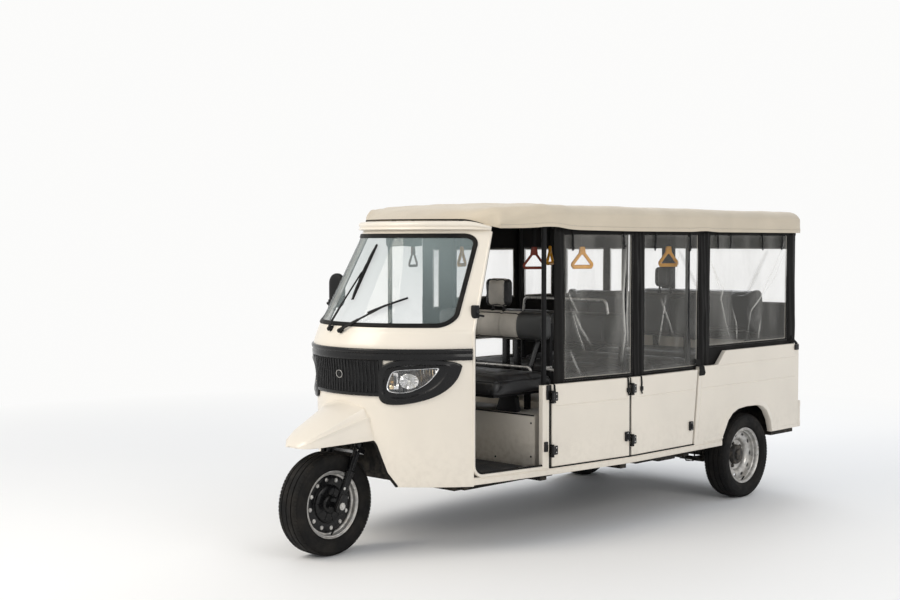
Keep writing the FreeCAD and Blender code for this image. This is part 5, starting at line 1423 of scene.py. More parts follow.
opening = [spot(*POST_TOP, 1.598), spot(*POST_FOOT, 1.108), spot(*POST_FOOT, 0.3895),
           spot(0.934, plan_half(0.934), 0.3895)]
opening_line = curved(opening, 0.058, 9)
FLANGE = [(-0.0075, -0.012), (-0.0075, 0.000), (-0.006, 0.0030), (-0.002, 0.0042), (0.002, 0.0042), (0.006, 0.0030),
          (0.0075, 0.000), (0.0075, -0.012)]
ups = [Vector((0.12, 1, 0)) if p.z < 1.1 else Vector((0.10, 1, 0.2)) for p in opening_line]
flange = swept("flange", opening_line, FLANGE, "cream", up=ups, angle=50)
finished_pair("sill_left_side", "sill_right_side", [sill, flange], 40, ["side_sills"])
inner = [p + Vector((-0.011, -0.007, 0.010 if p.z < 0.45 else 0.0)) for p in opening_line]
opening_seal = swept("opening_seal_left", inner, ring(0.0065, 10), "seal")
on_both_sides(opening_seal, "opening_seal_right")

# Jambs: folded pillars in front of the first doors, with a striker
JAMB = [(0.934, -0.026), (0.934, -0.004), (0.9355, -0.001), (0.939, 0.0), (0.9535, 0.0), (0.9555, -0.0018),
        (0.9575, -0.0018), (0.9595, 0.0), (0.9735, 0.0), (0.977, -0.001), (0.9785, -0.004), (0.9785, -0.026)]
rows = [[spot(s, plan_half(s) + w, z) for s, w in JAMB] for z in (0.3845, 0.42, 0.60, 0.79, 0.812)]
jamb = loft("jamb", rows, "cream", 40)
outline = round_box(0.941, 0.470, 0.968, 0.522, 0.004, 3)
striker = slab("striker", outline, 0.007, lambda s, z, w: (at(s), plan_half(0.955) + w - 0.001, z), "gloss_black",
               0.002, 2)
outline = round_box(0.956, 0.737, 0.975, 0.812, 0.003, 3)
post_catch = slab("catch", outline, 0.006, lambda s, z, w: (at(s), plan_half(0.965) + w - 0.001, z),
                  "gloss_black", 0.002, 2)
finished_pair("jamb_left", "jamb_right", [jamb, striker, post_catch], 35, ["door_jambs"])

# Tail: pressed panel over a lower step, corner lamps, a blank plate between its screws
TAIL_EDGE = [0.57, 0.585, 0.60, 0.64, 0.655, 0.658]
panel_rows = []
for z in marks_for(0.372, QUARTER_HIGH, [0.600, 0.620, CREASE_LOW, CREASE_HIGH], 0.04):
    loop = []
    for y in [-y for y in TAIL_EDGE[::-1]] + list(np.linspace(-0.5, 0.5, 9)) + TAIL_EDGE:
        middle = faded(y, -0.585, 0.585, 0.02)
        deep = (pressed(z, CREASE_HIGH) + pressed(z, CREASE_LOW)) * middle
        ends = -0.003 if abs(y) > 0.6575 else 0.0
        loop.append(Vector((at(TAIL) - ends - deep, y, z)))
    loop += [Vector((at(TAIL) + 0.024, 0.658, z)), Vector((at(TAIL) + 0.024, -0.658, z))]
    panel_rows.append(loop)
upper_tail = loft("upper_tail", panel_rows, "cream", 28)
settled(eased(upper_tail, 0.003, 2, 62), 30)
STEP = [(0.0, 0.377), (-0.020, 0.377), (-0.0245, 0.379), (-0.0268, 0.384), (-0.0268, 0.410), (-0.0235, 0.416),
        (-0.0235, 0.505), (-0.0268, 0.512), (-0.0268, 0.531), (-0.0240, 0.5395), (-0.018, 0.5440), (0.0, 0.545)]
rows = []
for y in (-0.685, -0.6845, -0.681, -0.670, -0.4, 0.0, 0.4, 0.670, 0.681, 0.6845, 0.685):
    shy = {0.685: 0.004, 0.6845: 0.0012}.get(abs(y), 0.0)
    rows.append([Vector((at(TAIL) + x + (shy if x < -0.001 else 0), y, z)) for x, z in STEP])
lower_tail = loft("lower_tail", rows, "cream", 50)
tail_bits = [upper_tail, lower_tail]
on_tail = plane_x(at(TAIL) - 0.0245, -1)
tail_bits.append(slab("plate_carrier", round_box(-0.165, 0.410, 0.165, 0.510, 0.01, 4), 0.003, on_tail,
                      "satin_black", 0.001, 1))
tail_bits.append(slab("blank_plate", round_box(-0.155, 0.416, 0.155, 0.504, 0.006, 4), 0.0015,
                      lambda u, v, w: on_tail(u, v, w + 0.003), "blank_plate", 0.0005, 1))
screws = [((at(TAIL) - 0.029, y, 0.460), facing((-1, 0, 0))) for y in (-0.100, 0.100)]
tail_bits.append(repeated("plate_screws", dome(0.006, 0.003, 14), screws, "bright"))
finished("tail_pressed_panel", tail_bits, 32, ["tail_panel"])

lamp_parts_rear = []
for sign in (1, -1):
    y0, y1 = sorted((sign * 0.535, sign * 0.625))
    back = at(TAIL) - 0.0003

    def lens(low, high, finish, stand=0.020):
        outline = round_box(y0 + 0.005, low, y1 - 0.005, high, 0.008, 4)
        return slab("lens", outline, stand, plane_x(back - 0.003, -1), finish, 0.004, 3)
    outline = round_box(y0, 0.605, y1, 0.755, 0.012, 5)
    lamp_parts_rear.append(slab("case", outline, 0.013, plane_x(back, -1), "gloss_black", 0.003, 2))
    lamp_parts_rear += [lens(0.611, 0.658, "white_lens", 0.0195), lens(0.6595, 0.703, "amber", 0.0200),
                        lens(0.7045, 0.749, "red", 0.0205)]
finished("tail_lamp_units", lamp_parts_rear, 35, ["tail_lamps"])


# ---------- mudguard and its house ----------

GUARD = (
    # ahead of the axle, half width low, low edge, half width at crease, crease, half width at shoulder,
    # shoulder, ridge
    (0.212, 0.034, 0.5520, 0.030, 0.5555, 0.024, 0.5570, 0.5590),
    (0.209, 0.048, 0.5508, 0.044, 0.5590, 0.036, 0.5620, 0.5670),
    (0.200, 0.066, 0.5500, 0.061, 0.5650, 0.052, 0.5710, 0.5790),
    (0.178, 0.092, 0.5502, 0.085, 0.5780, 0.074, 0.5880, 0.5975),
    (0.120, 0.121, 0.5535, 0.110, 0.6050, 0.098, 0.6200, 0.6385),
    (0.048, 0.140, 0.5580, 0.125, 0.6270, 0.112, 0.6500, 0.6790),
    (-0.040, 0.161, 0.5625, 0.143, 0.6540, 0.124, 0.6900, 0.7230),
    (-0.115, 0.181, 0.5665, 0.160, 0.6760, 0.138, 0.7240, 0.7580),
    (-0.150, 0.190, 0.5685, 0.168, 0.6840, 0.144, 0.7380, 0.7720),
)


def guard_half(row):
    """Left half of one rib of the guard, from its lower edge over the crease to the ridge."""
    ahead, low_half, low, crease_half, crease, top_half, top, ridge = row
    x = AXLE + ahead
    soft = min(1.0, (0.214 - ahead) / 0.04)
    pts = [(low_half - 0.004, low), (low_half, low + 0.0016 * soft), (low_half - 0.0002, low + 0.005 * soft)]
    for t in (0.35, 0.7, 0.93):
        pts.append((low_half + (crease_half - low_half) * t + 0.0012 * soft, low + (crease - low) * t))
    pts += [(crease_half + 0.0028 * soft, crease - 0.0010 * soft),
            (crease_half + 0.0026 * soft, crease + 0.0016 * soft),
            (crease_half - 0.0016 * soft, crease + 0.0032 * soft)]
    for t in (0.3, 0.65, 0.95):
        bulge = -0.0015 * soft * math.sin(math.pi * t)
        pts.append((crease_half + (top_half - crease_half) * t + bulge * 0.5, crease + (top - crease) * t + bulge))
    for t in (0.2, 0.45, 0.7, 0.88, 1.0):
        y = top_half * (1 - t)
        pts.append((y, top + (ridge - top) * (1 - (1 - t) ** 2)))
    return [Vector((x, y, z)) for y, z in pts]


rows = []
for row in GUARD:
    half = guard_half(row)
    rows.append([Vector((p.x, -p.y, p.z)) for p in half] + half[::-1][1:])
guard = outward(grid("mudguard_beak", rows, "cream", angle=40))
if guard.data.polygons[0].normal.z < -0.5:
    guard.data.flip_normals()
bm = bmesh.new()
bm.from_mesh(guard.data)
tip = [v for v in bm.verts if v.co.x > AXLE + GUARD[0][0] - 0.0005]
tip.sort(key=lambda v: v.co.y)
bm.faces.new(tip)
bmesh.ops.recalc_face_normals(bm, faces=bm.faces)
bm.to_mesh(guard.data)
bm.free()
upside = sum(p.normal.z * p.area for p in guard.data.polygons)
if upside < 0:
    guard.data.flip_normals()
thick(guard, 0.004, -1.0)
settled(guard, 30)
settled(eased(guard, 0.0015, 2, 60), 30)
fit(guard, "root", ["front_mudguard"])

# Cream sealant bead along the guard's joint against the cowl, and the house's edge trim in black rubber
seam = []
for a, b in zip(guard_half(GUARD[-3]), guard_half(GUARD[-1])):
    for k in range(41):
        p = a.lerp(b, k / 40)
        if p.x <= on_nose(p.y, p.z, 0.0005).x:
            seam.append(on_nose(p.y, p.z, 0.0015))
            break
seam += [Vector((p.x, -p.y, p.z)) for p in seam[::-1][1:]]
fit(swept("guard_joint", seam, ring(0.0024, 8), "cream"), "root")
house_edge = curved([Vector((y, z, 0)) for y, z in both([(0.288, 0.3425)] + list(HOUSE)[1:])], 0.02, 5)
house_line = []
for a, b in zip(house_edge, house_edge[1:]):
    parts = max(1, round((b - a).length / 0.012))
    house_line += [a.lerp(b, k / parts) for k in range(parts)]
house_line.append(house_edge[-1])
house_path = [on_nose(p.x, p.y, -0.004) for p in house_line]
TRIM = [(-0.006, -0.012), (-0.006, 0.004), (-0.004, 0.0075), (0.0, 0.0088), (0.004, 0.0075), (0.006, 0.004),
        (0.006, -0.012)]
trim = swept("wheel_opening_trim", house_path, TRIM, "seal", up=[nose_out(p.x, p.y) for p in house_line], angle=50)
fit(trim, "root")


# ---------- roof cloth ----------

CLOTH_ROWS = (
    # station, half width, hem, shoulder, crown
    (0.740, 0.482, 1.616, 1.690, 1.7350),
    (0.860, 0.552, 1.617, 1.692, 1.7460),
    (0.960, 0.617, 1.624, 1.694, 1.7515),
    (1.000, 0.634, 1.631, 1.694, 1.7520),
    (1.060, 0.641, 1.618, 1.693, 1.7520),
    (1.150, 0.650, 1.609, 1.692, 1.7520),
    (1.590, 0.687, 1.604, 1.690, 1.7520),
    (2.190, 0.688, 1.604, 1.690, 1.7510),
    (2.280, 0.689, 1.611, 1.690, 1.7505),
    (2.400, 0.689, 1.603, 1.690, 1.7500),
    (3.320, 0.689, 1.602, 1.690, 1.7480),
    (3.345, 0.688, 1.602, 1.688, 1.7440),
    (3.360, 0.684, 1.602, 1.683, 1.7300),
    (3.3655, 0.680, 1.602, 1.676, 1.7080),
)
BOWS = (0.560, 0.990, 1.590, 2.194, 3.318)
CAP_FRONT, FIRST_BOW, CLOTH_END = 0.424, 0.740, 3.3655


def cloth_numbers(station):
    spread = min(0.05, max(0.0, (3.33 - station)))
    picks = [station + spread * k / 2 for k in range(-2, 3)]
    places = [r[0] for r in CLOTH_ROWS]
    return [float(np.mean([np.interp(s, places, [r[k] for r in CLOTH_ROWS]) for s in picks])) for k in range(1, 5)]


def three_point_arc(a, b, c, count):
    """Points of the arc from a to c through b, without its first point."""
    ax, ay, bx, by, cx, cy = a[0], a[1], b[0], b[1], c[0], c[1]
    d = 2 * (ax * (by - cy) + bx * (cy - ay) + cx * (ay - by))
    if abs(d) < 1e-9:
        return [(ax + (cx - ax) * k / count, ay + (cy - ay) * k / count) for k in range(1, count + 1)]
    ux = ((ax * ax + ay * ay) * (by - cy) + (bx * bx + by * by) * (cy - ay) + (cx * cx + cy * cy) * (ay - by)) / d
    uy = ((ax * ax + ay * ay) * (cx - bx) + (bx * bx + by * by) * (ax - cx) + (cx * cx + cy * cy) * (bx - ax)) / d
    r = math.hypot(ax - ux, ay - uy)
    t0, t1 = math.atan2(ay - uy, ax - ux), math.atan2(cy - uy, cx - ux)
    tm = math.atan2(by - uy, bx - ux)
    span = (t1 - t0) % (2 * math.pi)
    if (tm - t0) % (2 * math.pi) > span:
        span -= 2 * math.pi
    return [(ux + r * math.cos(t0 + span * k / count), uy + r * math.sin(t0 + span * k / count))
            for k in range(1, count + 1)]


def resampled(points, shares):
    """Points at shares of a line's length."""
    pts = [Vector(p) for p in points]
    run = lengths_along(pts)
    axes = [[p[k] for p in pts] for k in range(3)]
    return [Vector([float(np.interp(s * run[-1], run, axis)) for axis in axes]) for s in shares]


ACROSS = [(1 - math.cos(math.pi * k / 144)) / 2 * 0.35 + k / 144 * 0.65 for k in range(145)]


def cloth_section(station, shut=0.0):
    """The cloth's line across the roof, from the right hem to the left hem; shut folds it down over the back."""
    half, low, turn, top = cloth_numbers(station)
    eave = top - (top - turn) * 0.25
    right = [(-half, low + (turn - low) * k / 8) for k in range(9)]
    right += three_point_arc(right[-1], (-half * 0.965, (turn + eave) / 2 + 0.006), (-half * 0.88, eave), 10)
    left = [(-y, z) for y, z in right[::-1]]
    line = right + three_point_arc(right[-1], (0, top), left[0], 30) + left[1:]
    line = [spot(station, y, low + (z - low) * (1 - shut)) for y, z in line]
    return resampled(line, ACROSS)


visor_edge = [level(1.652).point(s, -0.006) for s in np.linspace(-0.925, 0.925, 97)]
for p, s in zip(visor_edge, np.linspace(-0.925, 0.925, 97)):
    p.z = 1.6575 - cap_drop(s * 1.05)
first_line = resampled(visor_edge, ACROSS)
first_bow = cloth_section(FIRST_BOW)
cloth_rows = []
for t in (0.0, 0.012, 0.03, 0.06, 0.11, 0.17, 0.24, 0.32, 0.41, 0.50, 0.60, 0.70, 0.80, 0.90):
    row = []
    for a, b, share in zip(first_line, first_bow, ACROSS):
        p = a.lerp(b, t)
        p.z += 0.055 * t * (1 - t) * math.sin(math.pi * share) ** 0.6
        row.append((p, CAP_FRONT + (FIRST_BOW - CAP_FRONT) * t))
    cloth_rows.append(row)
for s in [FIRST_BOW + 0.03 * k for k in range(87)] + [3.335, 3.345, 3.353, 3.360, CLOTH_END]:
    cloth_rows.append([(p, s) for p in cloth_section(s)])
for shut in (0.04, 0.12, 0.3, 0.5, 0.7, 0.85, 1.0):
    cloth_rows.append([(p, CLOTH_END) for p in cloth_section(CLOTH_END, shut)])

FOLDS = (
    # two ends of a ridge on the cloth's side, as station and height; its rise and half width
    ((0.690, 1.632), (0.985, 1.738), 0.0135, 0.016),
    ((0.700, 1.626), (0.990, 1.700), 0.0090, 0.012),
    ((0.680, 1.645), (0.850, 1.740), 0.0080, 0.015),
    ((0.740, 1.622), (0.960, 1.660), 0.0060, 0.010),
    ((1.000, 1.636), (0.965, 1.738), 0.0080, 0.012),
    ((1.005, 1.640), (1.110, 1.735), 0.0060, 0.018),
    ((1.010, 1.635), (1.180, 1.690), 0.0045, 0.014),
    ((1.590, 1.625), (1.600, 1.720), 0.0022, 0.012),
    ((2.270, 1.615), (2.235, 1.710), 0.0034, 0.018),
    ((2.290, 1.615), (2.400, 1.700), 0.0026, 0.022),
    ((2.900, 1.700), (3.345, 1.655), 0.0032, 0.026),
    ((1.700, 1.690), (2.150, 1.660), 0.0022, 0.024),
)


def beside_line(p, a, d):
    """Share of a line from a along d that is nearest to a point, and the gap to it."""
    t = max(0.0, min(1.0, (p - a).dot(d) / d.length_squared))
    return t, (p - a - d * t).length


def fold_rise(station, z):
    out = 0.0
    for (s0, z0), (s1, z1), rise, half in FOLDS:
        t, gap = beside_line(Vector((station, z)), Vector((s0, z0)), Vector((s1 - s0, z1 - z0)))
        out += rise * math.exp(-(gap / half) ** 2) * math.sin(math.pi * (0.12 + 0.76 * t))
    return out


def cloth_life(p, station, share):
    """How far the cloth stands off its smooth line at a point."""
    side = 1 if p.y > 0 else -1
    up = min(1.0, abs(2 * share - 1) / 0.9)
    sag = 0.0
    for a, b in zip(BOWS, BOWS[1:]):
        if a <= station <= b:
            sag = -0.0075 * math.sin(math.pi * (station - a) / (b - a)) ** 2
    top = max(0.0, 1 - up ** 4)
    out = sag * top
    if station > 0.60:
        out += fold_rise(station, p.z) * min(1.0, up * 1.4) * min(1.0, (3.37 - station) / 0.05)
    skirt = max(0.0, min(1.0, (1.69 - p.z) / 0.06)) * min(1.0, max(0.0, (station - 0.72) / 0.1))
    wave = math.sin(station * 21 + side) * 0.0014 + math.sin(station * 8.3 + 2 * side) * 0.0016
    out += skirt * wave
    loose = min(1.0, max(0.0, (station - 0.45) * 8))
    out += noise.noise(Vector((station * 5.0, share * 9.0, side * 3.0))) * 0.0042 * loose
    out += noise.noise(Vector((station * 13.0, share * 21.0, side * 5.0))) * 0.0018 * loose
    return out


moved_rows = []
for i, row in enumerate(cloth_rows):
    before, after = cloth_rows[max(i - 1, 0)], cloth_rows[min(i + 1, len(cloth_rows) - 1)]
    line = []
    for j, (p, s) in enumerate(row):
        across = row[min(j + 1, 144)][0] - row[max(j - 1, 0)][0]
        along = after[j][0] - before[j][0]
        out = along.cross(across)
        if out.length < 1e-9:
            out = Vector((0, 0, 1))
        out.normalize()
        if out.z < -0.2 or (abs(out.z) <= 0.2 and out.y * p.y < 0 and s < 3.36):
            out = -out
        if s >= 3.36:
            out = Vector((-1, 0, 0))
        line.append(p + out * cloth_life(p, s, ACROSS[j]) * (0.2 if s >= 3.36 else 1.0))
    moved_rows.append(line)
canopy = outward(grid("roof_cloth", moved_rows, "roof", angle=60))
if sum(p.normal.z * p.area for p in canopy.data.polygons) < 0:
    canopy.data.flip_normals()
settled(thick(canopy, 0.0035, -1.0, False), 60)
fit(canopy, "root", ["canopy"])

# Folded hem and its stitches, and the piping on the front edge
hem_line = {}
for side, j, k in (("right", 0, 3), ("left", 144, 141)):
    hem_line[side] = [(row[j], row[k]) for row in moved_rows[14:-6]]
hem_parts = []
for side, sign in (("right", -1), ("left", 1)):
    rows = []
    for low_point, high_point in hem_line[side]:
        up = (high_point - low_point).normalized()
        out = Vector((0, sign, 0))
        rows.append([low_point + up * a + out * b for a, b in ((-0.001, -0.0015), (-0.001, 0.0012), (0.002, 0.0022),
                                                               (0.012, 0.0016), (0.021, 0.0018), (0.0225, -0.0012))])
    hem_parts.append(loft("hem", rows, "roof", 60))
finished("roof_cloth_hem", hem_parts, 60)


def stitch_part():
    length, wide = 0.0042, 0.0009
    rim = [(-length / 2, wide * 0.3), (-length * 0.3, wide), (length * 0.3, wide), (length / 2, wide * 0.3)]
    return turned("stitch", rim, (0, 0, 0), "thread", 4, "Z", False)


def stitched(name, line, pitch):
    """Row of stitches along a line."""
    pts = [Vector(p) for p in line]
    run = lengths_along(pts)
    count = int(run[-1] / pitch)
    spots = []
    for k in range(count):
        d = (k + 0.5) * pitch
        i = max(0, min(len(pts) - 2, int(np.searchsorted(run, d)) - 1))
        a, b = pts[i], pts[i + 1]
        t = (d - run[i]) / max(1e-9, run[i + 1] - run[i])
        spots.append((a.lerp(b, min(1.0, max(0.0, t))), facing(b - a)))
    return repeated(name, stitch_part(), spots, "thread")


stitch_rows = []
for side, sign in (("right", -1), ("left", 1)):
    stitch_rows.append(stitched("stitches", [lo + (hi - lo).normalized() * 0.0185 + Vector((0, sign * 0.0020, 0))
                                             for lo, hi in hem_line[side]], 0.0085))
hem_stitches = joined("roof_cloth_stitches", stitch_rows)
fit(hem_stitches, "root")
piping_line = [p + Vector((0.001, 0, 0.0015)) for p in moved_rows[0]]
tails = []
for j, sign in ((144, 1), (0, -1)):
    end = moved_rows[0][j]
    tails.append([end + Vector((-0.012, sign * 0.003, -0.008)), end + Vector((-0.030, sign * 0.006, -0.022))])
piping_line = tails[1][::-1] + piping_line + tails[0]
piping = swept("roof_cloth_piping", piping_line, ring(0.0030, 8), "webbing")
fit(piping, "root")


# ---------- side curtains ----------

SIGN = {"left": 1, "right": -1}
CLOTH_DEEP = 0.0016
CURTAIN_FRONT = {"left": 1.045, "right": 1.300}
CURTAIN_BACK, CURTAIN_LOW, CURTAIN_HIGH = 3.362, 0.795, 1.640
# The cloth is cut out behind this station and below this height
NOTCH = (3.331, 0.912)
PANES = {
    "left": ((1.122, 1.635, 0.832, 1.590), (1.756, 2.275, 0.832, 1.590), (2.400, 3.262, 0.940, 1.590)),
    "right": ((1.400, 1.456, 1.155, 1.500), (1.600, 2.140, 1.205, 1.500), (1.690, 2.140, 0.832, 0.950),
              (2.255, 2.520, 1.205, 1.500), (2.680, 3.075, 1.205, 1.500), (3.150, 3.285, 1.205, 1.500)),
}
CREASES = (
    # pane's first station, then a line of station and height, its rise and half width
    (2.400, ((2.310, 1.550), (2.421, 1.400), (2.537, 1.267), (2.509, 1.215), (2.560, 1.084), (2.630, 0.950)),
     0.0070, 0.010),
    (2.400, ((2.345, 1.545), (2.470, 1.330), (2.520, 1.230)), 0.0045, 0.008),
    (2.400, ((3.235, 1.545), (3.084, 1.359), (2.954, 1.208), (2.856, 1.129), (2.806, 0.952)), 0.0080, 0.012),
    (2.400, ((3.255, 1.500), (3.120, 1.330), (3.010, 1.230)), 0.0045, 0.009),
    (2.400, ((2.700, 0.945), (2.690, 1.060), (2.640, 1.160)), 0.0040, 0.010),
    (2.400, ((2.930, 0.950), (2.960, 1.080)), 0.0035, 0.010),
    (1.122, ((1.085, 1.290), (1.107, 1.250), (1.185, 1.160)), 0.0050, 0.009),
    (1.122, ((1.130, 1.190), (1.200, 1.090), (1.288, 1.001)), 0.0055, 0.010),
    (1.122, ((1.110, 1.200), (1.180, 1.060), (1.240, 0.960)), 0.0040, 0.008),
    (1.122, ((1.100, 0.980), (1.143, 0.915), (1.199, 0.840)), 0.0065, 0.010),
    (1.122, ((1.585, 1.500), (1.560, 1.250), (1.575, 1.050), (1.545, 0.900)), 0.0060, 0.014),
    (1.122, ((1.612, 1.400), (1.598, 1.150), (1.605, 0.950)), 0.0045, 0.010),
    (1.756, ((1.665, 1.520), (1.690, 1.300), (1.672, 1.120), (1.700, 0.950)), 0.0050, 0.012),
    (1.756, ((1.915, 1.230), (1.941, 1.177), (1.988, 1.107), (2.034, 1.022)), 0.0055, 0.010),
    (1.756, ((1.965, 1.250), (1.930, 1.120), (1.900, 0.985)), 0.0040, 0.009),
    (1.756, ((2.090, 1.500), (2.060, 1.330)), 0.0030, 0.012),
)


def curtain_wave(station, z, side):
    """Slow waves of a hanging sheet, none at its top."""
    free = min(1.0, (1.60 - z) / 0.25) if z < 1.60 else 0.0
    shift = 0.0 if side == "left" else 1.7
    return free * (0.0022 * math.sin(station * 13 + shift) + 0.0016 * math.sin(station * 31 + z * 4 + shift)
                   + 0.0020 * noise.noise(Vector((station * 6, z * 5, shift))))


def curtain_point(station, z, out, side):
    """Point of a curtain: out is its stand-off from the middle of the sheet, outwards."""
    y = plan_half(max(0.485, min(station, 2.49))) - 0.035 + out + curtain_wave(station, z, side)
    return spot(station, y if side == "left" else -y, z)


def crease_at(station, z, first):
    rise, sheen_and_scuffs = 0.0, 0.0
    for start, line, height, half in CREASES:
        if start != first:
            continue
        line = [(s + max(0.0, 0.687 - plan_half(s)) * 1.2, h) for s, h in line]
        best, along = 9.0, 0.0
        total = len(line) - 1
        for i, (a, b) in enumerate(zip(line, line[1:])):
            t, gap = beside_line(Vector((station, z)), Vector(a), Vector(b) - Vector(a))
            if gap < best:
                best, along = gap, (i + t) / total
        fade = math.sin(math.pi * (0.1 + 0.85 * along))
        rise += height * fade * (math.exp(-(best / half) ** 2) - 0.45 * math.exp(-((best - half * 1.6) / half) ** 2))
        # Painted highlight along each crease line, kept for the vinyl's crease attribute.
        sheen_and_scuffs += fade * math.exp(-(best / (half * 0.42)) ** 2)
    return rise, min(1.0, sheen_and_scuffs)


def curtain_border(side):
    """Black cloth of one side, with an opening for every pane."""
    name = "curtain_cloth_" + side
    cuts_s = sorted({CURTAIN_FRONT[side], NOTCH[0], CURTAIN_BACK} | {v for p in PANES[side] for v in p[:2]})
    cuts_z = sorted({CURTAIN_LOW, NOTCH[1], CURTAIN_HIGH} | {v for p in PANES[side] for v in p[2:]})
    ss, zs = evenly(cuts_s, 0.020), evenly(cuts_z, 0.025)
    points, index, faces = [], {}, []

    def corner(i, j):
        if (i, j) not in index:
            index[i, j] = len(points)
            points.append(curtain_point(ss[i], zs[j], 0.0, side))
        return index[i, j]
    for i in range(len(ss) - 1):
        for j in range(len(zs) - 1):
            s, z = (ss[i] + ss[i + 1]) / 2, (zs[j] + zs[j + 1]) / 2
            over_tail = s < NOTCH[0] or z > NOTCH[1]
            if over_tail and not any(a < s < b and lo < z < hi for a, b, lo, hi in PANES[side]):
                faces.append((corner(i, j), corner(i + 1, j), corner(i + 1, j + 1), corner(i, j + 1)))
    sheet = turned_to(piece(name, points, faces, "curtain", 60), (0, SIGN[side], 0))
    return settled(eased(thick(sheet, CLOTH_DEEP, 0.0), 0.0004, 1, 60), 60)


BINDING = [(-0.008, -0.0004), (-0.008, 0.0010), (-0.0065, 0.0016), (0.0, 0.0012), (0.0065, 0.0016), (0.008, 0.0010),
           (0.008, -0.0004)]
PALE_EDGE = [(-0.0022, -0.0012), (-0.0022, 0.0004), (0.0022, 0.0004), (0.0022, -0.0012)]
BINDING_OFF, PANE_LAP, PANE_STITCH = 0.009, 0.008, 0.0125


def opening_loop(opening, grow, step, place):
    """Closed line round an opening, grown a little, its points set by the place function."""
    a, b, low, high = opening
    corners = [(a - grow, low - grow), (b + grow, low - grow), (b + grow, high + grow), (a - grow, high + grow)]
    line = []
    for (s0, z0), (s1, z1) in zip(corners, corners[1:] + corners[:1]):
        n = max(1, round(math.hypot(s1 - s0, z1 - z0) / step))
        line += [place(s0 + (s1 - s0) * k / n, z0 + (z1 - z0) * k / n) for k in range(n)]
    return line


def off_edge(s, z, a, b, low, high):
    """0 at a pane's edge, 1 from 3 cm inside it."""
    return max(0.0, min(1.0, (s - a) / 0.03, (b - s) / 0.03, (z - low) / 0.03, (high - z) / 0.03))


def creased_pane(rows, sheen_and_scuffs):
    """Clear sheet that carries, in its crease attribute, the painted highlight of its folds at each point."""
    obj = grid("pane", rows, "vinyl", angle=80)
    obj.data.attributes.new("crease", "FLOAT", "POINT").data.foreach_set("value", sheen_and_scuffs)
    return obj


def pane_sheet(side, a, b, low, high):
    """Clear pane with its folds; it lies inside the cloth's edge."""
    lap = PANE_LAP
    count_s, count_z = max(8, round((b - a) / 0.0075)), max(8, round((high - low) / 0.0085))
    rows, sheen_and_scuffs = [], []
    first = a if side == "left" else 0
    for i in range(count_s + 1):
        s = a - lap + (b - a + 2 * lap) * i / count_s
        row = []
        for j in range(count_z + 1):
            z = low - lap + (high - low + 2 * lap) * j / count_z
            edge = off_edge(s, z, a, b, low, high)
            rise, fold_sheen = crease_at(s, z, first)
            billow = 0.004 * math.sin(math.pi * (s - a) / (b - a)) * math.sin(math.pi * (z - low) / (high - low))
            ripple = (0.0016 * noise.noise(Vector((s * 11, z * 9, len(side))))
                      + 0.0009 * noise.noise(Vector((s * 30, z * 22, len(side) + 4))))
            row.append(curtain_point(s, z, -0.0022 + (rise + ripple - billow) * edge, side))
            # Painted fold highlight inside the pane; the mask is 0.12 at the lapped edge.
            sheen_and_scuffs.append(fold_sheen * edge + 0.12 * (1 - edge))
        rows.append(row)
    return creased_pane(rows, sheen_and_scuffs)


for side, sign in SIGN.items():
    border = curtain_border(side)
    fit(border, "root", ["curtain_" + side])
    panes_here = finished("curtain_panes_" + side, [pane_sheet(side, *p) for p in PANES[side]], 80,
                          ["curtain_panes"])
    extras = []
    for opening in PANES[side]:
        outs = Vector((0, sign, 0))
        line, edge_line, seam_line = [opening_loop(opening, grow, 0.02, lambda s, z: curtain_point(s, z, out, side))
                                      for grow, out in ((BINDING_OFF, 0.0008), (-0.0025, -0.0030),
                                                        (BINDING_OFF, 0.0026))]
        extras.append(swept("binding", line, BINDING, "curtain", True, up=outs, angle=60))
        extras.append(swept("edge", edge_line, PALE_EDGE, "pale_edge", True, up=outs, angle=60))
        extras.append(stitched("stitches", seam_line + seam_line[:1], PANE_STITCH))
    finished("curtain_binding_" + side, extras, 60)

# Folded flaps over the posts, the dark strip under the hem, and the roll-up straps
FLAPS = {
    "left": ((1.050, 1.110, 0.800, 1.612), (1.648, 1.706, 0.806, 1.596), (1.690, 1.746, 0.812, 1.598),
             (2.287, 2.345, 0.812, 1.596), (2.332, 2.388, 0.806, 1.604), (3.274, 3.356, 0.925, 1.596)),
    "right": ((1.305, 1.390, 0.800, 1.612), (1.466, 1.530, 0.806, 1.596), (1.520, 1.590, 0.812, 1.598),
              (2.152, 2.206, 0.812, 1.596), (2.192, 2.246, 0.806, 1.604), (2.530, 2.604, 0.812, 1.596),
              (2.592, 2.670, 0.806, 1.604), (3.084, 3.142, 0.915, 1.596), (3.294, 3.356, 0.925, 1.596)),
}
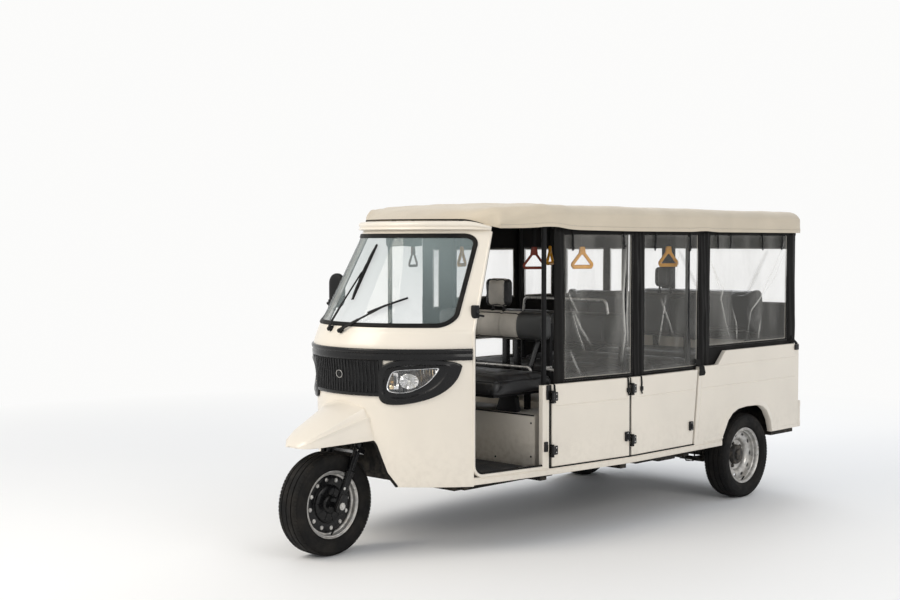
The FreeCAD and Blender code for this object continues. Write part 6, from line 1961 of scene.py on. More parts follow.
# Front curtain of the right side, rolled up under the eaves
ROLL = ((1.606, 0.0022), (1.606, 0.0045), (1.590, 0.0075), (1.570, 0.0105), (1.548, 0.0115), (1.530, 0.0090),
        (1.520, 0.0055), (1.524, 0.0025), (1.545, 0.0020), (1.575, 0.0020))
STRAPS = {
    "left": (1.175, 1.560, 1.850, 2.185, 2.470, 2.610, 2.960, 3.193),
    "right": (1.660, 2.080, 2.390, 2.760, 3.000, 3.215),
}
for side, sign in SIGN.items():
    flaps = []
    for n, (a, b, low, high) in enumerate(FLAPS[side]):
        rows = []
        for i in range(9):
            share = i / 8
            row = []
            for j in range(34):
                z = low + (high - low) * j / 33
                roll = 0.0045 * math.sin(math.pi * share) ** 0.5 + 0.0020 * math.sin(share * 9 + z * 7 + n)
                roll += 0.0014 * math.sin(z * 23 + n * 2)
                row.append(curtain_point(a + (b - a) * share + 0.002 * math.sin(z * 9 + n), z,
                                         0.0022 + roll + 0.0012 * (n % 2), side))
            rows.append(row)
        flap = turned_to(grid("flap", rows, "curtain", angle=60), (0, sign, 0))
        flaps.append(settled(eased(thick(flap, CLOTH_DEEP, -1.0), 0.0005, 1, 60), 60))
    strip_rows = []
    for s in np.linspace(CURTAIN_FRONT[side], CURTAIN_BACK, 60):
        strip_rows.append([curtain_point(s, z, out, side) for z, out in
                           ((1.586, 0.0006), (1.5845, 0.0030), (1.592, 0.0040), (1.606, 0.0034), (1.630, 0.0034),
                            (1.630, 0.0010))])
    flaps.append(loft("strip", strip_rows, "curtain", 60))
    if side == "right":
        roll_rows = []
        for s in np.linspace(0.985, 1.300, 28):
            roll_rows.append([curtain_point(s, z + 0.002 * math.sin(s * 35),
                                            out + 0.0010 * math.sin(s * 60 + z * 40), side) for z, out in ROLL])
        flaps.append(loft("roll", roll_rows, "curtain", 60))
    finished("curtain_flaps_" + side, flaps, 60)
    straps = []
    for n, s in enumerate(STRAPS[side]):
        lean = 0.006 * math.sin(n * 2.3)
        low = 1.500 + 0.008 * math.sin(n * 1.7)
        line = [curtain_point(s, 1.628, 0.0050, side), curtain_point(s, 1.585, 0.0075, side),
                curtain_point(s + lean * 0.4, 1.545, 0.0085, side), curtain_point(s + lean, low, 0.0070, side)]
        straps.append(strap("strap", line, 0.013, 0.0022, "webbing", Vector((0, sign, 0)), 0.008))
        slide = round_box(s - 0.009 + lean, low + 0.010, s + 0.009 + lean, low + 0.020, 0.002, 3)
        straps.append(slab("slide", slide, 0.0045, lambda u, v, w: curtain_point(u, v, 0.0065 + w, side),
                           "gloss_black", 0.001, 1))
    finished("roll_up_straps_" + side, straps, 45)
    # Lower tails over the quarter's front edge and at the rear post, with their buckles
    tails = []
    rows = []
    for i in range(7):
        s = 2.240 + 0.052 * i / 6
        rows.append([spot(s + dx, sign * y, z) for y, z, dx in
                     ((0.6560, 0.870, 0.0), (0.6650, 0.838, 0.0), (0.6800, 0.8315, 0.001), (0.6875, 0.826, 0.002),
                      (0.6890, 0.810, 0.003), (0.6885, 0.792, 0.002 * i), (0.6878, 0.7765, 0.003))])
    tail = grid("tail", rows, "curtain", angle=70)
    middle = tail.data.polygons[len(tail.data.polygons) // 2]
    if middle.normal.y * sign < 0:
        tail.data.flip_normals()
    tails.append(settled(thick(tail, 0.0018, 0.0), 60))
    line = [spot(3.322, sign * 0.6560, 0.955), spot(3.322, sign * 0.6700, 0.925),
            spot(3.324, sign * 0.6870, 0.9085), spot(3.324, sign * 0.6885, 0.880)]
    tails.append(strap("rear_strap", line, 0.030, 0.0024, "webbing", Vector((0, sign, 0)), 0.008))
    outline = round_box(3.302, 0.866, 3.346, 0.902, 0.006, 4)
    tails.append(slab("buckle", outline, 0.009, lambda u, v, w: spot(u, sign * (0.6858 + w), v), "gloss_black",
                      0.0025, 2))
    finished("curtain_tails_" + side, tails, 45)

# Rear curtain with its two windows; it hangs outside the tail panel
BACK_X = at(TAIL) - 0.0075
BACK_LOW, WINDOW_LOW, WINDOW_HIGH = 0.878, 1.160, 1.500
BACK_WINDOWS = ((-0.600, -0.374), (-0.262, 0.587))


def back_point(y, z, out=0.0):
    free = min(1.0, (1.60 - z) / 0.2) if z < 1.60 else 0.0
    wave = free * (0.0020 * math.sin(y * 14) + 0.0013 * math.sin(y * 33 + z * 5))
    return Vector((BACK_X - out - wave, y, z))


ys = evenly([-0.645] + [y for pair in BACK_WINDOWS for y in pair] + [0.645], 0.028)
zs = evenly([BACK_LOW, WINDOW_LOW, WINDOW_HIGH, 1.638], 0.028)
points = [back_point(y, z) for y in ys for z in zs]
faces = []
for i in range(len(ys) - 1):
    for j in range(len(zs) - 1):
        y, z = (ys[i] + ys[i + 1]) / 2, (zs[j] + zs[j + 1]) / 2
        if not (WINDOW_LOW < z < WINDOW_HIGH and any(a < y < b for a, b in BACK_WINDOWS)):
            k = i * len(zs) + j
            faces.append((k, k + 1, k + len(zs) + 1, k + len(zs)))
rear_cloth = piece("curtain_cloth_rear", points, faces, "curtain", 60)
bm = bmesh.new()
bm.from_mesh(rear_cloth.data)
bmesh.ops.delete(bm, geom=[v for v in bm.verts if not v.link_faces], context="VERTS")
bm.to_mesh(rear_cloth.data)
bm.free()
turned_to(rear_cloth, (-1, 0, 0))
settled(thick(rear_cloth, CLOTH_DEEP, 0.0), 60)
fit(rear_cloth, "root", ["curtain_rear"])
rear_panes, rear_trim = [], []
for near, far in BACK_WINDOWS:
    rows, sheen_and_scuffs = [], []
    count = round((far - near + 2 * PANE_LAP) / 0.010)
    for i in range(count + 1):
        y = near - PANE_LAP + (far - near + 2 * PANE_LAP) * i / count
        row = []
        for j in range(37):
            z = WINDOW_LOW - PANE_LAP + (WINDOW_HIGH - WINDOW_LOW + 2 * PANE_LAP) * j / 36
            edge = off_edge(y, z, near, far, WINDOW_LOW, WINDOW_HIGH)
            fold = sum(math.exp(-(gap / 0.014) ** 2)
                       for gap in (y - 0.30 - (z - 1.2) * 0.5, y + 0.06 + (z - 1.2) * 0.6))
            billow = 0.005 * fold + 0.003 * noise.noise(Vector((y * 9, z * 8, 7)))
            row.append(back_point(y, z, -0.002 + edge * billow))
            # Painted highlight along the two folds; the mask is 0.12 at the lapped edge.
            sheen_and_scuffs.append(0.5 * fold * edge + 0.12 * (1 - edge))
        rows.append(row)
    rear_panes.append(creased_pane(rows, sheen_and_scuffs))
    line = opening_loop((near, far, WINDOW_LOW, WINDOW_HIGH), BINDING_OFF, 0.03, lambda y, z: back_point(y, z, 0.0008))
    rear_trim += [swept("binding", line, [p for p in BINDING if p[0]], "curtain", True, up=Vector((-1, 0, 0)),
                        angle=60),
                  stitched("stitches", [p + Vector((-0.0018, 0, 0)) for p in line + line[:1]], PANE_STITCH)]
rear_pane = finished("curtain_panes_rear", rear_panes, 80, ["curtain_panes"])
rear_binding = joined("curtain_binding_rear", rear_trim)
fit(rear_binding, "root")


# ---------- seats ----------

def pad_start(name, long, wide, deep, corner, edge, voxel):
    """Slightly small block of a pad in its own axes: long, wide and deep, its back at zero."""
    inset = 0.010
    outline = round_box(inset, -wide / 2 + inset, long - inset, wide / 2 - inset, corner, 6)
    block = slab(name, outline, deep * 0.78, lambda u, v, w: (u, v, w), "seat_black", edge, 4)
    m = block.modifiers.new("even", "REMESH")
    m.mode = "VOXEL"
    m.voxel_size = voxel
    m.use_smooth_shade = True
    return settled(block, 60)


PUFF_FRAMES = 20


def blown(obj, most, pressure):
    """Presses the pad up from inside as cloth; its back stays held and no point goes further than most."""
    start = np.array([v.co[:] for v in obj.data.vertices])
    deep = start[:, 2].max()
    held = obj.vertex_groups.new(name="held")
    held.add([i for i, p in enumerate(start) if p[2] < deep * 0.06], 1.0, "REPLACE")
    cloth = obj.modifiers.new("pressed", "CLOTH")
    cloth.settings.quality = 5
    cloth.settings.mass = 0.35
    cloth.settings.tension_stiffness = 12
    cloth.settings.compression_stiffness = 12
    cloth.settings.shear_stiffness = 6
    cloth.settings.bending_stiffness = 0.6
    cloth.settings.use_pressure = True
    cloth.settings.uniform_pressure_force = pressure
    cloth.settings.vertex_group_mass = "held"
    cloth.settings.effector_weights.gravity = 0
    cloth.collision_settings.use_collision = False
    cloth.point_cache.frame_start = 1
    cloth.point_cache.frame_end = PUFF_FRAMES
    scene = bpy.context.scene
    for tick in range(1, PUFF_FRAMES + 1):
        scene.frame_set(tick)
    graph = bpy.context.evaluated_depsgraph_get()
    puffed = obj.evaluated_get(graph).to_mesh()
    end = np.array([v.co[:] for v in puffed.vertices])
    obj.evaluated_get(graph).to_mesh_clear()
    obj.modifiers.clear()
    obj.vertex_groups.clear()
    scene.frame_set(1)
    step = end - start
    length = np.linalg.norm(step, axis=1)[:, None]
    step *= np.minimum(1.0, most / np.maximum(length, 1e-9))
    obj.data.vertices.foreach_set("co", (start + step).ravel())
    obj.data.update()
    return obj


PAD_FORMS = {}


def pad_form(kind, long, wide, deep, corner, edge, voxel, most):
    """One blown pad of each kind, kept as numbers from 0 to 1 so that a row of its own size can use it."""
    if kind not in PAD_FORMS:
        raw = blown(pad_start("pad", long, wide, deep, corner, edge, voxel), most, 4.0)
        settled(finer(raw, 1), 60)
        at_points = np.array([v.co[:] for v in raw.data.vertices])
        low, high = at_points.min(0), at_points.max(0)
        share = (at_points - low) / (high - low)
        PAD_FORMS[kind] = (share, [tuple(p.vertices) for p in raw.data.polygons])
        drop(raw)
    return PAD_FORMS[kind]


# The welt's height as a share of the pad's, and the stitches' distance from a seam
WELT_AT, STITCH_OFF = 0.70, 0.0055


def sewn_pad(name, kind, size, corner, voxel, seams, colours, middle, turn, channels=()):
    """Pad cut to its own size, its panels coloured between seams, with sunk seams, stitches and a welt."""
    long, wide, deep = size
    share, faces = pad_form(kind, long, wide, deep, corner, 0.020, voxel, 0.026)
    where = share * np.array([long, wide, deep]) - np.array([0, wide / 2, 0])
    pad = piece(name, [tuple(p) for p in where], faces, "seat_black", 60)
    bm = bmesh.new()
    bm.from_mesh(pad.data)
    for v in seams + tuple(-s for s in seams):
        bmesh.ops.bisect_plane(bm, geom=bm.verts[:] + bm.edges[:] + bm.faces[:], plane_co=(0, v, 0),
                               plane_no=(0, 1, 0), dist=0.0004)
    bm.to_mesh(pad.data)
    bm.free()
    pad.data.update()
    lines_v = list(seams) + [-s for s in seams]
    twin = [s for pair in channels for s in (pair, -pair)]
    sunk = []
    for vert in pad.data.vertices:
        u, v, w = vert.co
        near = (sum(math.exp(-((v - s) / 0.0075) ** 2) for s in lines_v)
                + sum(math.exp(-((v - s) / 0.006) ** 2) for s in twin))
        pucker = 0.0006 * math.sin(u * 260) * sum(math.exp(-((abs(v - s) - 0.014) / 0.010) ** 2)
                                                  for s in lines_v + twin)
        rim = math.exp(-((w - deep * WELT_AT) / 0.006) ** 2)
        wear = 0.0012 * noise.noise(Vector((u * 9, v * 7, w * 9 + long * 31)))
        sunk.append(-0.0046 * min(1.0, near) + pucker - 0.0020 * rim + wear)
    normals = [v.normal.copy() for v in pad.data.vertices]
    for vert, down, normal in zip(pad.data.vertices, sunk, normals):
        if vert.co.z > deep * 0.12:
            vert.co += normal * down
    finishes = list(dict.fromkeys(colours))
    pad.data.materials.clear()
    for c in finishes:
        pad.data.materials.append(M[c])
    for face in pad.data.polygons:
        panel = sum(face.center.y > s for s in lines_v)
        face.material_index = finishes.index(colours[panel])
    bm = bmesh.new()
    bm.from_mesh(pad.data)
    skin = BVHTree.FromBMesh(bm)
    bm.free()

    def top(u, v):
        hit = skin.ray_cast(Vector((u, v, 1.0)), Vector((0, 0, -1)))[0]
        return hit or Vector((u, v, deep * 0.8))
    extras = []
    for s in lines_v + twin:
        for off in (-STITCH_OFF, STITCH_OFF):
            line = [top(u, s + off) for u in np.arange(0.028, long - 0.026, 0.006)]
            extras.append(stitched("stitches", line, 0.0068))
    ring_line = []
    outline = round_box(-0.05, -wide / 2 - 0.05, long + 0.05, wide / 2 + 0.05, corner + 0.05, 8)
    full = resampled([(u, v, 0) for u, v in outline] + [(*outline[0], 0)], np.linspace(0, 1, 181))[:-1]
    for p in full:
        inner = Vector((min(max(p.x, 0.06), long - 0.06), min(max(p.y, -wide / 2 + 0.06), wide / 2 - 0.06),
                        deep * WELT_AT))
        away = Vector((p.x, p.y, deep * WELT_AT)) - inner
        hit = skin.ray_cast(inner, away.normalized())[0]
        if hit:
            ring_line.append(hit + away.normalized() * 0.0006)
    extras.append(swept("welt", ring_line, ring(0.0034, 8), "seat_black", closed=True))
    trim = joined(name + "_seams", extras)
    for obj in (pad, trim):
        obj.data.transform(Matrix.Translation(middle) @ turn.to_4x4())
        obj.data.update()
    smooth(trim.data, 45)
    return pad, trim


LYING = Matrix.Identity(3)
STANDING = Matrix(((0, 0, 1), (0, -1, 0), (1, 0, 0)))
SEAM_IN, CHANNEL = 0.195, 0.084
BLACK3 = ("seat_black", "seat_black", "seat_black")
DARK3 = ("seat_black", "seat_dark", "seat_black")
ROWS = (
    # name, cushion's first and last station, half width, back's station, back low, back high, half width, back colours
    # The driver's back has its middle panel in the light grey vinyl that carries painted sunlight.
    ("driver", 0.720, 1.181, 0.480, 1.185, 1.012, 1.168, 0.400, ("seat_dark", "seat_pale_sunlit", "seat_dark")),
    ("first", 1.400, 1.816, 0.500, 1.820, 0.947, 1.140, 0.500, DARK3),
    ("second", 2.040, 2.466, 0.500, 2.470, 0.960, 1.245, 0.500, DARK3),
    ("third", 2.720, 3.176, 0.480, 3.180, 0.960, 1.240, 0.480, DARK3),
)
for name, near, far, half, back, low, high, back_half, colours in ROWS:
    seam = half - SEAM_IN
    pad, trim = sewn_pad(name + "_cushion", "cushion", (far - near, half * 2, 0.094), 0.040, 0.0150, (seam,), BLACK3,
                         spot(far, 0, 0.7655), LYING, channels=(CHANNEL,))
    fit(pad, "root", ["seat_cushions"])
    fit(trim, "root")
    seam = 0.205 if name == "driver" else back_half - SEAM_IN
    kind = "low_back" if high - low < 0.25 else "high_back"
    pad, trim = sewn_pad(name + "_back", kind, (high - low, back_half * 2, 0.088), 0.035, 0.0120, (seam,), colours,
                         Vector((at(back) - 0.0885, 0, low)), STANDING, channels=(CHANNEL,))
    fit(pad, "root", ["seat_backs"])
    fit(trim, "root")
# The driver's headrest middle is the light grey vinyl with painted sunlight.
HEADS = (("driver", 1.205, 0.040, 1.190, 1.345, 0.086, "seat_pale_sunlit"),
         ("second", 2.490, 0.250, 1.272, 1.395, 0.066, "seat_dark"))
for name, station, y, low, high, half, colour in HEADS:
    pad, trim = sewn_pad(name + "_headrest", "head_" + name, (high - low, half * 2, 0.060), 0.024, 0.0065,
                         (half - 0.030,), ("seat_black", colour, "seat_black"),
                         Vector((at(station) - 0.0605, y, low)), STANDING)
    fit(pad, "root", ["seat_backs"])
    fit(trim, "root")
stalks = []
for name, station, y, low, high, half, colour in HEADS:
    foot = 1.158 if name == "driver" else 1.236
    for off in (-0.040, 0.040):
        stalks.append(tube("stalk",
                           [(at(station + 0.030), y + off, foot), (at(station + 0.030), y + off, low + 0.012)],
                           0.0065, "gloss_black"))
        stalks.append(turned("collar", [(foot - 0.004, 0.010), (foot + 0.012, 0.0115), (foot + 0.016, 0.009),
                                        (foot + 0.016, 0.0)],
                             (at(station + 0.030), y + off, 0), "satin_black", 20, "Z", False))
stalk_set = joined("headrest_stalks", stalks)
fit(stalk_set, "root")

# Back rails, guards and supports of bent tube and flat bar
tubes = []
tubes.append(tube("guard", [(at(1.196), -0.307, 0.764), (at(1.196), -0.307, 0.869), (at(1.196), 0.307, 0.869),
                            (at(1.196), 0.307, 0.764)], 0.0075, "tube_grey", 0.022))
for sign in (1, -1):
    tubes.append(tube("side_guard", [(at(1.290), sign * 0.372, 0.868), (at(1.215), sign * 0.372, 0.868),
                                     (at(1.200), sign * 0.488, 0.862), (at(1.190), sign * 0.4885, 0.772),
                                     (at(1.160), sign * 0.446, 0.7605)], 0.0085, "tube_grey", 0.020))
tubes.append(tube("top_rail", [(at(1.862), -0.322, 1.118), (at(1.858), -0.306, 1.212), (at(1.858), 0.306, 1.212),
                               (at(1.862), 0.322, 1.118)], 0.0085, "tube_grey", 0.030, 14))
finished("seat_tubes", tubes, 40)
bars_made = []
BAR_SPOTS = ((0.054, 0.054), (0.137, 0.137), (0.205, 0.290), (-0.205, -0.290), (-0.250, -0.250))
for low_y, high_y in BAR_SPOTS:
    line = [(at(1.120), low_y, 0.7470), (at(1.262), low_y, 0.7470), (at(1.284), low_y, 0.800),
            (at(1.284), high_y, 1.015), (at(1.284), high_y, 1.090)]
    bars_made.append(strap("bar", line, 0.054, 0.007, "gloss_black", Vector((1, 0, 1)), 0.02))
finished("driver_back_bars", bars_made, 40)
bolts = []
for _, y in BAR_SPOTS:
    for z in (1.045, 1.075):
        bolts.append((spot(1.2880, y, z), facing((-1, 0, 0))))
bolt_set = repeated("driver_back_bolts", hex_bolt(0.006, 0.004), bolts, "bright")
fit(bolt_set, "root")


# ---------- wheels ----------

def axes_turn(x_axis, y_axis, z_axis):
    """Euler turn of a part whose own axes lie along three directions."""
    m = Matrix((x_axis, y_axis, z_axis)).transposed()
    return tuple(m.to_euler())


def spoke(t):
    """Outward and forward directions on a wheel at an angle."""
    return Vector((math.sin(t), 0, math.cos(t))), Vector((math.cos(t), 0, -math.sin(t)))


TREAD = [(0.0, 0.2475), (0.0026, 0.2475), (0.0034, 0.2536), (0.0175, 0.2540), (0.0305, 0.2536), (0.0313, 0.2475),
         (0.0365, 0.2475), (0.0373, 0.2530), (0.050, 0.2512), (0.058, 0.2478), (0.0645, 0.2415), (0.0690, 0.2330),
         (0.0700, 0.2312), (0.0712, 0.2306), (0.0714, 0.2262), (0.0722, 0.2100), (0.0716, 0.1990), (0.0700, 0.1972),
         (0.0703, 0.1950), (0.0692, 0.1930), (0.0680, 0.1850), (0.0650, 0.1790), (0.0600, 0.1722), (0.0520, 0.1690),
         (0.0490, 0.1612)]
CASING = [(0.0440, 0.1625), (0.046, 0.172), (0.060, 0.186), (0.0655, 0.205), (0.062, 0.232), (0.048, 0.2425),
          (0, 0.2440)]
RIM_EDGE = [(0.0500, 0.1600), (0.0505, 0.1672), (0.0530, 0.1684), (0.0550, 0.1676), (0.0554, 0.1650), (0.0535, 0.1618),
            (0.0510, 0.1600), (0.0500, 0.1555), (0.0455, 0.1530), (0.0310, 0.1520), (0.0285, 0.1495), (0.0275, 0.1440),
            (0.0200, 0.1425)]


TREAD_LUGS = 84


def tyre(name, centre, body, node):
    profile = TREAD + CASING + [(-y, out) for y, out in (TREAD[1:] + CASING[:-1])[::-1]]
    casing = turned("casing", profile, centre, "tyre", 120, "Y", True, 38)
    lug = slab("lug", [(-0.0075, -0.0085), (0.0075, -0.0105), (0.0075, 0.0085), (-0.0075, 0.0105)], 0.0040,
               lambda u, v, w: (u, v, w - 0.0026), "tyre", 0.0010, 1)
    spots = []
    for i in range(TREAD_LUGS):
        for side in (1, -1):
            t = 2 * math.pi * (i + 0.5 * (side < 0)) / TREAD_LUGS
            out, around = spoke(t)
            tilt = (out * math.cos(0.42) + Vector((0, side, 0)) * math.sin(0.42)).normalized()
            across = tilt.cross(around).normalized()
            spots.append((Vector(centre) + out * 0.2482 + Vector((0, side * 0.0575, 0)),
                          axes_turn(around, across, tilt)))
    lugs = repeated("lugs", lug, spots, "tyre")
    slit = slab("slit", [(-0.0006, -0.0110), (0.0006, -0.0110), (0.0006, 0.0110), (-0.0006, 0.0110)], 0.0006,
                lambda u, v, w: (u, v, w), "seal", 0.0, 1)
    cuts = []
    for i in range(TREAD_LUGS * 2 // 3):
        for y in (-0.0175, 0.0175):
            t = 2 * math.pi * (i + (0.5 if y < 0 else 0.0)) / (TREAD_LUGS * 2 // 3)
            out, around = spoke(t)
            around = (around + Vector((0, 0.35, 0))).normalized()
            cuts.append((Vector(centre) + out * 0.2538 + Vector((0, y, 0)), axes_turn(around, out.cross(around), out)))
    slits = repeated("slits", slit, cuts, "seal")
    band = [(0.0710, 0.2210), (0.0722, 0.2205), (0.0727, 0.2190), (0.0722, 0.2175), (0.0710, 0.2170)]
    rings = [turned("ring", [(s * y, out) for y, out in band], centre, "tyre", 120, "Y", True) for s in (1, -1)]
    valve = tube("valve", [Vector(centre) + Vector((0.0, 0.040, -0.150)),
                           Vector(centre) + Vector((0.0, 0.058, -0.128))], 0.0045, "seal")
    finished(name, [casing, lugs, slits, valve] + rings, 38, [node], body)


def wheel_spot(centre, radius, count, y, side, start=0.0):
    """Evenly spaced places on a wheel's face."""
    spots = []
    for i in range(count):
        t = 2 * math.pi * i / count + start
        spots.append((Vector(centre) + Vector((radius * math.sin(t), y, radius * math.cos(t))),
                      facing((0, side, 0), t)))
    return spots


WHEEL_RADIUS, REAR_TRACK_HALF = 0.254, 0.595
front_centre = (AXLE, 0, WHEEL_RADIUS)
tyre("front_tyre_tread", front_centre, "front_wheel", "front_tyre")
rim = turned("rim", both(RIM_EDGE), front_centre, "silver", 120, "Y", True, 30)
DISC = [(0.0170, 0.1440), (0.0215, 0.1425), (0.0228, 0.1380), (0.0230, 0.1050), (0.0216, 0.1000), (0.0224, 0.0955),
        (0.0310, 0.0910), (0.0345, 0.0840), (0.0352, 0.0700), (0.0345, 0.0470), (0.0420, 0.0430), (0.0445, 0.0390),
        (0.0450, 0.0130)]
disc = turned("disc", both(DISC), front_centre, "gloss_black", 110, "Y", True, 34)
ribs = []
for i in range(10):
    t = 2 * math.pi * i / 10 + 0.2
    out = spoke(t)[0]
    for side in (1, -1):
        low = Vector(front_centre) + out * 0.048 + Vector((0, side * 0.0350, 0))
        high = Vector(front_centre) + out * 0.084 + Vector((0, side * 0.0350, 0))
        ribs.append(strap("rib", [low, high], 0.007, 0.005, "gloss_black", Vector((0, side, 0))))
studs = [repeated("studs", hex_bolt(0.0075, 0.0060, 1.35),
                  wheel_spot(front_centre, 0.1215, 12, side * 0.0228, side, 0.12), "bright")
         for side in (1, -1)]
finished("front_rim_and_drum", [rim, disc] + ribs + studs, 34, ["front_rim"], body="front_wheel")

REAR_DISC = [(0.0080, 0.1510), (0.0120, 0.1470), (0.0150, 0.1370), (0.0162, 0.1260), (0.0158, 0.1130),
             (0.0120, 0.1010), (0.0020, 0.0930), (-0.0110, 0.0890), (-0.0140, 0.0800), (-0.0140, 0.0300),
             (-0.0185, 0.0300), (-0.0185, 0.0820), (-0.0150, 0.0930), (-0.0020, 0.0975), (0.0080, 0.1040),
             (0.0114, 0.1140), (0.0117, 0.1260), (0.0105, 0.1360), (0.0075, 0.1440), (0.0030, 0.1490)]
HUB = [(-0.0500, 0.0300), (-0.0500, 0.1060), (-0.0460, 0.1090), (-0.0240, 0.1090), (-0.0210, 0.1060),
       (-0.0190, 0.0850), (-0.0190, 0.0620), (-0.0140, 0.0600), (0.0060, 0.0580), (0.0120, 0.0540), (0.0130, 0.0340),
       (0.0240, 0.0320), (0.0270, 0.0280), (0.0280, 0.0120), (0.0300, 0.0100), (0.0300, 0.0), (-0.0500, 0.0)]
for side, word in ((1, "left"), (-1, "right")):
    centre = (at(REAR_AXLE), side * REAR_TRACK_HALF, WHEEL_RADIUS)
    body = "rear_wheel_" + word
    tyre("rear_%s_tyre_tread" % word, centre, body, "rear_%s_tyre" % word)
    rim = turned("rim", both(RIM_EDGE), centre, "silver", 110, "Y", True, 30)
    disc = turned("disc", [(side * y, out) for y, out in REAR_DISC], centre, "silver", 100, "Y", True, 34)
    slots = []
    for i in range(10):
        t = 2 * math.pi * i / 10 + 0.3
        out, around = spoke(t)
        oval = [(0.0145 * math.cos(a), 0.0085 * math.sin(a)) for a in np.linspace(0, 2 * math.pi, 25)[:-1]]
        base = Vector(centre) + out * 0.1255
        slots.append(slab("slot", oval, 0.06, lambda u, v, w: base + around * u + out * v + Vector((0, w - 0.03, 0)),
                          "silver", 0.0, 1))
    disc = carved(disc, joined("slots", slots))
    hub = turned("hub", [(side * y, out) for y, out in HUB], centre, "cast", 72, "Y", False, 34)
    nuts = repeated("nuts", hex_bolt(0.0095, 0.0110, 1.25), wheel_spot(centre, 0.0720, 5, side * -0.0140, side, 0.3),
                    "cast")
    rim_set = joined("rear_%s_wheel_steel" % word, [rim, disc, hub, nuts])
    smooth(rim_set.data, 34)
    fit(rim_set, body, ["rear_%s_rim" % word])


# ---------- fork and handlebar ----------

# The steering axis leans back 25 degrees
LEAN_SIN, LEAN_COS = 0.42262, 0.90631
STEER = Vector((-LEAN_SIN, 0, LEAN_COS))
STEER_FORE = Vector((LEAN_COS, 0, LEAN_SIN))
hub_point = Vector(front_centre)


def lathed(name, profile, start, direction, material, steps=32):
    """Profile of (along, out) pairs turned about a line."""
    direction = Vector(direction).normalized()
    side = direction.orthogonal().normalized()
    up = direction.cross(side)
    rows = []
    for i in range(steps):
        t = 2 * math.pi * i / steps
        rows.append([Vector(start) + direction * a + (side * math.cos(t) + up * math.sin(t)) * r for a, r in profile])
    rows.append(rows[0])
    return outward(grid(name, rows, material))


LEG = [(-0.034, 0.0), (-0.034, 0.015), (-0.028, 0.0205), (0.150, 0.0205), (0.156, 0.0235), (0.176, 0.0235),
       (0.182, 0.0185), (0.300, 0.0185), (0.306, 0.0220), (0.330, 0.0220), (0.334, 0.0175), (0.334, 0.0)]
SWITCH = [(-0.016, 0.0), (-0.016, 0.019), (-0.012, 0.0235), (0.010, 0.0235), (0.014, 0.0205), (0.014, 0.0)]
legs = []
for sign in (1, -1):
    y = Vector((0, sign * 0.096, 0))
    legs.append(lathed("leg", LEG, hub_point + y, STEER, "gloss_black"))
    outline = rounded_outline([(-0.030, -0.036), (0.030, -0.036), (0.021, 0.062), (-0.021, 0.062)], 0.012, 5)
    legs.append(slab("drop_out", outline, 0.012,
                     lambda u, v, w: hub_point + STEER_FORE * u + STEER * v + Vector((0, sign * (0.1105 + w), 0)),
                     "gloss_black", 0.003, 2))
    legs.append(slab("gaiter_stay", round_box(0.010, 0.07, 0.026, 0.30, 0.006, 4), 0.006,
                     lambda u, v, w: hub_point + STEER_FORE * u + STEER * v + Vector((0, sign * (0.112 + w), 0)),
                     "gloss_black", 0.0015, 1))
finished("fork_leg_sleeves", legs, 34, body="steering")
nuts = []
for sign in (1, -1):
    nuts.append((hub_point + Vector((0, sign * 0.1225, 0)), facing((0, sign, 0))))
axle_nuts = repeated("fork_axle_nuts", hex_bolt(0.0130, 0.0120, 1.4), nuts, "bright")
small = []
for sign in (1, -1):
    for a in (0.085, 0.285):
        small.append((hub_point + STEER_FORE * 0.018 + STEER * a + Vector((0, sign * 0.1180, 0)),
                      facing((0, sign, 0))))
stay_bolts = repeated("stay_bolts", hex_bolt(0.0050, 0.0040, 1.4), small, "bright")
fork_bolts = joined("fork_bolts", [axle_nuts, stay_bolts])
fit(fork_bolts, "steering")

BAR_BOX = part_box("handlebar")
bar_low, bar_high = Vector(BAR_BOX[0]), Vector(BAR_BOX[1])
grips_made = []
for sign in (1, -1):
    end = Vector((bar_low.x + 0.019, sign * (bar_high.y - 0.012), bar_high.z - 0.022))
    aim = Vector((-0.073 * LEAN_COS, sign * 0.165, -0.073 * LEAN_SIN)).normalized()
    root = end - aim * 0.112
    waves = [(0.0, 0.0), (0.0, 0.0195), (0.006, 0.0225)]
    for k in range(15):
        a = 0.010 + 0.0066 * k
        waves += [(a, 0.0205), (a + 0.0033, 0.0188)]
    waves += [(0.110, 0.0225), (0.116, 0.0225), (0.119, 0.0190), (0.120, 0.0)]
    grips_made.append(lathed("grip", waves, root, aim, "seal", 28))
    switch_at = root - aim * 0.016
    grips_made.append(lathed("switch", SWITCH, switch_at, aim, "satin_black", 24))
    fore = Vector((0.78, 0, 0.35)).normalized()
    lever = [switch_at + fore * 0.020, switch_at + fore * 0.040 + aim * 0.020, root + fore * 0.052 + aim * 0.060,
             end + fore * 0.040]
    grips_made.append(swept("lever", curved(lever, 0.02, 6), ring(0.0050, 8, 0.7), "bright"))
finished("handlebar_grips", grips_made, 40, body="steering")


# ---------- mirrors and wipers ----------

mirror_mid = spot(0.598, -0.590, 1.278)
shell_rows = []
for depth, grow in ((-0.0140, -0.0060), (-0.0135, -0.0015), (-0.0110, 0.0), (-0.004, 0.0), (0.003, -0.0025),
                    (0.0085, -0.0090), (0.0120, -0.0190), (0.0138, -0.0330)):
    corners = [(y * (1 + grow / 0.062), z * (1 + grow / 0.095))
               for y, z in ((-0.060, -0.095), (0.060, -0.095), (0.060, 0.095), (-0.060, 0.095))]
    outline = rounded_outline(corners, max(0.012, 0.056 + grow), 10)
    shell_rows.append([mirror_mid + Vector((depth, y, z)) for y, z in outline])
housing = loft("housing", shell_rows, "satin_black", 45)
glass_outline = round_box(-0.052, -0.087, 0.052, 0.087, 0.048, 10)
glass_face = slab("mirror_glass", glass_outline, 0.0016, lambda u, v, w: mirror_mid + Vector((-0.0136 - w, u, v)),
                  "mirror", 0.0006, 1)
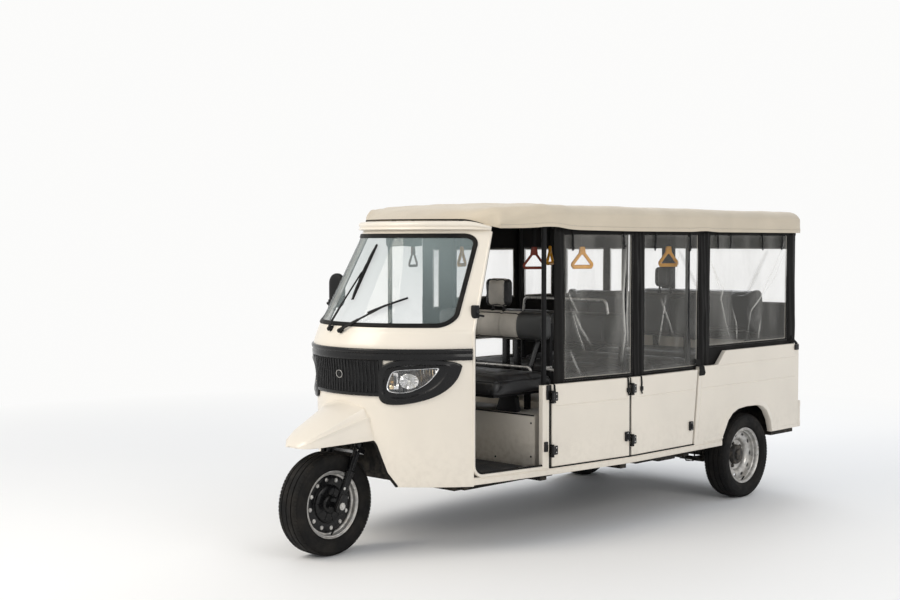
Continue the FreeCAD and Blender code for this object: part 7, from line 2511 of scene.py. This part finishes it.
arm_line = [spot(0.514, -0.536, 1.200), spot(0.514, -0.578, 1.213), spot(0.575, -0.580, 1.214),
            mirror_mid + Vector((0.004, 0.018, -0.052))]
arm = tube("arm", arm_line, 0.0068, "satin_black", 0.018)
knuckle = lathed("knuckle", [(-0.010, 0.0), (-0.010, 0.011), (0.004, 0.0145), (0.013, 0.0125), (0.018, 0.0)],
                 mirror_mid + Vector((0.006, 0.018, -0.060)), (0, 0, 1), "satin_black", 24)
feet = []
for sign in (1, -1):
    outline = round_box(-0.0165, -0.029, 0.0165, 0.035, 0.006, 4)
    feet.append(slab("foot", outline, 0.030, lambda u, v, w: Vector((at(0.514) + u, sign * (0.5165 + w), 1.200 + v)),
                     "satin_black", 0.004, 2))
    feet.append(lathed("boss", [(0.0, 0.0), (0.0, 0.0125), (0.008, 0.0125), (0.011, 0.0095), (0.011, 0.0)],
                       spot(0.514, sign * 0.540, 1.204), (0, sign, 0), "gloss_black", 24))
stub = tube("stub", [spot(0.514, 0.538, 1.186), spot(0.514, 0.556, 1.186), spot(0.545, 0.560, 1.181)],
            0.0055, "satin_black", 0.008)
finished("mirror_and_brackets", [housing, glass_face, arm, knuckle, stub] + feet, 40, ["mirrors"])

WIPER_LINES = (((-0.105, 1.110), (-0.020, 1.255), (-0.010, 1.530)), ((-0.015, 1.105), (0.115, 1.195), (0.275, 1.270)))
wiper_parts = []
for pivot, low, high in WIPER_LINES:
    def on_line(t, stand):
        return on_nose(low[0] + (high[0] - low[0]) * t, low[1] + (high[1] - low[1]) * t, stand)
    steps = np.linspace(0, 1, 19)
    rubber = [(-0.0008, 0.0), (0.0008, 0.0), (0.0016, 0.006), (0.0046, 0.0070), (0.0046, 0.0100), (-0.0046, 0.0100),
              (-0.0046, 0.0070), (-0.0016, 0.006)]
    lifts = [(on_line(t, 0.03) - on_line(t, 0.0)).normalized() for t in steps]
    wiper_parts.append(swept("rubber", [on_line(t, 0.0004) for t in steps], rubber, "seal", up=lifts))
    wiper_parts.append(swept("backbone", [on_line(t, 0.0112) for t in steps],
                             [(-0.0050, 0.0), (0.0050, 0.0), (0.0042, 0.0026), (-0.0042, 0.0026)],
                             "satin_black", up=lifts))
    for a, b in ((0.06, 0.44), (0.56, 0.94), (0.25, 0.75)):
        mid = (a + b) / 2
        rise = 0.020 if b - a > 0.45 else 0.0165
        line = [on_line(a, 0.0125), on_line(a + (b - a) * 0.22, rise), on_line(mid, rise + 0.002),
                on_line(b - (b - a) * 0.22, rise), on_line(b, 0.0125)]
        wiper_parts.append(swept("yoke", curved(line, 0.02, 4),
                                 [(-0.0052, 0.0), (0.0052, 0.0), (0.0044, 0.0028), (-0.0044, 0.0028)],
                                 "satin_black", up=lifts[9]))
    base = on_nose(pivot[0], pivot[1], 0.006)
    out = (on_nose(pivot[0], pivot[1], 0.05) - on_nose(pivot[0], pivot[1], 0.0)).normalized()
    hold = on_line(0.5, 0.0245)
    pivot_form = [(-0.012, 0.0), (-0.012, 0.015), (0.0, 0.015), (0.003, 0.0115), (0.014, 0.0110), (0.017, 0.008),
                  (0.017, 0.0)]
    wiper_parts.append(lathed("pivot", pivot_form, base, out, "satin_black", 24))
    reach = hold - base
    arm_points = [base + out * 0.010, base + out * 0.018 + reach * 0.12, base + out * 0.014 + reach * 0.45,
                  hold + out * 0.002]
    wide = [0.0105, 0.0095, 0.0066, 0.0048]
    arm_line = curved(arm_points, 0.03, 6)
    rows = []
    for i, p in enumerate(arm_line):
        ahead = (arm_line[min(i + 1, len(arm_line) - 1)] - arm_line[max(i - 1, 0)]).normalized()
        side = ahead.cross(out).normalized()
        w = float(np.interp(i / (len(arm_line) - 1), (0, 0.3, 0.6, 1), wide))
        rows.append([p + side * a + out * b
                     for a, b in ((-w, -0.001), (w, -0.001), (w * 0.8, 0.0040), (-w * 0.8, 0.0040))])
    wiper_parts.append(loft("arm", rows, "satin_black", 40))
    pin = reach.cross(out).normalized() * 0.006
    wiper_parts.append(tube("pin", [hold - pin, hold + pin], 0.0030, "satin_black"))
finished("wiper_arms_and_blades", wiper_parts, 40, ["wipers"])


# ---------- instruments, grips, mats and small parts ----------

dials = []
for y, r in ((0.0, 0.042), (-0.066, 0.024), (0.066, 0.024)):
    face_at = Vector((at(0.290) - 0.0005, y, 1.031))
    dials.append(lathed("bezel", [(0.0, r - 0.004), (0.004, r - 0.003), (0.0065, r), (0.005, r + 0.0035),
                                  (0.0, r + 0.004)],
                        face_at, (-1, 0, 0), "tube_grey", 40))
    dials.append(lathed("dial", [(0.0, 0.0), (0.0, r - 0.003), (0.001, r - 0.003), (0.001, 0.0)], face_at,
                        (-1, 0, 0), "gloss_black", 40))
    count = 21 if r > 0.03 else 9
    for k in range(count):
        t = math.radians(-130 + 260 * k / (count - 1))
        d = Vector((0, -math.sin(t), math.cos(t)))
        long = 0.006 if k % 5 == 0 else 0.0035
        p = face_at + Vector((-0.0013, 0, 0)) + d * (r - 0.006)
        dials.append(strap("tick", [p, p - d * long], 0.0010, 0.0005, "white_lens", Vector((1, 0, 0))))
    d = Vector((0, -math.sin(-1.4), math.cos(-1.4)))
    dials.append(strap("needle", [face_at + Vector((-0.003, 0, 0)) - d * 0.006,
                                  face_at + Vector((-0.003, 0, 0)) + d * (r - 0.010)],
                       0.0018, 0.0008, "red", Vector((1, 0, 0))))
switches = []
for y in (-0.190, -0.160, 0.160, 0.190, 0.220):
    outline = round_box(y - 0.011, 0.958, y + 0.011, 0.988, 0.003, 3)
    switches.append(slab("switch", outline, 0.006, plane_x(at(0.290), -1), "satin_black", 0.0015, 1))
finished("instruments_and_switches", dials + switches, 40)

grip_parts = {"grip_red": [], "grip_yellow": []}
webs = []
FULL_OVAL = [(0.0098 * math.cos(t), 0.0085 * math.sin(t)) for t in np.linspace(0, 2 * math.pi, 17)[:-1]]
# The doorway grip gets the dark red-brown finish, which is painted shade.
for station, finish in ((1.055, "grip_red"), (1.458, "grip_yellow"), (2.268, "grip_yellow")):
    slim = 0.68 if finish == "grip_red" else 1.0
    OVAL = [(a * slim, b * slim) for a, b in FULL_OVAL]
    for sign in (1, -1):
        x, y = at(station), sign * 0.450
        twist = sign * 0.42

        def hung(u, z, w=0.0):
            return Vector((x + u * math.cos(twist) + w * math.sin(twist),
                           y - u * math.sin(twist) + w * math.cos(twist), z))
        through = hung(0, 0, 1) - hung(0, 0, 0)
        corners = [hung(-0.071, 1.4105), hung(0.071, 1.4105), hung(0, 1.4960)]
        grip_parts[finish].append(swept("loop", curved(corners, 0.011, 7, closed=True), OVAL, finish,
                                        closed=True, up=through))
        hold = [hung(-0.056, 1.4105), hung(-0.052, 1.4105), hung(0.052, 1.4105), hung(0.056, 1.4105)]
        grip_parts[finish].append(swept("hold", hold, [(a * 1.14, b * 1.16) for a, b in OVAL], finish, up=through))
        outline = rounded_outline([(-0.021, 1.476), (0.021, 1.476), (0.014, 1.520), (-0.014, 1.520)], 0.006, 4)
        grip_parts[finish].append(slab("saddle", outline, 0.0150, lambda u, v, w: hung(u, v, w - 0.0075),
                                       finish, 0.003, 2))
        for off in (-0.0030, 0.0030):
            line = [hung(0, 1.508, off * 0.3), Vector((x, y + off, 1.560)), Vector((x, y + off * 1.2, 1.640)),
                    Vector((x, y + off, 1.6955))]
            webs.append(strap("web", line, 0.021, 0.0016, "webbing", Vector((0, 1, 0)), 0.03))
        turns = np.linspace(-1.2, 4.35, 15)
        webs.append(swept("loop",
                          [Vector((x, y + 0.0095 * math.cos(t), 1.7060 + 0.0105 * math.sin(t))) for t in turns],
                          [(-0.0105, -0.0008), (0.0105, -0.0008), (0.0105, 0.0008), (-0.0105, 0.0008)], "webbing",
                          up=[Vector((0, math.cos(t), math.sin(t))) for t in turns]))
for finish, parts in grip_parts.items():
    finished(finish.replace("grip_", "hand_grips_"), parts, 45, ["hand_grips"])
finished("hand_grip_straps", webs, 45, ["hand_grips"])

mat_parts = [brick("mat_base", (at(0.925), -0.500, 0.3862), (at(0.500), 0.500, 0.3892), "mat", 0.001, 1)]
rib = slab("rib", round_box(-0.205, -0.0035, 0.205, 0.0035, 0.002, 2), 0.0022,
           lambda u, v, w: (u, v, w), "mat", 0.0006, 1)
mat_parts.append(repeated("ribs", rib, [(spot(0.7125, -0.480 + 0.0213 * k, 0.3890), (0, 0, 0)) for k in range(46)],
                          "mat"))
finished("driver_floor_mat", mat_parts, 34)

box_parts = []
for sign in (1, -1):
    low, high = (0.004, 0.540) if sign > 0 else (-0.540, -0.004)
    outline = round_box(low, 0.3905, high, 0.6460, 0.010, 5)
    box_parts.append(slab("panel", outline, 0.0035, plane_x(at(0.950)), "cream_inner", 0.0015, 2))
    wedge = [(sign * 0.271, 0.656), (sign * 0.425, 0.656), (sign * 0.405, 0.742), (sign * 0.300, 0.742)]
    if sign < 0:
        wedge = wedge[::-1]
    box_parts.append(slab("bracket", rounded_outline(wedge, 0.012, 4), 0.030, plane_x(at(0.985)), "satin_black",
                          0.003, 2))
strip = round_box(-0.545, 0.6475, 0.545, 0.6545, 0.002, 3)
box_parts.append(slab("strip", strip, 0.005, plane_x(at(0.950)), "satin_black", 0.0015, 1))
latch_parts = [(Vector((at(0.950) + 0.0035, sign * y, z)), facing((1, 0, 0))) for sign in (1, -1) for y, z in
               ((0.524, 0.436), (0.524, 0.610), (0.030, 0.436), (0.030, 0.610), (0.277, 0.412))]
box_parts.append(repeated("screws", dome(0.0055, 0.003), latch_parts, "satin_black"))
finished("driver_seat_box_front", box_parts, 34)

AXLE_X = at(REAR_AXLE)
SPRING_HALF, EYE_RISE = 0.392, 0.062
spring_parts = []
for sign in (1, -1):
    y = sign * 0.355
    for n, half in enumerate((SPRING_HALF, 0.300, 0.215, 0.130)):
        line = []
        for t in np.linspace(-1, 1, 25):
            s = half * t
            lift = EYE_RISE * (abs(s) / SPRING_HALF) ** 2
            line.append(Vector((AXLE_X + s, y, 0.2187 - 0.0048 * n + lift * (1.0 if n == 0 else 0.97))))
        spring_parts.append(strap("leaf", line, 0.050, 0.0044, "spring", Vector((0, 0, 1)), 0.001))
    for end in (-1, 1):
        eye = Vector((AXLE_X + end * 0.386, y, 0.2815))
        spring_parts.append(turned("eye", [(-0.026, 0.006), (-0.026, 0.0135), (0.026, 0.0135), (0.026, 0.006)],
                                   eye, "spring", 20, "Y", True))
        for off in (-0.029, 0.029):
            outline = round_box(-0.012, -0.012, 0.012, 0.0085, 0.006, 4)
            spring_parts.append(slab("shackle", outline, 0.003,
                                     lambda u, v, w: eye + Vector((u, off - 0.0015 + w, v)), "cast", 0.001, 1))
        spring_parts.append(tube("shackle_pin", [eye + Vector((0, -0.033, 0)), eye + Vector((0, 0.033, 0))],
                                 0.0055, "bright"))
    for dx in (-0.045, 0.045):
        x = AXLE_X + dx
        bolt_line = [(x, y - 0.031, 0.200), (x, y - 0.031, 0.290), (x, y + 0.031, 0.290), (x, y + 0.031, 0.200)]
        spring_parts.append(tube("u_bolt", bolt_line, 0.0050, "cast", 0.026))
    plate = round_box(AXLE_X - 0.062, y - 0.042, AXLE_X + 0.062, y + 0.042, 0.008, 3)
    spring_parts.append(slab("plate", plate, 0.006, lambda u, v, w: (u, v, 0.1935 + w), "cast", 0.0015, 1))
    for off in (-0.150, 0.150):
        clip = [Vector((AXLE_X + off, y + a, 0.2100 + b + 0.0090)) for a, b in
                ((-0.0275, -0.012), (-0.0275, 0.014), (0.0275, 0.014), (0.0275, -0.012))]
        spring_parts.append(swept("clip", curved(clip, 0.003, 3, closed=True),
                                  [(-0.008, -0.0012), (0.008, -0.0012), (0.008, 0.0012), (-0.008, 0.0012)],
                                  "cast", closed=True))
finished("leaf_spring_packs", spring_parts, 34, ["leaf_springs"])

# Finishes of the CAD parts whose shape stays
FINISHES = {
    "chassis_frame": "underseal", "floor_pan": "underseal", "wheel_house": "underseal", "dashboard": "dash",
    "roof_frame": "frame_black", "seat_frames": "frame_black", "seat_bases": "cream_inner", "rear_axle": "cast",
    "hinge_brackets": "satin_black", "front_fork": "gloss_black", "handlebar": "satin_black",
}
for name, obj in frame["nodes"].items():
    finish = FINISHES.get(name)
    if finish:
        for slot in obj.material_slots:
            slot.material = M[finish]


# ---------- floor, light and camera ----------

floor_mat = Recipe("pale_floor", (0.80, 0.795, 0.785), Roughness=0.65)
floor_mat.paint(floor_mat.blend(floor_mat.grain(0.8, 4), (0.90, 0.895, 0.885), (0.92, 0.915, 0.905)))
M["floor"] = floor_mat.mat
ft = floor_mat.tree
away = floor_mat.add("ShaderNodeVectorMath", [(0, floor_mat.coord)], operation="LENGTH")
far = floor_mat.span(away.outputs["Value"], 1.4, 7.0)
far = floor_mat.math("POWER", far, 1.2)
floor_ray = floor_mat.add("ShaderNodeLightPath")
seen_floor = floor_mat.math("MAXIMUM", floor_ray.outputs["Is Camera Ray"], floor_ray.outputs["Is Glossy Ray"])
seen_floor = floor_mat.math("MAXIMUM", seen_floor, floor_ray.outputs["Is Transmission Ray"])
glow = floor_mat.add("ShaderNodeEmission")
glow.inputs["Color"].default_value = (0.97, 0.968, 0.96, 1)
join = floor_mat.add("ShaderNodeMixShader")
ft.links.new(floor_mat.math("MULTIPLY", far, seen_floor), join.inputs[0])
ft.links.new(floor_mat.shader.outputs[0], join.inputs[1])
ft.links.new(glow.outputs[0], join.inputs[2])
ft.links.new(join.outputs[0], ft.nodes["Material Output"].inputs["Surface"])
floor = piece("studio_floor", [(-60, -60, 0), (60, -60, 0), (60, 60, 0), (-60, 60, 0)], [(0, 1, 2, 3)], "floor")

world = bpy.data.worlds.new("studio")
bpy.context.scene.world = world
world.use_nodes = True
wt = world.node_tree
back = wt.nodes["Background"]
back.inputs["Color"].default_value = (0.90, 0.94, 1.0, 1)
back.inputs["Strength"].default_value = 0.62
bright = wt.nodes.new("ShaderNodeBackground")
bright.inputs["Color"].default_value = (0.97, 0.968, 0.96, 1)
path = wt.nodes.new("ShaderNodeLightPath")
direct = wt.nodes.new("ShaderNodeMath")
direct.operation = "MAXIMUM"
wt.links.new(path.outputs["Is Camera Ray"], direct.inputs[0])
seen = wt.nodes.new("ShaderNodeMath")
seen.operation = "MAXIMUM"
wt.links.new(path.outputs["Is Transmission Ray"], seen.inputs[0])
wt.links.new(direct.outputs[0], seen.inputs[1])
wt.links.new(path.outputs["Is Glossy Ray"], direct.inputs[1])
choose = wt.nodes.new("ShaderNodeMixShader")
wt.links.new(seen.outputs[0], choose.inputs[0])
wt.links.new(back.outputs[0], choose.inputs[1])
wt.links.new(bright.outputs[0], choose.inputs[2])
wt.links.new(choose.outputs[0], wt.nodes["World Output"].inputs["Surface"])


def softbox(name, stand, target, size, power, colour):
    light = bpy.data.lights.new(name, "AREA")
    light.shape = "RECTANGLE"
    light.size, light.size_y = size
    light.energy = power
    light.color = colour
    obj = bpy.data.objects.new(name, light)
    bpy.context.scene.collection.objects.link(obj)
    obj.location = stand
    obj.rotation_euler = (Vector(target) - Vector(stand)).to_track_quat("-Z", "Y").to_euler()
    return obj


softbox("key_light", (6.0, -1.6, 4.8), (0.4, 0.0, 0.8), (3.8, 3.8), 240, (1.0, 0.93, 0.82))
softbox("fill_light", (1.5, 7.5, 4.0), (0.0, 0.0, 0.9), (4.5, 3.0), 150, (1.0, 0.97, 0.93))
softbox("back_light", (-6.0, -3.0, 5.0), (-0.5, 0.0, 1.0), (4.0, 3.0), 160, (0.93, 0.96, 1.0))

camera = bpy.data.cameras.new("photo_camera")
camera.lens = 56.007
camera.sensor_width = 36
camera.clip_end = 200
eye = bpy.data.objects.new("photo_camera", camera)
bpy.context.scene.collection.objects.link(eye)
eye.location = (6.1055, 5.207, 1.550)
eye.rotation_euler = (math.radians(90 - 2.407), 0, math.radians(180 - 46.187))
bpy.context.scene.camera = eye
bpy.context.scene.view_settings.view_transform = "Standard"
